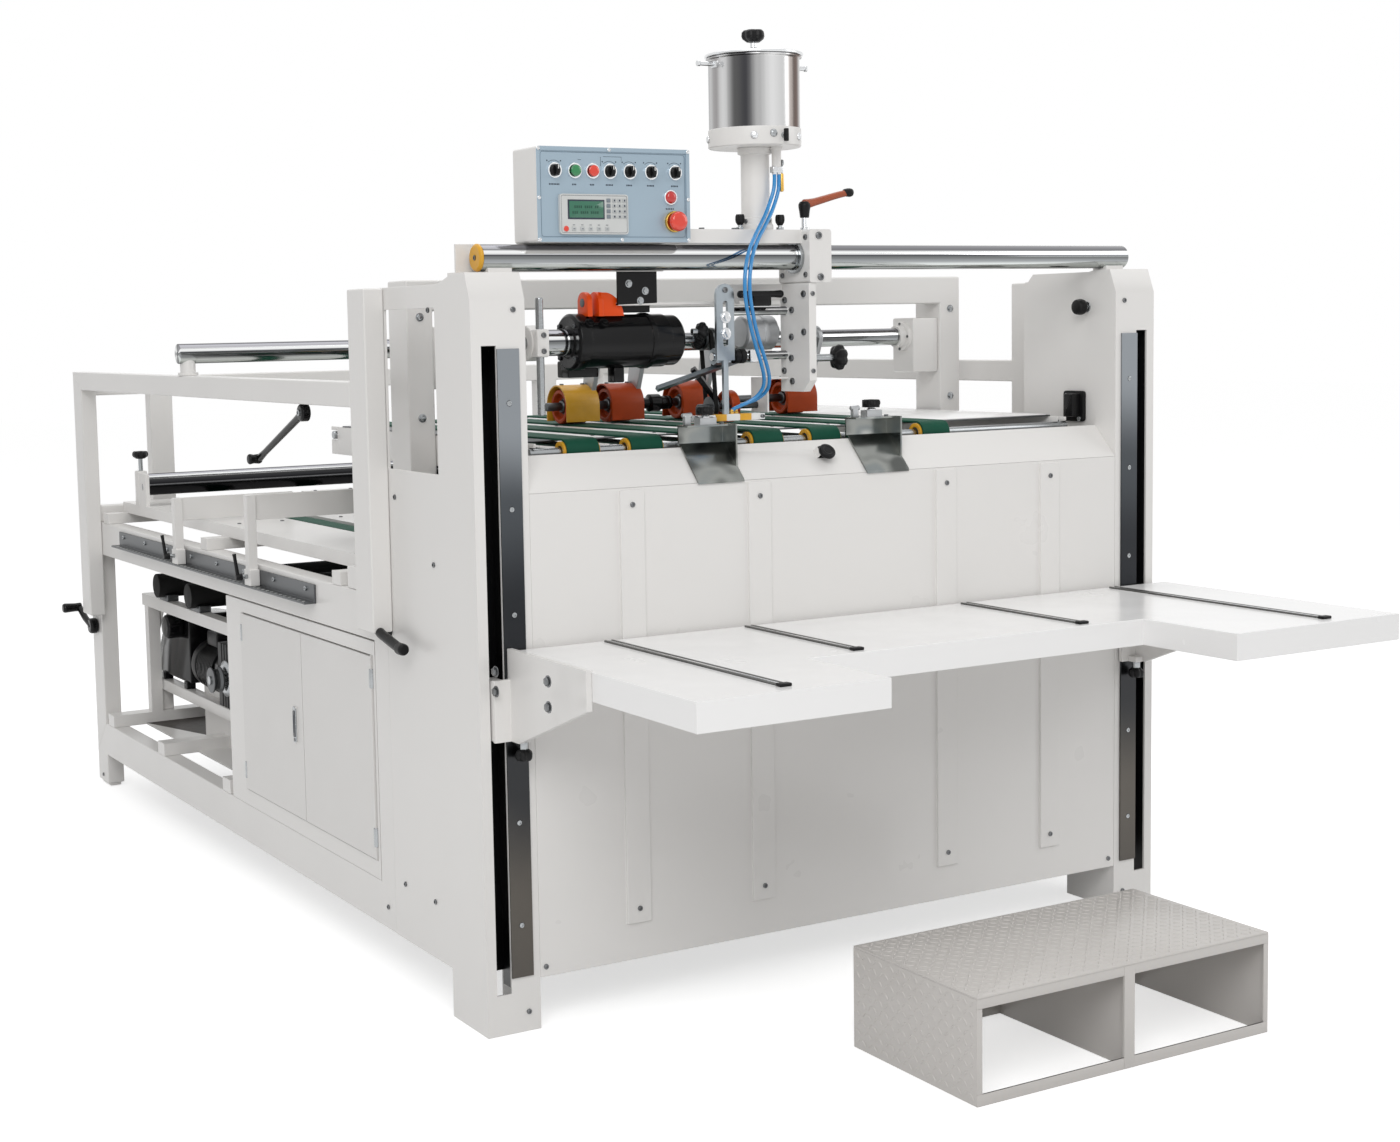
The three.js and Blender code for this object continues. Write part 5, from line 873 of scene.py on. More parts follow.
def pale_room():
    """A white background for what is seen, a lower even fill for dull surfaces, and a floor that
    keeps its shadow."""
    scene = bpy.context.scene
    scene.view_settings.view_transform = "Standard"
    world = bpy.data.worlds.new("pale_room")
    world.use_nodes = True
    scene.world = world
    tree = world.node_tree
    background = tree.nodes["Background"]
    background.inputs["Color"].default_value = (1, 1, 1, 1)
    level = tree.nodes.new("ShaderNodeMath")
    level.operation = "MULTIPLY_ADD"
    level.inputs[1].default_value = 1 - WORLD_FILL
    level.inputs[2].default_value = WORLD_FILL
    tree.links.new(seen_rays(tree), level.inputs[0])
    tree.links.new(level.outputs[0], background.inputs["Strength"])
    mesh = bpy.data.meshes.new("studio_floor")
    span = (-FLOOR_REACH, FLOOR_REACH)
    mesh.from_pydata([(x, y, -FLOOR_DROP) for x, y in rectangle(span, span)], [], [(0, 1, 2, 3)])
    look = bpy.data.materials.new("studio_floor")
    look.use_nodes = True
    shader = look.node_tree.nodes["Principled BSDF"]
    shader.inputs["Base Color"].default_value = FLOOR_TONE
    shader.inputs["Roughness"].default_value = 1.0
    shader.inputs["Specular IOR Level"].default_value = 0.0
    shader.inputs["Emission Color"].default_value = (1, 1, 1, 1)
    glow = look.node_tree.nodes.new("ShaderNodeMath")
    glow.operation = "MULTIPLY"
    glow.inputs[1].default_value = FLOOR_GLOW
    look.node_tree.links.new(seen_rays(look.node_tree), glow.inputs[0])
    look.node_tree.links.new(glow.outputs[0], shader.inputs["Emission Strength"])
    mesh.materials.append(look)
    floor = bpy.data.objects.new("studio_floor", mesh)
    scene.collection.objects.link(floor)


class GLUER_OT_stage(bpy.types.Operator):
    """Camera, lamps, floor and background."""
    bl_idname = "gluer.stage"
    bl_label = "Stage"

    def execute(self, context):
        photo_camera()
        pale_room()
        soft_lamp("key_lamp", (-3.4, -5.2, 4.6), LAMP_TARGET, 3.4, 150)
        soft_lamp("side_lamp", (5.0, -3.2, 3.2), LAMP_TARGET, 3.0, 50)
        soft_lamp("top_lamp", (0.2, 0.4, 5.4), (0, 0, 0.8), 4.0, 70)
        return {"FINISHED"}


# Glue hoses, with the route's points from the CAD model in metres

LEFT_HOSE_ROUTE = [(.7295, .040, 1.6997), (.7295, .040, 1.688), (.727, .040, 1.668), (.716, .038, 1.642),
                   (.700, .032, 1.616), (.678, .022, 1.590), (.655, .010, 1.564), (.636, -.001, 1.538),
                   (.623, -.010, 1.510), (.617, -.014, 1.480), (.618, -.014, 1.445), (.626, -.011, 1.411),
                   (.641, -.002, 1.374), (.659, .009, 1.340), (.680, .024, 1.308), (.697, .040, 1.281),
                   (.704, .054, 1.259), (.698, .066, 1.241), (.682, .075, 1.228), (.664, .081, 1.220),
                   (.650, .084, 1.214), (.644, .0845, 1.209), (.644, .0845, 1.2033),]
RIGHT_HOSE_ROUTE = [(.7405, .040, 1.6997), (.7405, .040, 1.688), (.739, .040, 1.668), (.729, .038, 1.642),
                    (.713, .032, 1.616), (.691, .022, 1.590), (.667, .010, 1.564), (.648, -.001, 1.538),
                    (.635, -.010, 1.510), (.629, -.014, 1.480), (.630, -.014, 1.445), (.638, -.011, 1.411),
                    (.653, -.002, 1.374), (.672, .009, 1.340), (.693, .024, 1.308), (.711, .041, 1.281),
                    (.720, .058, 1.258), (.717, .074, 1.242), (.703, .084, 1.231), (.686, .090, 1.225),
                    (.668, .091, 1.219), (.658, .090, 1.212), (.658, .090, 1.2033),]


def glue_hose(name, route, node):
    """One open spline along the smooth curve through the route, as thick as the hose."""
    path = smooth_path(route) + CORNER
    curve = bpy.data.curves.new(name, "CURVE")
    curve.dimensions = "3D"
    curve.bevel_depth = sizes().hose_diameter / 2
    curve.bevel_resolution = 5
    curve.use_fill_caps = True
    spline = curve.splines.new("POLY")
    spline.points.add(len(path) - 1)
    spline.points.foreach_set("co", np.hstack([path, np.ones((len(path), 1))]).ravel())
    spline.use_smooth = True
    curve.materials.append(finish("hose_plastic"))
    obj = bpy.data.objects.new(name, curve)
    bpy.context.scene.collection.objects.link(obj)
    settle(obj, node, True)


class GLUER_OT_hoses(bpy.types.Operator):
    """Both glue hoses, from the spout below the pot to the glue shoe."""
    bl_idname = "gluer.hoses"
    bl_label = "Glue hoses"

    def execute(self, context):
        glue_hose("left_hose", LEFT_HOSE_ROUTE, "glue_hose_left")
        glue_hose("right_hose", RIGHT_HOSE_ROUTE, "glue_hose_right")
        return {"FINISHED"}


# Columns, panel and frames

COLUMN_WALL = 0.006
SLOT_DEPTH = 0.155
FRONT_SCREWS = [(0.092, 1.428), (0.091, 0.040)]
SIDE_SCREWS = [(0.190, 1.431), (0.381, 1.047), (0.195, 0.922), (0.384, 0.223), (0.232, 0.221)]
RAIL_SCREWS = 6
RAIL_SCREW_PITCH = 0.206
INNER_KNOB = (0.095, 1.415)
INNER_BLOCK = (0.131, 1.183)
SLOT_SHADE_PLATE = (0.080, 1.420)
PANEL_FOOT, BATTEN_INSET = 0.180, 0.030
BATTEN_SHARES = (0.15, 0.351, 0.673, 0.868)
STOP_KNOB_SHARE = 0.475
SEAM_RADIUS = 0.000675


def on_side(side, x):
    """A place measured from the outer face of the left or the right column."""
    return x if side == "left" else MACHINE_WIDTH - x


def grip_knob(axis, centre, base, radius, height, lobes=5):
    """A lobed plastic grip: a narrow neck, a swelling rim and a dished top."""
    profile = [(0, base), (0.55, base), (0.92, base + height * 0.28), (1, base + height * 0.5),
               (0.97, base + height * 0.82), (0.8, base + height), (0.42, base + height),
               (0.36, base + height * 0.9), (0, base + height * 0.9)]
    return knob(axis, centre, radius, profile, lobes, radius * 0.16)


class GLUER_OT_columns(bpy.types.Operator):
    """Both front columns with their ground slide rails, cap screws and inner fittings."""
    bl_idname = "gluer.columns"
    bl_label = "Front columns"

    def execute(self, context):
        for side in ("left", "right"):
            column = f"{side}_column"
            softened(column, "column_paint")
            piece(f"{side}_column_screws", screws([(on_side(side, x), 0, z) for x, z in FRONT_SCREWS],
                                                  (0, -1, 0), sizes().screw_radius), "screw_steel", column)
            outward = -1 if side == "left" else 1
            piece(f"{side}_plate_screws", screws([(on_side(side, 0), y, z) for y, z in SIDE_SCREWS],
                                                 (outward, 0, 0), sizes().screw_radius), "screw_steel",
                  column)
            shell = Extent(column)
            # A sheet closing each slot at the back; its front is near black below 1.362 m, the painted shade
            # of the column's inside.
            shade_plate = block((shell.low[0] + COLUMN_WALL, shell.high[0] - COLUMN_WALL),
                               (SLOT_DEPTH - 0.002, SLOT_DEPTH + 0.002), SLOT_SHADE_PLATE, 0.0005)
            piece(f"{side}_slot_shade_plate", shade_plate, "column_paint", column)
            rail = Extent(f"{side}_slide_rail")
            softened(f"{side}_slide_rail", "slide_rail_steel", FINE_EDGE)
            first = rail.middle[2] - (RAIL_SCREWS - 1) / 2 * RAIL_SCREW_PITCH
            seats = [(rail.middle[0], rail.low[1] + 0.0012,
                      first + i * RAIL_SCREW_PITCH) for i in range(RAIL_SCREWS)]
            piece(f"{side}_rail_screws", screws(seats, (0, -1, 0), 0.0052, 0.0018), "zinc",
                  f"{side}_slide_rail")
        self.inner_fittings()
        return {"FINISHED"}

    def inner_fittings(self):
        """Black knob on a silver washer, and the black pull block with two screws, on the right
        column's inner plate."""
        face = Extent("right_column").low[0]
        y, z = INNER_KNOB
        stem = turned("x", (y, z), [(0, 0), (0.013, 0), (0.013, -0.003), (0.007, -0.003), (0.007, -0.014),
                                    (0, -0.014)], start=face)
        piece("inner_knob_stem", stem, "zinc", "right_column")
        cap = turned("x", (y, z), [(0, -0.012), (0.017, -0.012), (0.019, -0.02), (0.017, -0.034),
                                   (0, -0.037)], 0.003, start=face)
        piece("inner_knob", cap, "black_plastic", "right_column")
        y, z = INNER_BLOCK
        plate = prism("x", eased(rectangle((y - 0.034, y + 0.034), (z - 0.036, z + 0.036)), 0.008),
                      face - 0.010, face, 0.002)
        pull = block((face - 0.034, face - 0.008), (y - 0.024, y + 0.006), (z - 0.024, z + 0.030), 0.004,
                     "x")
        piece("pull_block", plate + pull, "black_plastic", "right_column")
        heads = [(face - 0.010, y + 0.022, z + 0.024), (face - 0.010, y - 0.022, z - 0.029)]
        piece("pull_block_screws", screws(heads, (-1, 0, 0), 0.006, 0.003), "zinc", "right_column")


class GLUER_OT_front_panel(bpy.types.Operator):
    """Front panel with its battens, and the deflector above it with its black stop knob and
    chromed guide bar."""
    bl_idname = "gluer.front_panel"
    bl_label = "Front panel"

    def execute(self, context):
        softened("front_panel", "panel_paint")
        panel = Extent("front_panel")
        low, high = PANEL_FOOT + BATTEN_INSET, panel.high[2] - 0.004 - BATTEN_INSET
        left, right = panel.low[0], panel.high[0]
        places = [(left + (right - left) * share, panel.low[1], z)
                  for share in BATTEN_SHARES for z in (low, high)]
        corners = [(x, 0, 0.124) for x in (left + 0.013, right - 0.018)]
        piece("panel_screws", screws(places + corners, (0, -1, 0), sizes().screw_radius, 0.0028),
              "screw_steel", "front_panel")

        def bar(centres, normals):
            away = np.hypot(centres[:, 1] - GUIDE_BAR[0], centres[:, 2] - GUIDE_BAR[1])
            return (away < 0.0066) & (abs(normals[:, 0]) < 0.5)

        def stop_knob(centres, normals):
            middle = left + (right - left) * STOP_KNOB_SHARE
            return (abs(centres[:, 0] - middle) < 0.0205) & (centres[:,
                                                                     1] < 0.033) & (centres[:, 2] > 1.094)

        softened("front_deflector", "panel_paint", regions=[("guide_bar_chrome", bar),
                                                            ("black_plastic", stop_knob)])
        foot = Extent("front_deflector")
        rise, run = foot.high[2] - foot.low[2], 0.066
        outward = np.array((0, -rise, run)) / math.hypot(rise, run)
        middle = np.array((left + (right - left) * STOP_KNOB_SHARE, run / 2,
                           (foot.high[2] + foot.low[2]) / 2))
        cap = turned("z", (0, 0), [(0, 0.014), (0.0178, 0.014), (0.0186, 0.017), (0.0186, 0.0215),
                                   (0.0168, 0.024), (0.011, 0.0245), (0.0095, 0.0232), (0, 0.0232)], 0.0012)
        cap = cap.aimed(outward).moved(*middle)
        piece("stop_knob_cap", cap, "black_plastic", "front_deflector")
        return {"FINISHED"}


def weld_seam(first, second):
    """A fine raised line between two places, as the ground weld of a mitred tube."""
    first, second = np.asarray(first, float), np.asarray(second, float)
    share = np.linspace(0, 1, 5)[:, None]
    return tube(first + (second - first) * share, SEAM_RADIUS, 6, up=(0.3, 0.5, 0.8))


class GLUER_OT_frames(bpy.types.Operator):
    """Welded side frames, the gantry and the rear portal, with ground mitre welds, flange bolts and screws."""
    bl_idname = "gluer.frames"
    bl_label = "Frames"

    def execute(self, context):
        for node in ("left_base_frame", "right_base_frame", "left_upper_frame", "right_upper_frame",
                     "front_gantry", "rear_portal"):
            softened(node, "white_paint", sizes().tube_edge)
        for side, outward in (("left", -1), ("right", 1)):
            self.seams(side, outward)
        self.flange_bolts()
        self.handles()
        return {"FINISHED"}

    def handles(self):
        """Black pull handle at the foot of the left front post, and the hand crank on the left rear leg."""
        face = -0.030
        pull = smooth_path([(-0.002, 0.432, 0.764), (-0.020, 0.428, 0.764), (face, 0.410, 0.761),
                            (face, 0.370, 0.752), (face, 0.330, 0.744), (face, 0.300, 0.740)])
        knob_end = turned("y", (face, 0.740), [(0, 0.286), (0.010, 0.286), (0.0125, 0.292), (0.0125, 0.312),
                                               (0.0100, 0.318), (0, 0.318)], 0.002, 32)
        seat = turned("x", (0.432, 0.764), [(0, -0.006), (0.016, -0.006), (0.018, 0), (0, 0)], 0.001, 32)
        piece("post_handle", tube(pull, 0.0105, 16) + knob_end + seat, "black_plastic", "left_base_frame")
        leg = Extent("left_base_frame").high[1] - 0.052
        hub = turned("x", (leg, 0.500), [(0, -0.026), (0.020, -0.026), (0.024, -0.020), (0.024, -0.004),
                                         (0.018, 0), (0, 0)], 0.0015, 40)
        arm = tube([(-0.018, leg, 0.500), (-0.022, leg + 0.050, 0.518), (-0.026, leg + 0.105, 0.548)],
                   0.0100, 16)
        grip = turned("x", (leg + 0.105, 0.548), [(0, -0.078), (0.012, -0.078), (0.015, -0.072),
                                                  (0.013, -0.040), (0.014, -0.020), (0, -0.018)], 0.003, 32)
        piece("rear_crank", hub + arm + grip, "black_enamel", "left_base_frame")

    def seams(self, side, outward):
        """Mitre lines at the corners of the upper frame and at the rear post of the base frame."""
        upper = Extent(f"{side}_upper_frame")
        face = upper.low[0] if side == "left" else upper.high[0]
        beam_low = upper.high[2] - 0.054 if upper.high[2] < 1.4 else 1.232
        rear = upper.high[1]
        lines = [((face, rear - 0.090, beam_low), (face, rear, beam_low + 0.054)),
                 ((face, 0.500, beam_low), (face, 0.500, beam_low + 0.054))]
        piece(f"{side}_frame_seams", joined([weld_seam(*line) for line in lines]), "white_paint",
              f"{side}_upper_frame")
        base = Extent(f"{side}_base_frame")
        face = on_side(side, 0)
        lines = [((face, base.high[1] - 0.104, 0.200), (face, base.high[1] - 0.002, 0.102)),
                 ((face, base.high[1] - 0.104, 0.728), (face, base.high[1] - 0.002, 0.826)),
                 ((face, 0.5166, 0.202), (face, 0.5166, 0.726))]
        piece(f"{side}_base_seams", joined([weld_seam(*line) for line in lines]), "white_paint",
              f"{side}_base_frame")
        places = [(face, base.high[1] - 0.052, 0.030), (face, 0.480, 0.760), (face, 0.480, 0.150)]
        piece(f"{side}_base_screws", screws(places, (outward, 0, 0), sizes().screw_radius), "screw_steel",
              f"{side}_base_frame")

    def flange_bolts(self):
        """Bolts of the gantry posts, which stand behind the cross rod."""
        gantry = Extent("front_gantry")
        places = [(x, gantry.low[1], z) for x in (0.148, 1.612) for z in (1.20, 1.42)]
        piece("gantry_bolts", bolts(places, (0, -1, 0), 0.007, 0.006), "zinc", "front_gantry")


# Round bars

PRESS_ARM_WIDTH = 0.012
PRESS_LANES = (1.9, 2.7, 4, 6)
BELT_FIRST, BELT_PITCH, BELT_WIDTH = 0.286, 0.150, 0.075


def lane(index):
    """The middle of a belt lane."""
    return BELT_FIRST + index * BELT_PITCH


def press_axes():
    """The press rod's place and the press wheels' place, as (Y, Z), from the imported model."""
    block_low = Extent("press_rod")
    wheels = Extent("press_wheel_shaft")
    return (0.610, block_low.high[2] - 0.046), (wheels.middle[1], wheels.middle[2])


class GLUER_OT_bars(bpy.types.Operator):
    """Chromed cross rod with its yellow cap, the stiffener rod on its bosses and the press rod
    with its hoods."""
    bl_idname = "gluer.bars"
    bl_label = "Chromed bars"

    def execute(self, context):
        self.cross_rod()
        self.stiffener()
        self.press_rod()
        return {"FINISHED"}

    def cross_rod(self):
        main = Extent("main_rod")
        cap_width = 0.008
        centre = main.middle[1:]
        piece("cross_rod", rod("x", centre, 0.026, main.low[0] + cap_width, main.high[0], 0.002, 96),
              "main_rod_chrome", "main_rod", True)
        start = main.low[0]
        rim = main.size[1] / 2
        cap = turned("x", centre, [(0, start + 0.0012), (rim * 0.2, start + 0.0012), (rim * 0.24, start),
                                   (rim * 0.86, start), (rim, start + cap_width * 0.45),
                                   (rim, start + cap_width), (0, start + cap_width)], 0.0012, 96)
        piece("rod_cap", cap, "wheel_yellow", "main_rod")
        piece("rod_cap_screw", screws([(start + 0.0008, *centre)], (-1, 0, 0), 0.005, 0.002), "screw_steel",
              "main_rod")

    def stiffener(self):
        bar = Extent("stiffener_rod")
        radius = bar.size[1] / 2
        centre = (bar.middle[1], bar.high[2] - radius)
        piece("stiffener_bar", rod("x", centre, radius, bar.low[0], bar.high[0], 0.002, 96),
              "stiffener_chrome", "stiffener_rod", True)
        centre_hole = turned("x", centre, [(0, -0.0004), (0.006, -0.0004), (0.0062, 0.002), (0, 0.002)],
                             0.0002, start=bar.low[0])
        piece("stiffener_centre", centre_hole, "dark_steel", "stiffener_rod")
        boss = 0.020
        places = (bar.low[0] + 0.026, bar.high[0] - 0.026)
        bosses = joined([turned("z", (x, centre[0]), [(0, bar.low[2]), (boss * 1.3, bar.low[2]),
                                                      (boss * 1.3, bar.low[2] + 0.008),
                                                      (boss, bar.low[2] + 0.008), (boss, centre[1]),
                                                      (0, centre[1])]) for x in places])
        piece("stiffener_bosses", bosses, "white_paint", "stiffener_rod")

    def press_rod(self):
        """The bar with its end blocks and flanges, the arms in their lanes, and the hoods bent
        round the wheels."""
        whole = Extent("press_rod")
        top, bottom = press_axes()
        low, high = whole.low[0], whole.high[0]
        piece("press_bar", rod("x", top, 0.021, low + 0.002, high - 0.002, 0.001, 64), "press_rod_chrome",
              "press_rod", True)
        ends = joined([block((low, low + 0.078), (top[0] - 0.042, top[0] + 0.042),
                             (top[1] - 0.090, top[1] + 0.046), 0.004),
                       turned("x", top, [(0, 0.07), (0.036, 0.07), (0.036, 0.088), (0.027, 0.088),
                                         (0.027, 0.104), (0.0215, 0.104), (0, 0.104)], 0.0015, 64,
                              start=low)])
        middle = (low + high) / 2
        piece("press_blocks", ends + ends.mirrored(middle), "white_paint", "press_rod")
        heads = [(x, top[0] + y, top[1] + z) for x in (low + 0.088, high - 0.088)
                 for y, z in ((0.0315, 0.0), (-0.0315, 0.0), (0.0, 0.0315), (0.0, -0.0315))]
        half = len(heads) // 2
        flange_screws = (screws(heads[:half], (1, 0, 0), 0.0035, 0.002)
                         + screws(heads[half:], (-1, 0, 0), 0.0035, 0.002))
        piece("press_flange_screws", flange_screws, "screw_steel", "press_rod")
        side = 0.033 + 0.003
        outline = np.vstack([disc_outline(top, 0.032, 24, 0, math.pi),
                             disc_outline(bottom, 0.020, 24, math.pi, 2 * math.pi)])
        arms = joined([prism("x", outline, lane(i) + side, lane(i) + side + PRESS_ARM_WIDTH, 0.001)
                       for i in PRESS_LANES])
        piece("press_arms", arms, "cast_grey", "press_rod")
        self.hoods(bottom)

    def hoods(self, axis):
        """Each hood is a sheet bent round its wheel: half a ring with two straight sides, open below."""
        y, z = axis
        inner, outer = 0.046, 0.050
        low = 1.174
        arc = np.vstack([disc_outline(axis, outer, 32, 0, math.pi), [(y - outer, low), (y - inner, low)],
                         disc_outline(axis, inner, 32, 0, math.pi)[::-1],
                         [(y + inner, low), (y + outer, low)]])
        for colour, lanes in (("wheel_orange", PRESS_LANES[1:]), ("wheel_yellow", PRESS_LANES[:1])):
            shells = joined([prism("x", arc, lane(i) - 0.039, lane(i) + 0.048, 0.0006) for i in lanes])
            piece(f"press_hoods_{colour[6:]}", shells, colour, "press_rod")
            screw_places = [(lane(i) + x, y, z + outer) for i in lanes for x in (-0.025, 0.03)]
            piece(f"hood_screws_{colour[6:]}", screws(screw_places, (0, 0, 1), 0.005, 0.003), "screw_steel",
                  "press_rod")


# Feed bed

def pulley_wheels(axis, lanes):
    """Yellow rims on dark hubs, one pair of faces at each lane."""
    half = BELT_WIDTH / 2 + 0.004
    rims = joined([ring("x", axis, 0.0135, 0.0222, lane(i) - half, lane(i) + half, 0.0012,
                        40) for i in lanes])
    hubs = joined([rod("x", axis, 0.0136, lane(i) - half + 0.003, lane(i) + half - 0.003, 0.0006,
                       24) for i in lanes])
    return rims, hubs


class GLUER_OT_feed_bed(bpy.types.Operator):
    """Seven feed belts on their pulleys, the sheet under them and the press wheels above."""
    bl_idname = "gluer.feed_bed"
    bl_label = "Feed bed"

    def execute(self, context):
        table = Extent("feed_table")
        front, rear = Extent("front_pulley_shaft"), Extent("rear_pulley_shaft")
        centres = [front.middle[1:], rear.middle[1:]]
        inner = table.high[2] - centres[0][1] - 0.004
        belts = joined([belt_band("x", centres, (inner, inner - 1e-5), (lane(i) - BELT_WIDTH / 2,
                                                                     lane(i) + BELT_WIDTH / 2), 0.004, 20)
                        for i in range(7)])
        piece("feed_belts", belts, "belt_rubber", "feed_table", True)
        self.bed(table, centres)
        for name, node, centre in (("front", "front_pulley_shaft", centres[0]),
                                   ("rear", "rear_pulley_shaft", centres[1])):
            rims, hubs = pulley_wheels(centre, range(7))
            piece(f"{name}_pulley_rims", rims, "wheel_yellow", node, True)
            piece(f"{name}_pulley_hubs", hubs, "dark_steel", node)
            extent = Extent(node)
            piece(f"{name}_shaft", rod("x", centre, 0.0098, extent.low[0], extent.high[0], 0.001, 24),
                  "zinc", node)
        self.press_wheels()
        return {"FINISHED"}

    def bed(self, table, centres):
        """The dark sheet under the belts with its white slats and screws, and its two skirts, notched for the
        shafts.
        """
        low, high = table.low[0], table.high[0]
        top = table.high[2] - 0.004
        sheet = block((low, high), (0.150, 1.104), (top - 0.003, top), 0.001)
        notch = 0.0115
        skirts = []
        for xs in ((low, low + 0.005), (high - 0.005, high)):
            front, rear = centres[0][0], centres[1][0]
            skirts.append(block(xs, (front + notch, rear - notch), (top - 0.070, top - 0.003), 0.001))
            for ys in ((0.096, front + notch), (rear - notch, 1.176)):
                skirts.append(block(xs, ys, (centres[0][1] + notch, top - 0.003), 0.001))
                skirts.append(block(xs, ys, (top - 0.070, centres[0][1] - notch), 0.001))
        piece("bed_sheet", sheet, "dark_steel", "feed_table")
        piece("bed_skirts", joined(skirts), "white_paint", "feed_table")
        slats = joined([block((lane(i) + 0.062, lane(i) + 0.088), (0.152, 1.100), (top, top + 0.0022),
                              0.0008) for i in range(6)])
        piece("bed_slats", slats, "table_paint", "feed_table")
        wide = block((lane(6) + 0.047, high - 0.012), (0.152, 1.100), (top, top + 0.0022), 0.0008)
        piece("bed_wide_slat", wide, "table_paint", "feed_table")
        holes = [(lane(i) + 0.075, y, top + 0.0022) for i in range(6) for y in (0.180, 0.620, 1.060)]
        piece("bed_screws", screws(holes, (0, 0, 1), 0.004, 0.0014), "screw_steel", "feed_table")

    def press_wheels(self):
        """Dished wheels with dark hubs and a ribbed tread on one shaft."""
        extent = Extent("press_wheel_shaft")
        centre = extent.middle[1:]
        tyres, hubs = [], []
        for i in PRESS_LANES:
            left, right = lane(i) - 0.033, lane(i) + 0.033
            tyres.append(turned("x", centre, [(0.018, left + 0.014), (0.027, left + 0.013),
                                              (0.030, left + 0.001), (0.031, left), (0.038, left),
                                              (0.040, left + 0.003), (0.040, right - 0.003), (0.038, right),
                                              (0.018, right)], 0.0012, 64))
            hubs.append(turned("x", centre, [(0, left + 0.004), (0.013, left + 0.004),
                                             (0.015, left + 0.007), (0.015, left + 0.012),
                                             (0.019, left + 0.0125), (0.019, right + 0.0008),
                                             (0, right + 0.0008)], 0.001, 40))
        piece("press_tyres", joined(tyres), "wheel_orange", "press_wheel_shaft", True)
        piece("press_hubs", joined(hubs), "dark_steel", "press_wheel_shaft")
        piece("press_shaft", rod("x", centre, 0.0098, extent.low[0], extent.high[0], 0.001, 24),
              "dark_steel", "press_wheel_shaft")
        start, end = lane(PRESS_LANES[1]) + 0.055, lane(PRESS_LANES[2]) - 0.048
        coupling = turned("x", centre, [(0, start), (0.013, start), (0.013, start + 0.030),
                                        (0.021, start + 0.034), (0.021, start + 0.060),
                                        (0.016, start + 0.064), (0.016, start + 0.082),
                                        (0.0125, start + 0.086), (0.0125, end - 0.010),
                                        (0.016, end - 0.008), (0.016, end), (0, end)], 0.001, 40)
        piece("press_coupling", coupling, "black_enamel", "press_wheel_shaft")


# Lift table

STRIP_SHARES = (0.118, 0.312, 0.643, 0.897)
STRIP_LENGTHS = (0.616, 0.376, 0.376, 0.616)
BRACKET_BOLTS = [(-0.024, 0.733), (-0.024, 0.694), (-0.241, 0.745), (-0.241, 0.697)]


class GLUER_OT_lift_table(bpy.types.Operator):
    """Lift table with its grooved slide strips, bolted brackets and lock knobs."""
    bl_idname = "gluer.lift_table"
    bl_label = "Lift table"

    def execute(self, context):
        table = Extent("lift_table")
        top = table.high[2] - 0.003

        def strip(centres, normals):
            return centres[:, 2] > top + 0.0003

        softened("lift_table", "table_paint", 0.0022, regions=[("black_plastic", strip)])
        lips, slides, caps = [], [], []
        for share, length in zip(STRIP_SHARES, STRIP_LENGTHS):
            x = table.low[0] + table.size[0] * share
            back = table.high[1] - 0.014
            for side in (-1, 1):
                lips.append(block((x + side * 0.0078 - 0.0022, x + side * 0.0078 + 0.0022),
                                  (back - length, back), (top, top + 0.0042), 0.0008))
            slides.append(block((x - 0.0035, x + 0.0035), (back - length + 0.004, back - 0.004),
                                (top + 0.0025, top + 0.0036), 0.0003))
            caps.append(block((x - 0.0125, x + 0.0125), (back - length - 0.006, back - length + 0.010),
                              (top, top + 0.0060), 0.002))
        piece("strip_lips", joined(lips), "strip_steel", "lift_table")
        piece("strip_slides", joined(slides), "bright_steel", "lift_table")
        piece("strip_caps", joined(caps), "black_plastic", "lift_table")
        for side in ("left", "right"):
            softened(f"{side}_bracket", "white_paint", 0.0025)
            neck = Extent(f"{side}_lock_knob")
            x, y = neck.middle[:2]
            collar = rod("z", (x, y), 0.009, neck.high[2] - 0.014, neck.high[2], 0.0008, 32)
            piece(f"{side}_lock_collar", collar, "zinc", f"{side}_lock_knob")
            grip = grip_knob("z", (x, y), 0, 0.018, 0.0225, 6).rotated("x", math.pi, (x, y, 0))
            piece(f"{side}_lock_grip", grip.moved(z=neck.high[2] - 0.0135), "black_plastic",
                  f"{side}_lock_knob", True)
        face = Extent("left_bracket").low[0]
        piece("bracket_bolts", bolts([(face, y, z) for y, z in BRACKET_BOLTS], (-1, 0, 0), 0.0085, 0.007),
              "screw_steel", "left_bracket")
        face = Extent("right_bracket").high[0]
        places = [(face, -0.024, 0.66), (face, -0.024, 0.62), (face, -0.10, 0.68)]
        piece("right_bracket_bolts", bolts(places, (1, 0, 0), 0.0085, 0.007), "screw_steel",
              "right_bracket")
        return {"FINISHED"}


# Control box

CONTROL_HEIGHT = 1.695
SELECTORS = (0.190, 0.313, 0.358, 0.407, 0.463)
START, STOP = 0.234, 0.274
LAMP = (0.451, 1.646)
ESTOP = (0.460, 1.598)
FACE = 0.003
DISPLAY = ((0.198, 0.351), (1.572, 1.650))


def near(centres, place, radius):
    """Faces whose centre is within a radius of a place on the control face."""
    return np.hypot(centres[:, 0] - place[0], centres[:, 2] - place[1]) < radius


def marks(places, width, height, y, depth=0.0004):
    """Small flat marks in front of a face."""
    unit = block((-width / 2, width / 2), (-depth, 0.0002), (-height / 2, height / 2), 0.0001)
    return scattered(unit, [(x, y, z) for x, z in places])


def stroke(points, width, y):
    """A fine printed line: a half round bead along points given as (X, Z)."""
    path = np.array([(x, y, z) for x, z in points], float)
    return tube(path, width / 2, 6, up=(0, 1, 0.01))


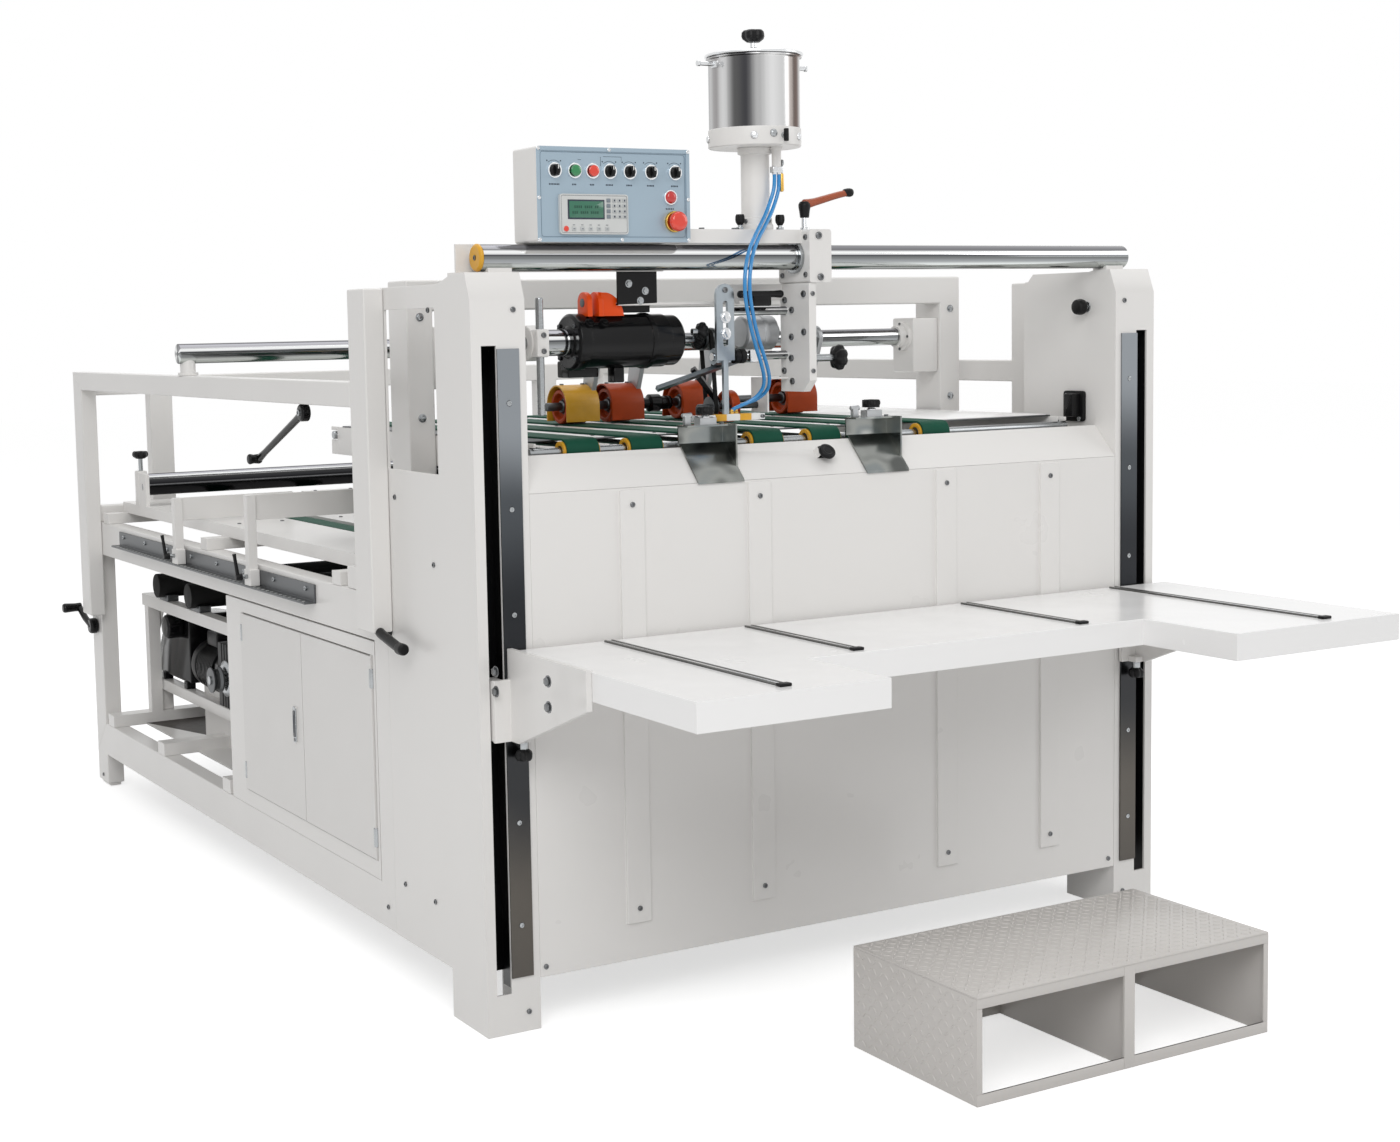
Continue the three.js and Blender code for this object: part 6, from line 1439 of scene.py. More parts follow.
class GLUER_OT_control_box(bpy.types.Operator):
    """Control box with its face, buttons, lamp, display unit and unlettered marks."""
    bl_idname = "gluer.control_box"
    bl_label = "Control box"

    def execute(self, context):
        row = [(x, CONTROL_HEIGHT) for x in (START, STOP, *SELECTORS)]

        def front(centres, normals):
            return (centres[:, 1] < 0.0042) & (centres[:, 2] > 1.5575) & (centres[:, 0] > 0.1502)

        def bezel(centres, normals):
            return (centres[:, 1] < 0.0029) & np.any([near(centres, place, 0.0155) for place in row], 0)

        def unit(centres, normals):
            inside = (centres[:, 0] > DISPLAY[0][0] - 0.001) & (centres[:, 0] < DISPLAY[0][1] + 0.001)
            return inside & (centres[:, 2] < DISPLAY[1][1] + 0.001) & (centres[:,
                                                                               1] < 0.0029) & (centres[:, 2]
                                                                                                  > 1.570)

        def lamp(centres, normals):
            return (centres[:, 1] < 0.0029) & near(centres, LAMP, 0.014)

        def collar(centres, normals):
            return (centres[:, 1] < 0.0029) & near(centres, ESTOP, 0.022)

        softened("control_box", "white_paint", regions=[
            ("panel_enamel", front), ("zinc", bezel), ("display_case", unit), ("lamp_red", lamp),
            ("wheel_yellow", collar)])
        self.face_screws()
        self.buttons()
        self.display()
        self.printing()
        return {"FINISHED"}

    def face_screws(self):
        """Screws round the frame of the face, and a fine groove line inside it."""
        left, right, bottom, top = 0.1545, 0.4925, 1.5615, 1.7365
        places = [(x, 0, z) for x in (left, right) for z in (bottom, 1.642, top)]
        places += [((left + right) / 2 - 0.012, 0, top), (0.338, 0, bottom)]
        piece("box_screws", screws(places, (0, -1, 0), 0.0038, 0.0022), "bright_steel", "control_box")
        inner = eased(rectangle((0.1605, 0.4865), (1.5675, 1.7305)), 0.006)
        line = np.array([(x, FACE, z) for x, z in np.vstack([inner, inner[:1]])])
        piece("face_line", tube(line, 0.0005, 6, up=(0, 1, 0.01)), "panel_line", "control_box")

    def buttons(self):
        """Domed push buttons, selectors with a bar grip, the lamp lens and the mushroom head, in
        chromed bezels."""
        places = [(x, CONTROL_HEIGHT) for x in (START, STOP, *SELECTORS)]
        rings = joined([ring("y", place, 0.0118, 0.0150, -0.0026, FACE, 0.0008, 40) for place in places])
        lip = ring("y", LAMP, 0.0122, 0.0148, -0.0030, FACE, 0.0010, 40)
        piece("button_rings", rings + lip, "bezel_chrome", "control_box")
        for node, x, look in (("start_button", START, "button_green"), ("stop_button", STOP, "button_red")):
            place = (x, CONTROL_HEIGHT)
            lens = turned("y", place, [(0, -0.0106), (0.0060, -0.0104), (0.0104, -0.0090),
                                       (0.0110, -0.0076), (0.0110, -0.0054), (0.0084, -0.0053),
                                       (0.0084, 0.0130), (0, 0.0130)], 0.0008, 40)
            piece(node + "_lens", lens, look, node, True)
        for number, x in enumerate(SELECTORS, 1):
            node = f"selector_{number}"
            place = (x, CONTROL_HEIGHT)
            base = turned("y", place, [(0, -0.0072), (0.0088, -0.0070), (0.0108, -0.0056),
                                       (0.0110, -0.0024), (0.0084, -0.0023), (0.0084, 0.0160), (0, 0.0160)],
                          0.0007, 40)
            grip = prism("z", eased(rectangle((x - 0.0032, x + 0.0032), (-0.0162, -0.0066)), 0.0016),
                         CONTROL_HEIGHT - 0.0106, CONTROL_HEIGHT + 0.0106, 0.0016)
            piece(node + "_knob", base + grip, "black_plastic", node, True)
            pointer = block((x - 0.0009, x + 0.0009), (-0.0166, -0.0158),
                            (CONTROL_HEIGHT + 0.002, CONTROL_HEIGHT + 0.0095), 0.0002)
            piece(node + "_pointer", pointer, "mark_white", node)
        dome = turned("y", LAMP, [(0, -0.0088), (0.0060, -0.0082), (0.0102, -0.0060), (0.0124, -0.0024),
                                  (0.0124, FACE), (0, FACE)], 0.0016, 40)
        piece("lamp_lens", dome, "lamp_red", "control_box")
        head = turned("y", ESTOP, [(0, -0.0250), (0.0100, -0.0247), (0.0165, -0.0226), (0.0196, -0.0185),
                                   (0.0200, -0.0150), (0.0190, -0.0115), (0.0128, -0.0108),
                                   (0.0128, 0.0100), (0, 0.0100)], 0.0018, 64)
        piece("estop_head", head, "button_red", "emergency_stop", True)
        plate = turned("y", ESTOP, [(0.0136, -0.0044), (0.0200, -0.0042), (0.0212, -0.0028),
                                    (0.0212, 0.0030), (0.0136, 0.0030), (0.0136, -0.0044)], 0.0006, 64)
        piece("estop_collar", plate, "brass", "control_box")

    def display(self):
        """Display unit: a framed green screen, keys in two columns beside it and a row of keys below."""
        (left, right), (bottom, top) = DISPLAY
        y = FACE - 0.007
        lip = eased(rectangle((left + 0.003, right - 0.003), (bottom + 0.003, top - 0.003)), 0.004)
        closed = np.vstack([lip, lip[:1]])
        rim = tube(np.array([(x, y, z) for x, z in closed]), 0.0007, 6, up=(0, 1, 0.01))
        piece("display_rim", rim, "zinc", "control_box")
        screen = ((left + 0.020, left + 0.096), (top - 0.046, top - 0.014))
        frame_skin = block((screen[0][0] - 0.003, screen[0][1] + 0.003), (y - 0.0008, y + 0.001),
                           (screen[1][0] - 0.003, screen[1][1] + 0.003), 0.0005, "y")
        piece("screen_frame", frame_skin, "mark_dark", "control_box")
        piece("screen_glass", block(screen[0], (y - 0.0012, y), screen[1], 0.0002, "y"), "screen_green",
              "control_box")
        segments = [(screen[0][0] + 0.008 + 0.0046 * i, screen[1][1] - 0.011 - 0.011 * j)
                    for j in range(2) for i in range(13) if (i * 3 + j) % 5]
        piece("screen_segments", marks(segments, 0.0026, 0.0050, y - 0.0011, 0.0003), "screen_dark",
              "control_box")
        grey = [(left + 0.108, top - 0.012 - 0.0105 * j) for j in range(4)]
        light = [(left + 0.121 + 0.0115 * i, top - 0.012 - 0.0105 * j) for i in range(3) for j in range(4)]
        bottom_row = [(left + 0.030 + 0.0185 * i, bottom + 0.0105) for i in range(5)]
        key = block((-0.0044, 0.0044), (-0.0016, 0.0004), (-0.0038, 0.0038), 0.0008, "y")
        piece("display_keys_grey", scattered(key, [(x, y, z) for x, z in grey]), "key_grey", "control_box")
        piece("display_keys_light", scattered(key, [(x, y, z) for x, z in light + bottom_row]), "key_light",
              "control_box")
        dots = marks([(x, z) for x, z in light], 0.0030, 0.0036, y - 0.0016)
        dots += marks([(x, z) for x, z in bottom_row], 0.0042, 0.0010, y - 0.0016)
        dots += marks([(x, bottom + 0.0180) for x, z in bottom_row], 0.0050, 0.0010, y)
        piece("display_marks", dots, "mark_dark", "control_box")
        red_key = turned("y", (left + 0.013, bottom + 0.0105), [(0, -0.0022), (0.0048, -0.0020),
                                                                (0.0056, -0.0006), (0.0056, 0.001),
                                                                (0, 0.001)], 0.0005, 24, start=y)
        piece("display_red_key", red_key, "button_red", "control_box")

    def printing(self):
        """Unlettered marks: dashes under each control, arcs with end dots over the selectors."""
        dashes = [(x + (i - count / 2 + 0.5) * 0.0034, CONTROL_HEIGHT - 0.0265) for x,
                  count in ((0.190, 7), (START, 3), (STOP, 3), (0.313, 5), (0.358, 4), (0.407, 5),
                            (0.463, 5)) for i in range(count)]
        dashes += [(LAMP[0] + (i - 2) * 0.004, LAMP[1] - 0.0225) for i in range(5)]
        skin = marks(dashes, 0.0022, 0.0030, FACE)
        for x in SELECTORS:
            arc = disc_outline((x, CONTROL_HEIGHT), 0.0195, 9, math.radians(50), math.radians(130))
            skin += stroke(arc, 0.0009, FACE)
            ends = [(x + side * 0.0150, CONTROL_HEIGHT + 0.0185) for side in (-1, 1)]
            skin += marks(ends, 0.0024, 0.0024, FACE)
        skin += stroke([(START + 0.009, CONTROL_HEIGHT + 0.0215), (0.250, CONTROL_HEIGHT + 0.0215)], 0.0008,
                       FACE)
        skin += stroke([(0.294, CONTROL_HEIGHT + 0.010), (0.294, CONTROL_HEIGHT + 0.028)], 0.0008, FACE)
        skin += stroke([(0.300, CONTROL_HEIGHT + 0.0285), (0.341, CONTROL_HEIGHT + 0.0285),
                        (0.341, CONTROL_HEIGHT + 0.0215)], 0.0008, FACE)
        piece("face_marks", skin, "mark_dark", "control_box")


# Glue carriage, glue head and pot

CARRIAGE = (0.794, 0.008)
HANG_SCREWS = [(0.030, 1.452), (0.074, 1.419), (0.100, 1.440), (0.030, 1.372), (0.076, 1.362),
               (0.077, 1.317), (0.074, 1.268), (0.104, 1.290)]
LEVER = (0.820, 0.062)
LEVER_REACH, LEVER_RISE = 0.116, 0.026
STAR = (0.064, 1.316)
PLATE_FACE = 0.7935
TEE = ((0.653, 0.764), 0.066, 1.453)
MOTOR_SPAN = (0.290, 0.545)
BELT_PLANE = 0.625
WHEEL_AXIS = (0.134, 1.218)
POT = (0.708, 0.080)
POT_HEIGHT = 0.186
PAN_RADIUS = 0.095
POT_RING = PAN_RADIUS + 0.002
EAR_TIP = 0.133
RING_BOLTS = [math.radians(angle) for angle in (-124, -54, 16, 86, 156)]


class GLUER_OT_carriage(bpy.types.Operator):
    """Glue carriage on the cross rod with its hanging plate, hanger, clamp lever and star knob."""
    bl_idname = "gluer.carriage"
    bl_label = "Glue carriage"

    def execute(self, context):
        softened("carriage_block", "white_paint")
        softened("hang_plate", "white_paint", regions=[("fork_rod_chrome", self.rod_at(FORK_ROD)),
                                                       ("upper_rod_chrome", self.rod_at(UPPER_ROD))])
        softened("motor_hanger", "black_enamel", regions=[
            ("white_paint", lambda centres, normals: (centres[:, 2] < 1.4405) & (centres[:, 0] > 0.481)
             | (centres[:, 2] < 1.4405) & (centres[:, 1] > 0.125) & (centres[:, 2] > 1.4335))])
        self.screws()
        self.clamp_lever()
        self.star_knob()
        self.tee_handle()
        return {"FINISHED"}

    @staticmethod
    def rod_at(axis):
        """A test for the faces of one of the fork's rods."""
        return lambda centres, normals: ((np.hypot(centres[:, 1] - axis[0],
                                                   centres[:,
                                                           2] - axis[1]) < 0.0096) & (centres[:, 0]
                                                                                         < PLATE_FACE)
                                         & (abs(normals[:, 0]) < 0.5))

    def screws(self):
        left, front = CARRIAGE
        top = Extent("carriage_block").high[2]
        face = [(0.821, front, 1.4865), (0.817, front, top - 0.013)]
        piece("carriage_screws", screws(face, (0, -1, 0), 0.0075, 0.004), "screw_steel", "carriage_block")
        sides = [(left, 0.022, 1.570), (left, 0.022, 1.492), (left, 0.108, 1.492)]
        piece("carriage_side_screws", screws(sides, (-1, 0, 0), 0.006, 0.0035), "screw_steel",
              "carriage_block")
        ear = ring("x", Extent("main_rod").middle[1:], 0.0268, 0.034, left - 0.009, left - 0.0005, 0.001,
                   64)
        piece("carriage_seal", ear, "zinc", "carriage_block")
        piece("hang_screws", screws([(left, y, z) for y, z in HANG_SCREWS], (-1, 0, 0), 0.007, 0.0045),
              "screw_steel", "hang_plate")
        edge_screws = [(0.803, 0.012, 1.290), (0.803, 0.012, 1.452)]
        piece("hang_edge_screws", screws(edge_screws, (0, -1, 0), 0.005, 0.003), "screw_steel",
              "hang_plate")
        hanger = Extent("motor_hanger")
        places = [(0.413, hanger.low[1], 1.478), (0.452, hanger.low[1], 1.463),
                  (0.440, hanger.low[1], 1.443)]
        piece("hanger_bolts", bolts(places, (0, -1, 0), 0.006, 0.005), "zinc", "motor_hanger")
        arm = Extent("carriage_block")
        heads = [(x, arm.low[1] + 0.050, arm.high[2]) for x in (0.560, 0.640)]
        piece("arm_screws", screws(heads, (0, 0, 1), 0.006, 0.004), "screw_steel", "carriage_block")
        for x in (0.657, 0.757):
            stud = turned("z", (x, 0.062), [(0, 0), (0.008, 0), (0.008, 0.006), (0.0045, 0.006),
                                            (0.0045, 0.014), (0, 0.014)], 0.0006, 24, start=top)
            piece(f"foot_stud_{x * 1000:.0f}", stud, "zinc", "carriage_block")
            grip = grip_knob("z", (x, 0.062), top + 0.010, 0.0105, 0.022, 6)
            piece(f"foot_knob_{x * 1000:.0f}", grip, "black_plastic", "carriage_block")

    def clamp_lever(self):
        """A silver stem, a black hub with a button, and an arm that sweeps up to a round grip."""
        x, y = LEVER
        low = Extent("clamp_lever").low[2]
        hub_low = low + 0.026
        top = hub_low + 0.034
        stem = turned("z", (x, y), [(0, low), (0.010, low), (0.010, low + 0.005), (0.0068, low + 0.006),
                                    (0.0068, hub_low + 0.002), (0, hub_low + 0.002)], 0.0006, 32)
        piece("lever_stem", stem, "bright_steel", "clamp_lever")
        hub = turned("z", (x, y), [(0, hub_low), (0.0095, hub_low), (0.0112, hub_low + 0.014),
                                   (0.0126, hub_low + 0.021), (0.0130, top - 0.006), (0.0095, top),
                                   (0, top + 0.0005)], 0.0015, 32)
        piece("lever_hub", hub, "black_plastic", "clamp_lever", True)
        share = np.linspace(0, 1, 15)
        path = np.stack([x + LEVER_REACH * share, np.full(15, y),
                         top - 0.0055 + LEVER_RISE * (1.35 * share ** 1.3 - 0.35 * share ** 3)], -1)
        radius = np.interp(share, [0, 0.06, 0.2, 0.6, 0.9, 1], [0.0104, 0.0102, 0.0084, 0.0074, 0.0070,
                                                                0.0068])
        piece("lever_arm", tube(path, radius, 16), "lever_orange", "clamp_lever")
        end = turned("x", (y, path[-1][2]), [(0, -0.014), (0.0070, -0.014), (0.0088, -0.006),
                                             (0.0094, 0.002), (0.0078, 0.008), (0, 0.0098)], 0.002, 32,
                     start=path[-1][0])
        piece("lever_grip", end, "black_plastic", "clamp_lever")
        button = turned("z", (x, y), [(0, -0.001), (0.0062, -0.001), (0.0058, 0.0022), (0, 0.0026)], 0.0006,
                        24, start=top)
        piece("lever_button", button, "lever_orange", "clamp_lever")

    def star_knob(self):
        knob_extent = Extent("star_knob")
        end = knob_extent.high[0] - 0.024
        start = knob_extent.low[0]
        shaft = rod("x", STAR, 0.0079, start, end + 0.002, 0.0008, 32)
        piece("star_shaft", shaft, "zinc", "star_knob")
        collar = turned("x", STAR, [(0.008, 0.8135), (0.0135, 0.8135), (0.0135, 0.826), (0.0115, 0.829),
                                    (0.0115, 0.834), (0.008, 0.834), (0.008, 0.8135)], 0.0006, 32)
        piece("star_collar", collar, "black_plastic", "star_knob")
        piece("star_grip", grip_knob("x", STAR, end, 0.028, 0.0238, 7), "black_plastic", "star_knob", True)

    def tee_handle(self):
        """Black cross handle on a short block, in front of the hanging plate's upper rod."""
        (x0, x1), y, z = TEE
        bar = turned("x", (y, z), [(0, x0), (0.0070, x0 + 0.001), (0.0082, x0 + 0.006),
                                   (0.0070, x0 + 0.022), (0.0070, x1 - 0.022), (0.0082, x1 - 0.006),
                                   (0.0070, x1 - 0.001), (0, x1)], 0.001, 32)
        middle = x0 + (x1 - x0) * 0.52
        body = block((middle - 0.022, middle + 0.022), (y - 0.006, y + 0.030), (z - 0.025, z + 0.001),
                     0.003)
        piece("tee_handle", bar + body, "black_enamel", "hang_plate")


class GLUER_OT_glue_head(bpy.types.Operator):
    """Glue motor with its guard and pulley, fork plate, drive belt, glue wheel and glue shoe."""
    bl_idname = "gluer.glue_head"
    bl_label = "Glue head"

    def execute(self, context):
        self.motor()
        self.guard()
        self.pulley_and_belt()
        self.fork()
        self.wheel()
        self.back_motor()
        return {"FINISHED"}

    def motor(self):
        left, right = MOTOR_SPAN
        shell = turned("x", MOTOR_AXIS, [(0, left), (0.030, left), (0.034, left + 0.003),
                                         (0.052, left + 0.0005), (0.058, left + 0.006),
                                         (0.058, left + 0.030), (0.0550, left + 0.0305),
                                         (0.0550, right - 0.082), (0.058, right - 0.0815),
                                         (0.058, right - 0.070), (0.0550, right - 0.0695),
                                         (0.0550, right - 0.034), (0.0525, right - 0.0335),
                                         (0.0525, right - 0.006), (0.047, right), (0.026, right),
                                         (0.024, right + 0.003), (0, right + 0.003)], 0.0012, 96)
        piece("motor_shell", shell, "black_enamel", "glue_motor", True)
        collar = turned("x", MOTOR_AXIS, [(0, -0.064), (0.0268, -0.064), (0.0268, -0.012),
                                          (0.0255, -0.0115), (0.0255, -0.009), (0.0270, -0.0085),
                                          (0.0270, 0.001), (0, 0.001)], 0.0006, 64, start=left)
        piece("motor_collar", collar, "motor_collar_chrome", "glue_motor")
        start, end = left - 0.098, left - 0.064
        clamp = turned("x", MOTOR_AXIS, [(0, start), (0.034, start), (0.036, start + 0.002),
                                         (0.036, end - 0.002), (0.034, end), (0, end)], 0.001, 64)
        lug = block((start + 0.0025, end - 0.0025), (0.098, 0.134), (1.333, 1.389), 0.005, "x")
        piece("motor_clamp", clamp + lug, "white_paint", "glue_motor")
        tail = start - 0.014
        shaft = rod("x", MOTOR_AXIS, 0.014, tail, start + 0.001, 0.0008, 40)
        piece("motor_tail", shaft, "zinc", "glue_motor")
        low, high = 1.216, 1.452
        middle = (start + end) / 2
        drop = turned("z", (middle, 0.114), [(0, low), (0.0072, low), (0.0080, low + 0.003),
                                             (0.0080, high - 0.003), (0.0072, high), (0, high)], 0.0008, 32)
        piece("drop_rod", drop, "zinc", "glue_motor")
        heads = [(middle, 0.098, z) for z in (1.345, 1.377)]
        piece("clamp_screws", screws(heads, (0, -1, 0), 0.0055, 0.004), "screw_steel", "glue_motor")
        outward = np.array((0, -math.cos(math.radians(40)), math.sin(math.radians(40))))
        base = np.array((0, *MOTOR_AXIS)) + outward * 0.054
        eye = ring("z", (0, 0), 0.0035, 0.0095, 0, 0.009, 0.001, 24) + rod("z", (0, 0), 0.0060, 0.004,
                                                                           0.013, 0.001, 24)
        lugs = joined([eye.aimed(outward).moved(x, base[1], base[2]) for x in (0.318, 0.352)])
        piece("motor_lugs", lugs, "black_enamel", "glue_motor")
        around = np.linspace(0, 2 * math.pi, 4, endpoint=False) + math.pi / 4
        bolt_places = [(left, MOTOR_AXIS[0] + 0.046 * math.cos(a),
                        MOTOR_AXIS[1] + 0.046 * math.sin(a)) for a in around]
        piece("motor_end_screws", screws(bolt_places, (-1, 0, 0), 0.0042, 0.003), "dark_steel",
              "glue_motor")
        box = block((0.300, 0.372), (0.166, 0.214), (1.288, 1.322), 0.003)
        foot = block((0.392, 0.416), (0.136, 0.166), (1.276, 1.308), 0.003)
        piece("motor_box", box + foot, "black_enamel", "glue_motor")

    def guard(self):
        """Two orange cheeks with round tops over the motor, tied by a slanting block."""
        y, z = 0.136, 1.4185
        outline = np.vstack([[(y - 0.022, z - 0.006), (y + 0.022, z - 0.006)],
                             disc_outline((y, z + 0.022), 0.022, 20, 0, math.pi)])
        cheeks = joined([prism("x", outline, x, x + 0.012, 0.0015) for x in (0.320, 0.346)])
        hood = smooth_path([(0.352, 0, z + 0.043), (0.372, 0, z + 0.041), (0.390, 0, z + 0.030),
                            (0.402, 0, z + 0.013), (0.407, 0, z - 0.006)], 6)[:, ::2]
        body = prism("y", np.vstack([[(0.352, z - 0.006)], hood]), y - 0.020, y + 0.020, 0.002)
        piece("motor_guard", cheeks + body, "guard_orange", "glue_motor")
        slot_outline = prism("x", disc_outline((y, z + 0.022), 0.009, 20), 0.3188, 0.3206, 0.0004)
        piece("guard_eye", slot_outline, "dark_steel", "glue_motor")

    def pulley_and_belt(self):
        """A grooved pulley on the motor's shaft, two lobed knobs at its end, and the belt down to
        the glue wheel."""
        axle = rod("x", MOTOR_AXIS, 0.0088, 0.562, 0.640, 0.001, 32)
        piece("motor_shaft", axle, "zinc", "glue_motor")
        first = BELT_PLANE - 0.013
        wheel = turned("x", MOTOR_AXIS, [(0, 0), (0.024, 0), (0.024, 0.004), (0.019, 0.009), (0.019, 0.017),
                                         (0.024, 0.022), (0.024, 0.026), (0, 0.026)], 0.0006, 48,
                       start=first)
        piece("motor_pulley", wheel, "dark_steel", "glue_motor")
        piece("pulley_knob", grip_knob("x", MOTOR_AXIS, first - 0.020, 0.0225, 0.020, 7), "black_plastic",
              "glue_motor")
        second = (0.112, 1.378)
        stem = rod("x", second, 0.006, 0.566, 0.590, 0.0006, 24)
        piece("second_knob_stem", stem, "zinc", "glue_motor")
        piece("second_knob", grip_knob("x", second, 0.580, 0.0195, 0.018, 7), "black_plastic", "glue_motor")
        band = belt_band("x", [MOTOR_AXIS, WHEEL_AXIS], (0.0196, 0.0176),
                         (BELT_PLANE - 0.0045, BELT_PLANE + 0.0045), 0.0045, 20)
        piece("drive_belt", band, "black_rubber", "hang_plate")

    def fork(self):
        """The slotted plate keeps its outline; bolts, clamp collars, the diagonal bar and the
        shoe's blocks join it."""
        softened("fork_plate", "fork_steel", FINE_EDGE, regions=[
            ("bright_steel", lambda centres, normals: centres[:, 2] < 1.2035)])
        places = [(0.628, 0.078, z) for z in (1.372, 1.406)]
        piece("fork_bolts", bolts(places, (0, -1, 0), 0.0095, 0.007), "bright_steel", "fork_plate")
        piece("fork_pin", screws([(0.628, 0.078, 1.4625)], (0, -1, 0), 0.006, 0.003), "screw_steel",
              "fork_plate")
        grips = joined([ring("x", FORK_ROD, 0.0092, 0.0155, x, x + 0.012, 0.0008,
                             32) for x in (0.660, 0.674)])
        piece("rod_collars", grips, "black_plastic", "hang_plate")
        knuckle = block((0.694, 0.722), (0.086, 0.114), (1.310, 1.338), 0.003, "x")
        piece("rod_knuckle", knuckle, "bright_steel", "hang_plate")
        start, end = np.array((0.479, 0.112, 1.261)), np.array((0.693, 0.112, 1.319))
        share = np.linspace(0, 1, 5)[:, None]
        bar = tube(start + (end - start) * share, 0.0070, 4, up=(0, 1, 0))
        piece("diagonal_bar", bar, "fork_steel", "hang_plate")
        link_start, link_end = np.array((0.575, 0.125, 1.300)), np.array((0.640, 0.128, 1.226))
        link = tube(link_start + (link_end - link_start) * share, 0.0080, 4, up=(0, 1, 0))
        piece("belt_link", link, "black_enamel", "hang_plate")
        low, high = 1.190, 1.203
        blocks = [((0.600, 0.628), "wheel_yellow"), ((0.629, 0.660), "mark_white"),
                  ((0.661, 0.690), "wheel_yellow"), ((0.691, 0.712), "mark_white")]
        for number, (xs, look) in enumerate(blocks, 1):
            skin = block(xs, (0.0772, 0.0986), (low - 0.0006, high + 0.0008), 0.0012, "x")
            piece(f"shoe_block_{number}", skin, look, "fork_plate")
        piece("shoe_screws", screws([(x, 0.0768, 1.1965) for x in (0.556, 0.590, 0.718)], (0, -1, 0), 0.004,
                                    0.0025), "screw_steel", "fork_plate")
        nipples = joined([turned("z", (x, y), [(0, 0), (0.0060, 0), (0.0060, 0.005), (0.0044, 0.006),
                                               (0.0044, 0.010), (0, 0.010)], 0.0004, 20, start=high) for x,
                          y in ((0.644, 0.0845), (0.658, 0.090))])
        piece("shoe_nipples", nipples, "brass", "fork_plate")

    def wheel(self):
        """Orange wheel with a dished web, spoke holes shown as discs of painted shade, and its belt pulley at
        the left."""
        extent = Extent("glue_wheel")
        left, right = 0.658, 0.678
        tread = turned("x", WHEEL_AXIS, [(0.013, 0.6645), (0.0262, 0.6640), (0.0266, left + 0.001),
                                         (0.0285, left), (0.0330, left), (0.0340, left + 0.002),
                                         (0.0340, right - 0.002), (0.0330, right), (0.0285, right),
                                         (0.0266, right - 0.001), (0.0262, 0.6720), (0.013, 0.6715),
                                         (0.013, 0.6645)], 0.0006, 64)
        piece("glue_wheel_rim", tread, "wheel_orange", "glue_wheel", True)
        boss = turned("x", WHEEL_AXIS, [(0, 0.650), (0.0126, 0.650), (0.0131, 0.652), (0.0131, 0.673),
                                        (0.0068, 0.674), (0.0068, extent.high[0]), (0, extent.high[0])],
                      0.0005, 32)
        piece("glue_wheel_boss", boss, "dark_steel", "glue_wheel")
        first = BELT_PLANE - 0.007
        axle = turned("x", WHEEL_AXIS, [(0, 0.592), (0.0066, 0.592), (0.0066, first), (0.0218, first),
                                        (0.0218, first + 0.0015), (0.0172, first + 0.003),
                                        (0.0172, first + 0.011), (0.0218, first + 0.0125),
                                        (0.0218, first + 0.014), (0.0066, first + 0.014), (0.0066, 0.651),
                                        (0, 0.651)], 0.0004, 48)
        piece("wheel_pulley", axle, "dark_steel", "glue_wheel")
        around = np.linspace(0, 2 * math.pi, 6, endpoint=False)
        places = [(0.6637, WHEEL_AXIS[0] + 0.0195 * math.cos(a),
                   WHEEL_AXIS[1] + 0.0195 * math.sin(a)) for a in around]
        # Painted shade: dark discs stand for the spoke holes.
        hole_shades = scattered(rod("z", (0, 0), 0.0044, 0, 0.0004, 0.0001, 16).aimed((-1, 0, 0)), places)
        piece("wheel_hole_shades", hole_shades, "mark_dark", "glue_wheel")

    def back_motor(self):
        """Small grey gear motor behind the hoses, on the inner side of the hanging plate."""
        axis = (0.140, 1.372)
        shell = turned("x", axis, [(0, 0.702), (0.030, 0.702), (0.036, 0.706), (0.036, 0.746),
                                   (0.0385, 0.747), (0.0385, 0.757), (0.0365, 0.758), (0.0365, 0.780),
                                   (0.020, 0.781), (0.020, 0.7936), (0, 0.7936)], 0.0012, 64)
        piece("back_motor", shell, "cast_grey", "hang_plate")


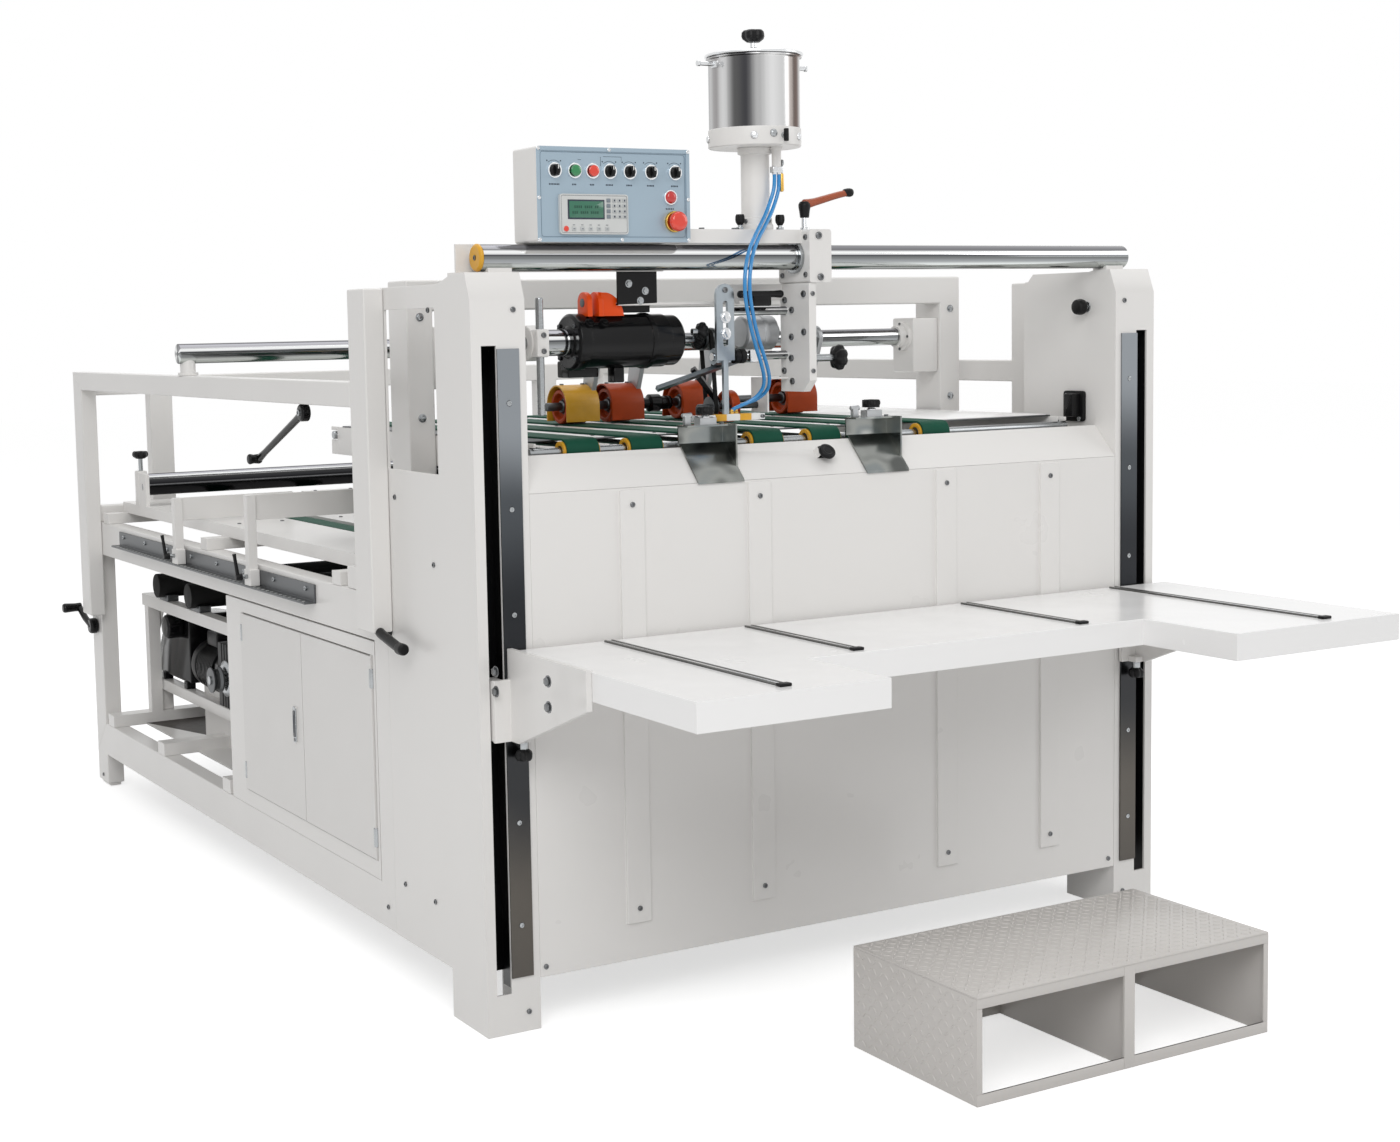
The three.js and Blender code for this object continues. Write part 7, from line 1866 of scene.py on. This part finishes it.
class GLUER_OT_glue_pot(bpy.types.Operator):
    """Glue pot on its post, with its ring, ears, lid, drain valve and hose nipples."""
    bl_idname = "gluer.glue_pot"
    bl_label = "Glue pot"

    def execute(self, context):
        self.post()
        self.pan()
        self.ring_fittings()
        self.lid()
        self.valve()
        return {"FINISHED"}

    def post(self):
        extent = Extent("pot_post")
        low, high = extent.low[2], extent.high[2]
        skin = turned("z", POT, [(0.026, low), (0.0370, low), (0.0370, low + 0.010), (0.0345, low + 0.012),
                                 (0.0345, low + 0.024), (0.0300, low + 0.026), (0.0300, high - 0.014),
                                 (0.0360, high - 0.012), (0.0370, high), (0.026, high), (0.026, low)],
                      0.0012, 96)
        piece("post_tube", skin, "white_paint", "pot_post", True)
        around = np.linspace(0, 2 * math.pi, 4, endpoint=False) + math.radians(20)
        heads = [(POT[0] + 0.0340 * math.cos(a), POT[1] + 0.0340 * math.sin(a),
                  low + 0.018) for a in around]
        skins = [screw_head(0.005, 0.003).aimed((math.cos(a), math.sin(a), 0)).moved(*head)
                 for a, head in zip(around, heads)]
        piece("post_screws", joined(skins), "screw_steel", "pot_post")

    def pan(self):
        extent = Extent("glue_pot")
        high = extent.high[2]
        low = high - POT_HEIGHT
        wall = PAN_RADIUS - 0.0025
        shell = turned("z", POT, [(0, low + 0.004), (PAN_RADIUS - 0.005, low + 0.004),
                                  (PAN_RADIUS, low + 0.010), (PAN_RADIUS, high - 0.006),
                                  (PAN_RADIUS + 0.0015, high - 0.005), (PAN_RADIUS + 0.0046, high - 0.0042),
                                  (PAN_RADIUS + 0.005, high - 0.002), (PAN_RADIUS + 0.0035, high),
                                  (wall + 0.0005, high), (wall, high - 0.003), (wall, low + 0.009),
                                  (0, low + 0.009)], 0.0014, 128)
        piece("pan", shell, "pot_steel", "glue_pot", True)
        ring_top = low + 0.038
        skirt = turned("z", POT, [(0, low), (POT_RING - 0.002, low), (POT_RING, low + 0.002),
                                  (POT_RING, ring_top - 0.001), (POT_RING - 0.001, ring_top),
                                  (PAN_RADIUS + 0.0003, ring_top), (PAN_RADIUS - 0.0002, ring_top - 0.002),
                                  (PAN_RADIUS - 0.0002, low + 0.003), (0, low + 0.003)], 0.0006, 128)
        piece("pot_ring", skirt, "white_paint", "glue_pot")
        z = high - 0.017
        ears = []
        for way in (-1, 1):
            root = POT[0] + way * PAN_RADIUS
            tip = POT[0] + way * EAR_TIP
            low_x, high_x = min(root, tip), max(root, tip)
            ears.append(block((min(root - way * 0.002, root + way * 0.006),
                               max(root - way * 0.002, root + way * 0.006)),
                              (POT[1] - 0.009, POT[1] + 0.009), (z - 0.008, z + 0.006), 0.001, "x"))
            ears.append(rod("x", (POT[1], z), 0.0048, low_x, high_x, 0.001, 24))
            ears.append(rod("x", (POT[1], z), 0.0062, tip - 0.006, tip + 0.0005, 0.0015, 24))
        piece("pot_ears", joined(ears), "bright_steel", "glue_pot")

    def ring_fittings(self):
        """Domed bolts round the ring, a small vent screw and a black drain knob."""
        z = Extent("glue_pot").high[2] - POT_HEIGHT + 0.019

        def around(angle, skin, out=POT_RING, rise=0.0):
            way = np.array((math.cos(angle), math.sin(angle), 0))
            return skin.aimed(way).moved(*(np.array((*POT, z + rise)) + way * out))

        dome = turned("z", (0, 0), [(0, 0.0052), (0.0045, 0.0046), (0.0078, 0.0020), (0.0084, 0), (0, 0)],
                      0.0006, 24)
        piece("ring_bolts", joined([around(angle, dome) for angle in RING_BOLTS]), "bright_steel",
              "glue_pot")
        piece("ring_vent", around(math.radians(-100), dome, rise=0.004), "zinc", "glue_pot")
        stem = rod("z", (0, 0), 0.006, 0, 0.006, 0.0004, 20)
        grip = block((-0.0045, 0.0045), (-0.013, 0.013), (0.005, 0.013), 0.002)
        angle = math.radians(-86)
        piece("drain_stem", around(angle, stem), "zinc", "glue_pot")
        way = Vector((math.cos(angle), math.sin(angle), 0))
        turn = np.array(Matrix((Vector((0, 0, 1)).cross(way), Vector((0, 0, 1)), way)).transposed())
        wing = Skin(grip.points @ turn.T, *grip.faces).moved(*(np.array((*POT,
                                                                         z)) + np.array(way) * POT_RING))
        piece("drain_wing", wing, "black_plastic", "glue_pot")

    def lid(self):
        """Flat lid with a rolled rim, a silver stem on a washer and a lobed knob."""
        extent = Extent("pot_lid")
        low = extent.low[2] + 0.008
        top = extent.high[2]
        stem_low = low + 0.010
        rim = extent.size[0] / 2
        plug = rim - 0.013
        disc = turned("z", POT, [(0, low - 0.008), (plug - 0.002, low - 0.008), (plug, low - 0.006),
                                 (plug, low), (rim - 0.002, low), (rim, low + 0.002),
                                 (rim - 0.0004, low + 0.0055), (rim - 0.004, low + 0.0068),
                                 (rim - 0.012, low + 0.0050), (rim * 0.5, low + 0.0075),
                                 (0.018, low + 0.0095), (0, stem_low)], 0.0014, 128)
        piece("lid_disc", disc, "lid_steel", "pot_lid", True)
        stem = turned("z", POT, [(0, stem_low - 0.001), (0.0145, stem_low - 0.001),
                                 (0.0145, stem_low + 0.003), (0.0095, stem_low + 0.004),
                                 (0.0095, stem_low + 0.009), (0.0068, stem_low + 0.010),
                                 (0.0068, top - 0.022), (0, top - 0.022)], 0.0006, 40)
        piece("lid_stem", stem, "bright_steel", "pot_lid")
        piece("lid_knob", grip_knob("z", POT, top - 0.0245, 0.025, 0.0243, 5), "black_plastic", "pot_lid")

    def valve(self):
        """Spout block below the pot, two hose nipples, and the brass lever on its hub."""
        high = Extent("glue_pot").high[2] - POT_HEIGHT
        low = Extent("glue_pot").low[2]
        x, y = 0.735, 0.040
        body = turned("z", (x, y), [(0, low + 0.014), (0.0080, low + 0.014), (0.0098, low + 0.018),
                                    (0.0098, high - 0.006), (0.0120, high - 0.005), (0.0120, high + 0.001),
                                    (0, high + 0.001)], 0.0006, 40)
        piece("spout", body, "white_paint", "glue_pot")
        manifold = block((x - 0.0125, x + 0.0125), (y - 0.007, y + 0.007), (low + 0.003, low + 0.016),
                         0.0015)
        nipples = joined([rod("z", (x + side * 0.0055, y), 0.0050, low, low + 0.004, 0.0003,
                              20) for side in (-1, 1)])
        piece("spout_manifold", manifold + nipples, "bright_steel", "glue_pot")
        handle = Extent("valve_handle")
        hub_z = handle.high[2] - 0.007
        hub = turned("x", (y, hub_z), [(0, handle.low[0]), (0.0068, handle.low[0]),
                                       (0.0068, handle.high[0] - 0.0006), (0.0045, handle.high[0]),
                                       (0, handle.high[0])], 0.0004, 32)
        piece("valve_hub", hub, "zinc", "valve_handle")
        share = np.linspace(0, 1, 12)
        path = np.stack([handle.low[0] + 0.0024 + 0 * share, y + 0 * share,
                         hub_z + 0.003 - (hub_z - handle.low[2]) * share - 0.003 * (1 - share)], -1)
        lever = tube(path, np.interp(share, [0, 0.3, 0.42, 0.9, 1],
                                     [0.0028, 0.0024, 0.0024, 0.0024, 0.0016]), 12, up=(0, 1, 0))
        piece("valve_lever", lever, "zinc", "valve_handle", True)
        grip_low, grip_high = handle.low[2] + 0.0004, handle.low[2] + 0.038
        grip = turned("z", (handle.low[0] + 0.0024, y), [(0, grip_low), (0.0030, grip_low),
                                                         (0.0046, grip_low + 0.004), (0.0040, grip_high),
                                                         (0, grip_high)], 0.001, 24)
        piece("valve_grip", grip, "brass", "valve_handle")


# Guides, cabinet, conveyor, drive unit and step

HINGE_INSET, HINGE_X, HINGE_LENGTH = 0.005, 0.002, 0.042
PLANK_COUNT = 6
PLANK_MARGIN, PLANK_GAP = 0.062, 0.092
HOLDER_INSET = 0.074
FENCE_KNOB_HEIGHT = 0.800
DRIVE = (0.230, 0.420)
DRIVE_START, DRIVE_LENGTH = 2.060, 0.230
DRUM_PLACES = (2.420, 2.120)
TREAD_PITCH = 0.0175


class GLUER_OT_front_guides(bpy.types.Operator):
    """Two bright bent guides that hook over the deflector, each with a clamp, a ring on the bar
    and a black knob."""
    bl_idname = "gluer.front_guides"
    bl_label = "Front guides"

    def execute(self, context):
        for side, place in (("left", 0.560), ("right", 0.986)):
            node = f"{side}_front_guide"
            extent = Extent(node)
            riser = extent.high[2] - 0.036
            middle = 0.055
            softened(node, "guide_steel", FINE_EDGE * 1.2, regions=[
                ("cast_grey", lambda centres, normals: centres[:, 2] > riser + 0.0002),
                ("black_plastic", lambda centres, normals: centres[:, 2] > riser + 0.0185)])
            stem_high = riser + 0.022
            stem = turned("z", (place, middle), [(0, riser + 0.013), (0.0100, riser + 0.013),
                                                 (0.0100, riser + 0.017), (0.0072, riser + 0.018),
                                                 (0.0072, stem_high), (0, stem_high)], 0.0006, 32)
            piece(f"{side}_guide_stem", stem, "bright_steel", node)
            piece(f"{side}_guide_knob", grip_knob("z", (place, middle), stem_high - 0.0022, 0.0206, 0.0168,
                                                  6), "black_plastic", node)
            heads = [(place + x, middle, riser + 0.0001) for x in (-0.040, 0.040)]
            piece(f"{side}_guide_screws", screws(heads, (0, 0, 1), 0.005, 0.003), "screw_steel", node)
            lever = block((place - 0.052, place - 0.038), (middle - 0.006, middle + 0.006),
                          (riser, riser + 0.020), 0.002)
            tip = turned("x", (middle, riser + 0.020), [(0, -0.056), (0.0045, -0.056), (0.0055, -0.034),
                                                        (0, -0.034)], 0.001, 20, start=place)
            piece(f"{side}_guide_catch", lever + tip, "cast_grey", node)
        return {"FINISHED"}


class GLUER_OT_cabinet(bpy.types.Operator):
    """Electrical cabinet with its two doors, the recessed latch and its hinge pins."""
    bl_idname = "gluer.cabinet"
    bl_label = "Cabinet"

    def execute(self, context):
        softened("cabinet", "white_paint")
        for node in ("front_cabinet_door", "rear_cabinet_door"):
            softened(node, "door_paint", 0.0022)
        for node in ("front_cabinet_door", "rear_cabinet_door"):
            leaf = Extent(node)
            y = leaf.low[1] + HINGE_INSET if node.startswith("front") else leaf.high[1] - HINGE_INSET
            pins = joined([rod("z", (HINGE_X, y), 0.0072, z, z + HINGE_LENGTH, 0.001,
                               20) for z in (leaf.low[2] + 0.030, leaf.high[2] - 0.072)])
            piece(f"{node}_pins", pins, "zinc", node)
        door = Extent("rear_cabinet_door")
        y, z = 1.001, door.middle[2]
        face = -0.007
        tray = prism("x", eased(rectangle((y - 0.0092, y + 0.0092), (z - 0.0432, z + 0.0432)), 0.004),
                     face - 0.0004, face + 0.003, 0.0008)
        pull = prism("x", eased(rectangle((y - 0.0058, y + 0.0058), (z - 0.030, z + 0.034)), 0.004),
                     face - 0.0024, face, 0.0010)
        lock = turned("x", (y, z - 0.0365), [(0, -0.0016), (0.0040, -0.0016), (0.0046, 0), (0, 0)], 0.0004,
                      24, start=face)
        piece("latch_tray", tray, "zinc", "rear_cabinet_door")
        piece("latch_pull", pull + lock, "dark_steel", "rear_cabinet_door")
        piece("latch_slot", block((face - 0.0030, face - 0.0022), (y - 0.0012, y + 0.0012),
                                  (z - 0.020, z + 0.024), 0.0003, "x"), "mark_dark", "rear_cabinet_door")
        return {"FINISHED"}


class GLUER_OT_conveyor(bpy.types.Operator):
    """Folding conveyor with its belts, press roller, side fences and crank."""
    bl_idname = "gluer.conveyor"
    bl_label = "Conveyor"

    def execute(self, context):
        self.bed()
        self.roller()
        self.fences()
        self.crank()
        return {"FINISHED"}

    def bed(self):
        """The planks keep their CAD form; belt bands in the gaps, screws and the belts' end rollers are added.
        """
        def belts(centres, normals):
            inside = np.zeros(len(centres), bool)
            for i in range(PLANK_COUNT - 1):
                inside |= abs(centres[:, 0] - self.gap_middle(i)) < 0.0302
            return inside & (centres[:, 2] > 0.857) & (centres[:, 2] < 0.885)

        softened("conveyor_bed", "white_paint", regions=[("belt_rubber", belts)])
        bands = []
        for i in range(PLANK_COUNT - 1):
            x = self.gap_middle(i)
            bands.append(block((x - 0.0285, x + 0.0285), (0.690, 2.610), (0.8838, 0.8866), 0.0012))
        piece("conveyor_belts", joined(bands), "belt_rubber", "conveyor_bed")
        width = self.plank_width()
        places = [(PLANK_MARGIN + i * (width + PLANK_GAP) + width / 2 + x, y,
                   0.890) for i in range(PLANK_COUNT) for x in (-0.06, 0.06) for y in (0.725, 1.650, 2.575)]
        piece("plank_screws", screws(places, (0, 0, 1), 0.0055, 0.0022), "screw_steel", "conveyor_bed")
        rollers = joined([rod("x", (y, 0.868), 0.0125, self.gap_middle(i) - 0.029,
                              self.gap_middle(i) + 0.029, 0.001,
                              24) for i in range(PLANK_COUNT - 1) for y in (0.697, 2.603)])
        piece("conveyor_rollers", rollers, "zinc", "conveyor_bed")

    @staticmethod
    def plank_width():
        """The width of each plank, so that the planks and gaps fill the machine between its margins."""
        return (MACHINE_WIDTH - PLANK_MARGIN * 2 - PLANK_GAP * (PLANK_COUNT - 1)) / PLANK_COUNT

    def gap_middle(self, i):
        """The middle of the gap after a plank, where a belt runs."""
        width = self.plank_width()
        return PLANK_MARGIN + width + i * (width + PLANK_GAP) + PLANK_GAP / 2

    def roller(self):
        """A black rubber roller, a chromed bar behind it, and an end holder with a tee knob at
        each side."""
        extent = Extent("press_roller")
        low, high = extent.low[0], extent.high[0]
        piece("roller_rubber", turned("x", ROLLER, [(0, low + 0.012), (0.022, low + 0.012),
                                                    (0.025, low + 0.015), (0.025, high - 0.015),
                                                    (0.022, high - 0.012), (0, high - 0.012)], 0.001, 64),
              "roller_black", "press_roller", True)
        piece("roller_journal", rod("x", ROLLER, 0.0088, low, high, 0.001, 24), "zinc", "press_roller")
        piece("roller_bar", rod("x", ROLLER_BAR, 0.014, 0.064, MACHINE_WIDTH - 0.064, 0.0015, 48),
              "roller_bar_chrome", "conveyor_bed")
        holders = []
        for x in (HOLDER_INSET, MACHINE_WIDTH - HOLDER_INSET):
            holders.append(block((x - 0.014, x + 0.014), (ROLLER_BAR[0] - 0.020, ROLLER_BAR[0] + 0.020),
                                 (0.888, 0.992), 0.004))
        piece("roller_holders", joined(holders), "white_paint", "conveyor_bed")
        for number, x in enumerate((HOLDER_INSET, MACHINE_WIDTH - HOLDER_INSET)):
            stem = rod("z", (x, ROLLER_BAR[0]), 0.0065, 0.990, 1.032, 0.0006, 24)
            piece(f"roller_stem_{number}", stem, "zinc", "conveyor_bed")
            piece(f"roller_knob_{number}", grip_knob("z", (x, ROLLER_BAR[0]), 1.028, 0.024, 0.022, 5),
                  "black_plastic", "conveyor_bed")

    def fences(self):
        """The rail with its slot line and screws, and the fences with small clamp levers and screws."""
        softened("fence_rail", "dark_steel", 0.001)
        rail = Extent("fence_rail")
        count = 8
        run = (rail.size[1] - 0.10) / (count - 1)
        places = [(rail.high[0] - 0.0052, rail.low[1] + 0.05 + i * run, 0.803) for i in range(count)]
        piece("rail_screws", screws(places, (-1, 0, 0), 0.0055, 0.004), "zinc", "fence_rail")
        teeth = [(rail.low[0] + 0.004, rail.low[1] + 0.02 + 0.03 * i, 0.7772) for i in range(51)]
        piece("rail_marks", scattered(block((-0.0012, 0.006), (-0.0012, 0.0012), (-0.0004, 0.0004), 0.0002),
                                      teeth), "mark_white", "fence_rail")
        for node in ("front_fence", "rear_fence"):
            softened(node, "white_paint", 0.0016)
            extent = Extent(node)
            x, y = extent.low[0], extent.middle[1]
            stem = rod("x", (y, FENCE_KNOB_HEIGHT), 0.0055, x - 0.016, x + 0.001, 0.0005, 20)
            piece(f"{node}_stem", stem, "zinc", node)
            hub = turned("x", (y, FENCE_KNOB_HEIGHT), [(0, -0.030), (0.0075, -0.030), (0.0095, -0.014),
                                                       (0, -0.014)], 0.0012, 24, start=x)
            share = np.linspace(0, 1, 8)
            arm = tube(np.stack([x - 0.024 - 0.008 * share, y + 0 * share,
                                 FENCE_KNOB_HEIGHT + 0.058 * share], -1),
                       np.interp(share, [0, 0.8, 1], [0.0052, 0.0042, 0.0050]), 12, up=(0, 1, 0))
            piece(f"{node}_lever", hub + arm, "black_plastic", node)
            edge = [(extent.high[0] - 0.02, extent.low[1] + 0.019,
                     extent.high[2] - z) for z in (0.018, 0.046)]
            piece(f"{node}_screws", screws(edge, (0, -1, 0), 0.0045, 0.003), "screw_steel", node)

    def crank(self):
        """A hub with a ring, a flat arm that bends near its end, and a round grip on a silver pin."""
        extent = Extent("crank_lever")
        hub = (0.830, extent.high[2] - 0.020)
        tip = (extent.high[1] - 0.013, extent.low[2] + 0.013)
        x0, x1 = -0.030, -0.016
        disc = turned("x", hub, [(0, x0 - 0.004), (0.016, x0 - 0.004), (0.020, x0), (0.020, x1 + 0.002),
                                 (0.017, x1 + 0.004), (0, x1 + 0.004)], 0.0015, 40)
        share = np.linspace(0, 1, 14)
        path = np.stack([np.full(14, (x0 + x1) / 2), hub[0] + (tip[0] - hub[0]) * share,
                         hub[1] + (tip[1] - hub[1]) * share], -1)
        arm = tube(path, np.interp(share, [0, 0.15, 0.85, 1], [0.0105, 0.0085, 0.0075, 0.0095]), 16,
                   up=(1, 0, 0))
        piece("crank_arm", disc + arm, "black_enamel", "crank_lever", True)
        grip = turned("x", tip, [(0, extent.low[0]), (0.0100, extent.low[0]),
                                 (0.0128, extent.low[0] + 0.004), (0.0105, extent.low[0] + 0.014),
                                 (0.0120, x1 - 0.006), (0.0090, x1), (0, x1)], 0.002, 40)
        piece("crank_grip", grip, "black_plastic", "crank_lever")
        piece("crank_pin", screws([(x0 - 0.004, *hub)], (-1, 0, 0), 0.0075, 0.004), "zinc", "crank_lever")


class GLUER_OT_drive_unit(bpy.types.Operator):
    """Lower tray with the finned drive motor, its gearbox, the pulley and its belt guard."""
    bl_idname = "gluer.drive_unit"
    bl_label = "Drive unit"

    def execute(self, context):
        start, length = DRIVE_START, DRIVE_LENGTH

        def motor(centres, normals):
            return (np.hypot(centres[:, 0] - DRIVE[0], centres[:,
                                                               2] - DRIVE[1]) < 0.0735) & (centres[:, 1]
                                                                                              > start)

        def gearbox(centres, normals):
            return ((abs(centres[:, 0] - DRIVE[0]) < 0.0655) & (abs(centres[:, 2] - DRIVE[1]) < 0.0955)
                    & (centres[:, 1] > start - 0.151) & (centres[:, 1] < start + 0.005))

        def floor(centres, normals):
            return (abs(normals[:, 2]) > 0.9) & (centres[:, 2] < 0.235) & (centres[:, 0] > 0.16)

        softened("base_tray", "white_paint", regions=[("tray_brown", floor), ("black_enamel", motor),
                                                      ("black_plastic", gearbox)])
        fins = joined([ring("y", DRIVE, 0.070, 0.0765, start + 0.040 + i * 0.0125,
                            start + 0.0445 + i * 0.0125, 0.0006, 48) for i in range(11)])
        piece("drive_fins", fins, "black_enamel", "base_tray")
        cowl = turned("y", DRIVE, [(0, 0.006), (0.050, 0.006), (0.074, -0.002), (0.0755, -0.040),
                                   (0.070, -0.042), (0, -0.042)], 0.003, 64, start=start + length)
        piece("drive_cowl", cowl, "black_plastic", "base_tray")
        slots = joined([ring("y", DRIVE, 0.012 + 0.010 * i, 0.016 + 0.010 * i, start + length + 0.0055,
                             start + length + 0.0068, 0.0003, 40) for i in range(4)])
        piece("cowl_grille", slots, "mark_dark", "base_tray")
        box = block((DRIVE[0] - 0.045, DRIVE[0] + 0.045), (start + 0.070, start + 0.160),
                    (DRIVE[1] + 0.066, DRIVE[1] + 0.108), 0.006)
        piece("drive_terminal_box", box, "black_plastic", "base_tray")
        face = DRIVE[0] - 0.065
        flange = turned("x", (start - 0.073, DRIVE[1]), [(0, -0.012), (0.040, -0.012), (0.052, -0.006),
                                                         (0.052, 0), (0, 0)], 0.002, 48, start=face)
        shaft = rod("x", (start - 0.073, DRIVE[1]), 0.012, face - 0.055, face - 0.010, 0.001, 32)
        piece("gearbox_flange", flange + shaft, "zinc", "base_tray")
        wheel = turned("x", (start - 0.073, DRIVE[1]), [(0.012, -0.050), (0.036, -0.050), (0.036, -0.046),
                                                        (0.030, -0.040), (0.030, -0.030), (0.036, -0.024),
                                                        (0.036, -0.020), (0.012, -0.020), (0.012, -0.050)],
                       0.0008, 48, start=face)
        piece("gearbox_pulley", wheel, "dark_steel", "base_tray")
        ribs = joined([block((DRIVE[0] - 0.0665, DRIVE[0] + 0.0665),
                             (start - 0.140 + 0.022 * i, start - 0.134 + 0.022 * i),
                             (DRIVE[1] - 0.0962, DRIVE[1] + 0.0962), 0.001) for i in range(6)])
        piece("gearbox_ribs", ribs, "black_plastic", "base_tray")
        self.rear_case()
        return {"FINISHED"}

    def rear_case(self):
        """Black case with a pulley and its light side plates on the beam behind the drive motor."""
        beam = block((0.160, 0.196), (1.700, 2.690), (0.300, 0.334), 0.003)
        feet = joined([block((0.160, 0.196), (y, y + 0.036), (0.236, 0.302),
                             0.003) for y in (1.720, 2.600)])
        piece("drive_beam", beam + feet, "white_paint", "base_tray")
        case = prism("x", eased([(2.340, 0.352), (2.640, 0.352), (2.640, 0.430), (2.560, 0.545),
                                 (2.340, 0.560)], 0.012), 0.170, 0.330, 0.004)
        drum = turned("x", (2.420, 0.520), [(0, 0.120), (0.030, 0.120), (0.036, 0.126), (0.036, 0.168),
                                            (0, 0.168)], 0.002, 48)
        saddle = joined([block((0.164, 0.192), (y, y + 0.030), (0.330, 0.356),
                               0.003) for y in (2.360, 2.580)])
        piece("drive_case", case + drum + saddle, "black_enamel", "base_tray")
        plate = prism("x", eased([(2.660, 0.334), (2.690, 0.334), (2.690, 0.585), (2.540, 0.585),
                                  (2.560, 0.552), (2.660, 0.420)], 0.004), 0.160, 0.165, 0.001)
        piece("drive_gusset", plate, "white_paint", "base_tray")
        top = Extent("base_tray").high[2]
        ends = (0.100, MACHINE_WIDTH - 0.100)
        drums = joined([rod("x", (y, top + 0.046), 0.036, *ends, 0.003, 48) for y in DRUM_PLACES])
        seats = joined([block((x - 0.018, x + 0.018), (y - 0.040, y + 0.040), (top - 0.0005, top + 0.020),
                              0.003) for x in (ends[0] + 0.038, ends[1] - 0.038) for y in DRUM_PLACES])
        piece("return_drums", drums, "black_rubber", "base_tray")
        piece("drum_seats", seats, "dark_steel", "base_tray")


def lozenge(length=0.0150, width=0.0050, height=0.0013):
    """A raised lens lying along X: half ellipse bars that meet at two points, with a ridge along
    the middle."""
    share = np.linspace(-1, 1, 7)
    half = width / 2 * np.sqrt(np.maximum(0, 1 - share ** 2))
    along = share * length / 2
    rim = np.concatenate([np.stack([along, half], -1), np.stack([along[::-1], -half[::-1]], -1)[1:-1]])
    top = rim * np.array((0.82, 0.45))
    rows = np.stack([np.column_stack([rim, np.full(len(rim), -0.0003)]),
                     np.column_stack([rim, np.zeros(len(rim))]),
                     np.column_stack([top, np.full(len(top), height)])])
    return grid(rows)


def tread(width, depth):
    """Lozenges at alternate slants on a square lattice: even places lean one way and odd places
    the other."""
    columns, rows = int(width / TREAD_PITCH), int(depth / TREAD_PITCH)
    x, y = np.meshgrid((np.arange(columns) + 0.5) * width / columns, (np.arange(rows) + 0.5) * depth / rows)
    odd = np.add.outer(np.arange(rows), np.arange(columns)) % 2 == 1
    unit = lozenge()
    even_places = np.stack([x[~odd], y[~odd], np.zeros((~odd).sum())], -1)
    odd_places = np.stack([x[odd], y[odd], np.zeros(odd.sum())], -1)
    return (scattered(unit.rotated("z", math.radians(45)), even_places)
            + scattered(unit.rotated("z", math.radians(-45)), odd_places))


class GLUER_OT_step(bpy.types.Operator):
    """Loose step of chequered sheet: raised lozenges on its top and outer sides, smooth cells and rails."""
    bl_idname = "gluer.step"
    bl_label = "Step"

    def execute(self, context):
        extent = Extent("step_platform")
        (x0, y0), (x1, y1, top) = extent.low[:2], extent.high
        wall, rail, lip = 0.004, 0.022, 0.008
        post = lip * 1.6
        middle = (x0 + x1) / 2
        sheets = [block((x0, x1), (y0, y1), (top - wall, top), 0.0012)]
        for left in (x0, middle - wall / 2, x1 - wall):
            sheets.append(block((left, left + wall), (y0 + wall, y1 - wall), (0, top - wall), 0.0008))
        for front in (y0, y1 - wall):
            sheets.append(block((x0, x1), (front, front + wall), (0, rail), 0.0008))
            sheets.append(block((x0, x1), (front, front + wall), (top - rail, top - wall), 0.0008))
            for left in (x0, x1 - lip * 1.5):
                sheets.append(block((left, left + lip * 1.5), (front, front + wall), (rail, top - rail),
                                    0.0008))
        sheets.append(block((middle - post, middle + post), (y0 - 0.001, y0 + wall + 0.001),
                            (0.001, top - wall), 0.0008))
        piece("step_sheets", joined(sheets), "step_paint", "step_platform", True)
        surface = tread(x1 - x0 - 0.012, y1 - y0 - 0.012).moved(x0 + 0.006, y0 + 0.006, top)
        side = tread(y1 - y0 - 0.012, top - 0.012)
        turn = np.array([(0, 0, -1), (1, 0, 0), (0, -1, 0)], float)
        left_side = Skin(side.points @ turn.T, *side.faces)
        left_side = left_side.moved(x0, y0 + 0.006, top - 0.006)
        right_side = left_side.mirrored(middle)
        piece("step_tread", surface, "step_paint", "step_platform")
        piece("step_side_treads", left_side + right_side, "step_paint", "step_platform")
        return {"FINISHED"}


# Panel, registration and run

OPERATORS = [
    GLUER_OT_stage, GLUER_OT_hoses, GLUER_OT_columns, GLUER_OT_front_panel, GLUER_OT_frames, GLUER_OT_bars,
    GLUER_OT_feed_bed, GLUER_OT_lift_table, GLUER_OT_control_box, GLUER_OT_carriage, GLUER_OT_glue_head,
    GLUER_OT_glue_pot, GLUER_OT_front_guides, GLUER_OT_cabinet, GLUER_OT_conveyor, GLUER_OT_drive_unit,
    GLUER_OT_step,
]


class GLUER_PT_panel(bpy.types.Panel):
    """Lists the pieces of the folder gluer."""
    bl_idname = "GLUER_PT_panel"
    bl_label = "Folder Gluer"
    bl_space_type = "VIEW_3D"
    bl_region_type = "UI"
    bl_category = "Folder Gluer"

    def draw(self, context):
        layout = self.layout
        for group in (context.scene.gluer_sizes, context.scene.gluer_paints):
            for name in group.bl_rna.properties.keys():
                if name not in ("rna_type", "name"):
                    layout.prop(group, name)
        for operator in OPERATORS:
            layout.operator(operator.bl_idname)


CLASSES = [GluerSizes, GluerPaints, *OPERATORS, GLUER_PT_panel]


def register():
    for made in CLASSES:
        bpy.utils.register_class(made)
    bpy.types.Scene.gluer_sizes = PointerProperty(type=GluerSizes)
    bpy.types.Scene.gluer_paints = PointerProperty(type=GluerPaints)


def unregister():
    del bpy.types.Scene.gluer_paints
    del bpy.types.Scene.gluer_sizes
    for made in reversed(CLASSES):
        bpy.utils.unregister_class(made)


def main():
    register()
    for operator in OPERATORS:
        group, name = operator.bl_idname.split(".")
        getattr(getattr(bpy.ops, group), name)()
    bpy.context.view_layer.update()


if __name__ == "__main__":
    main()
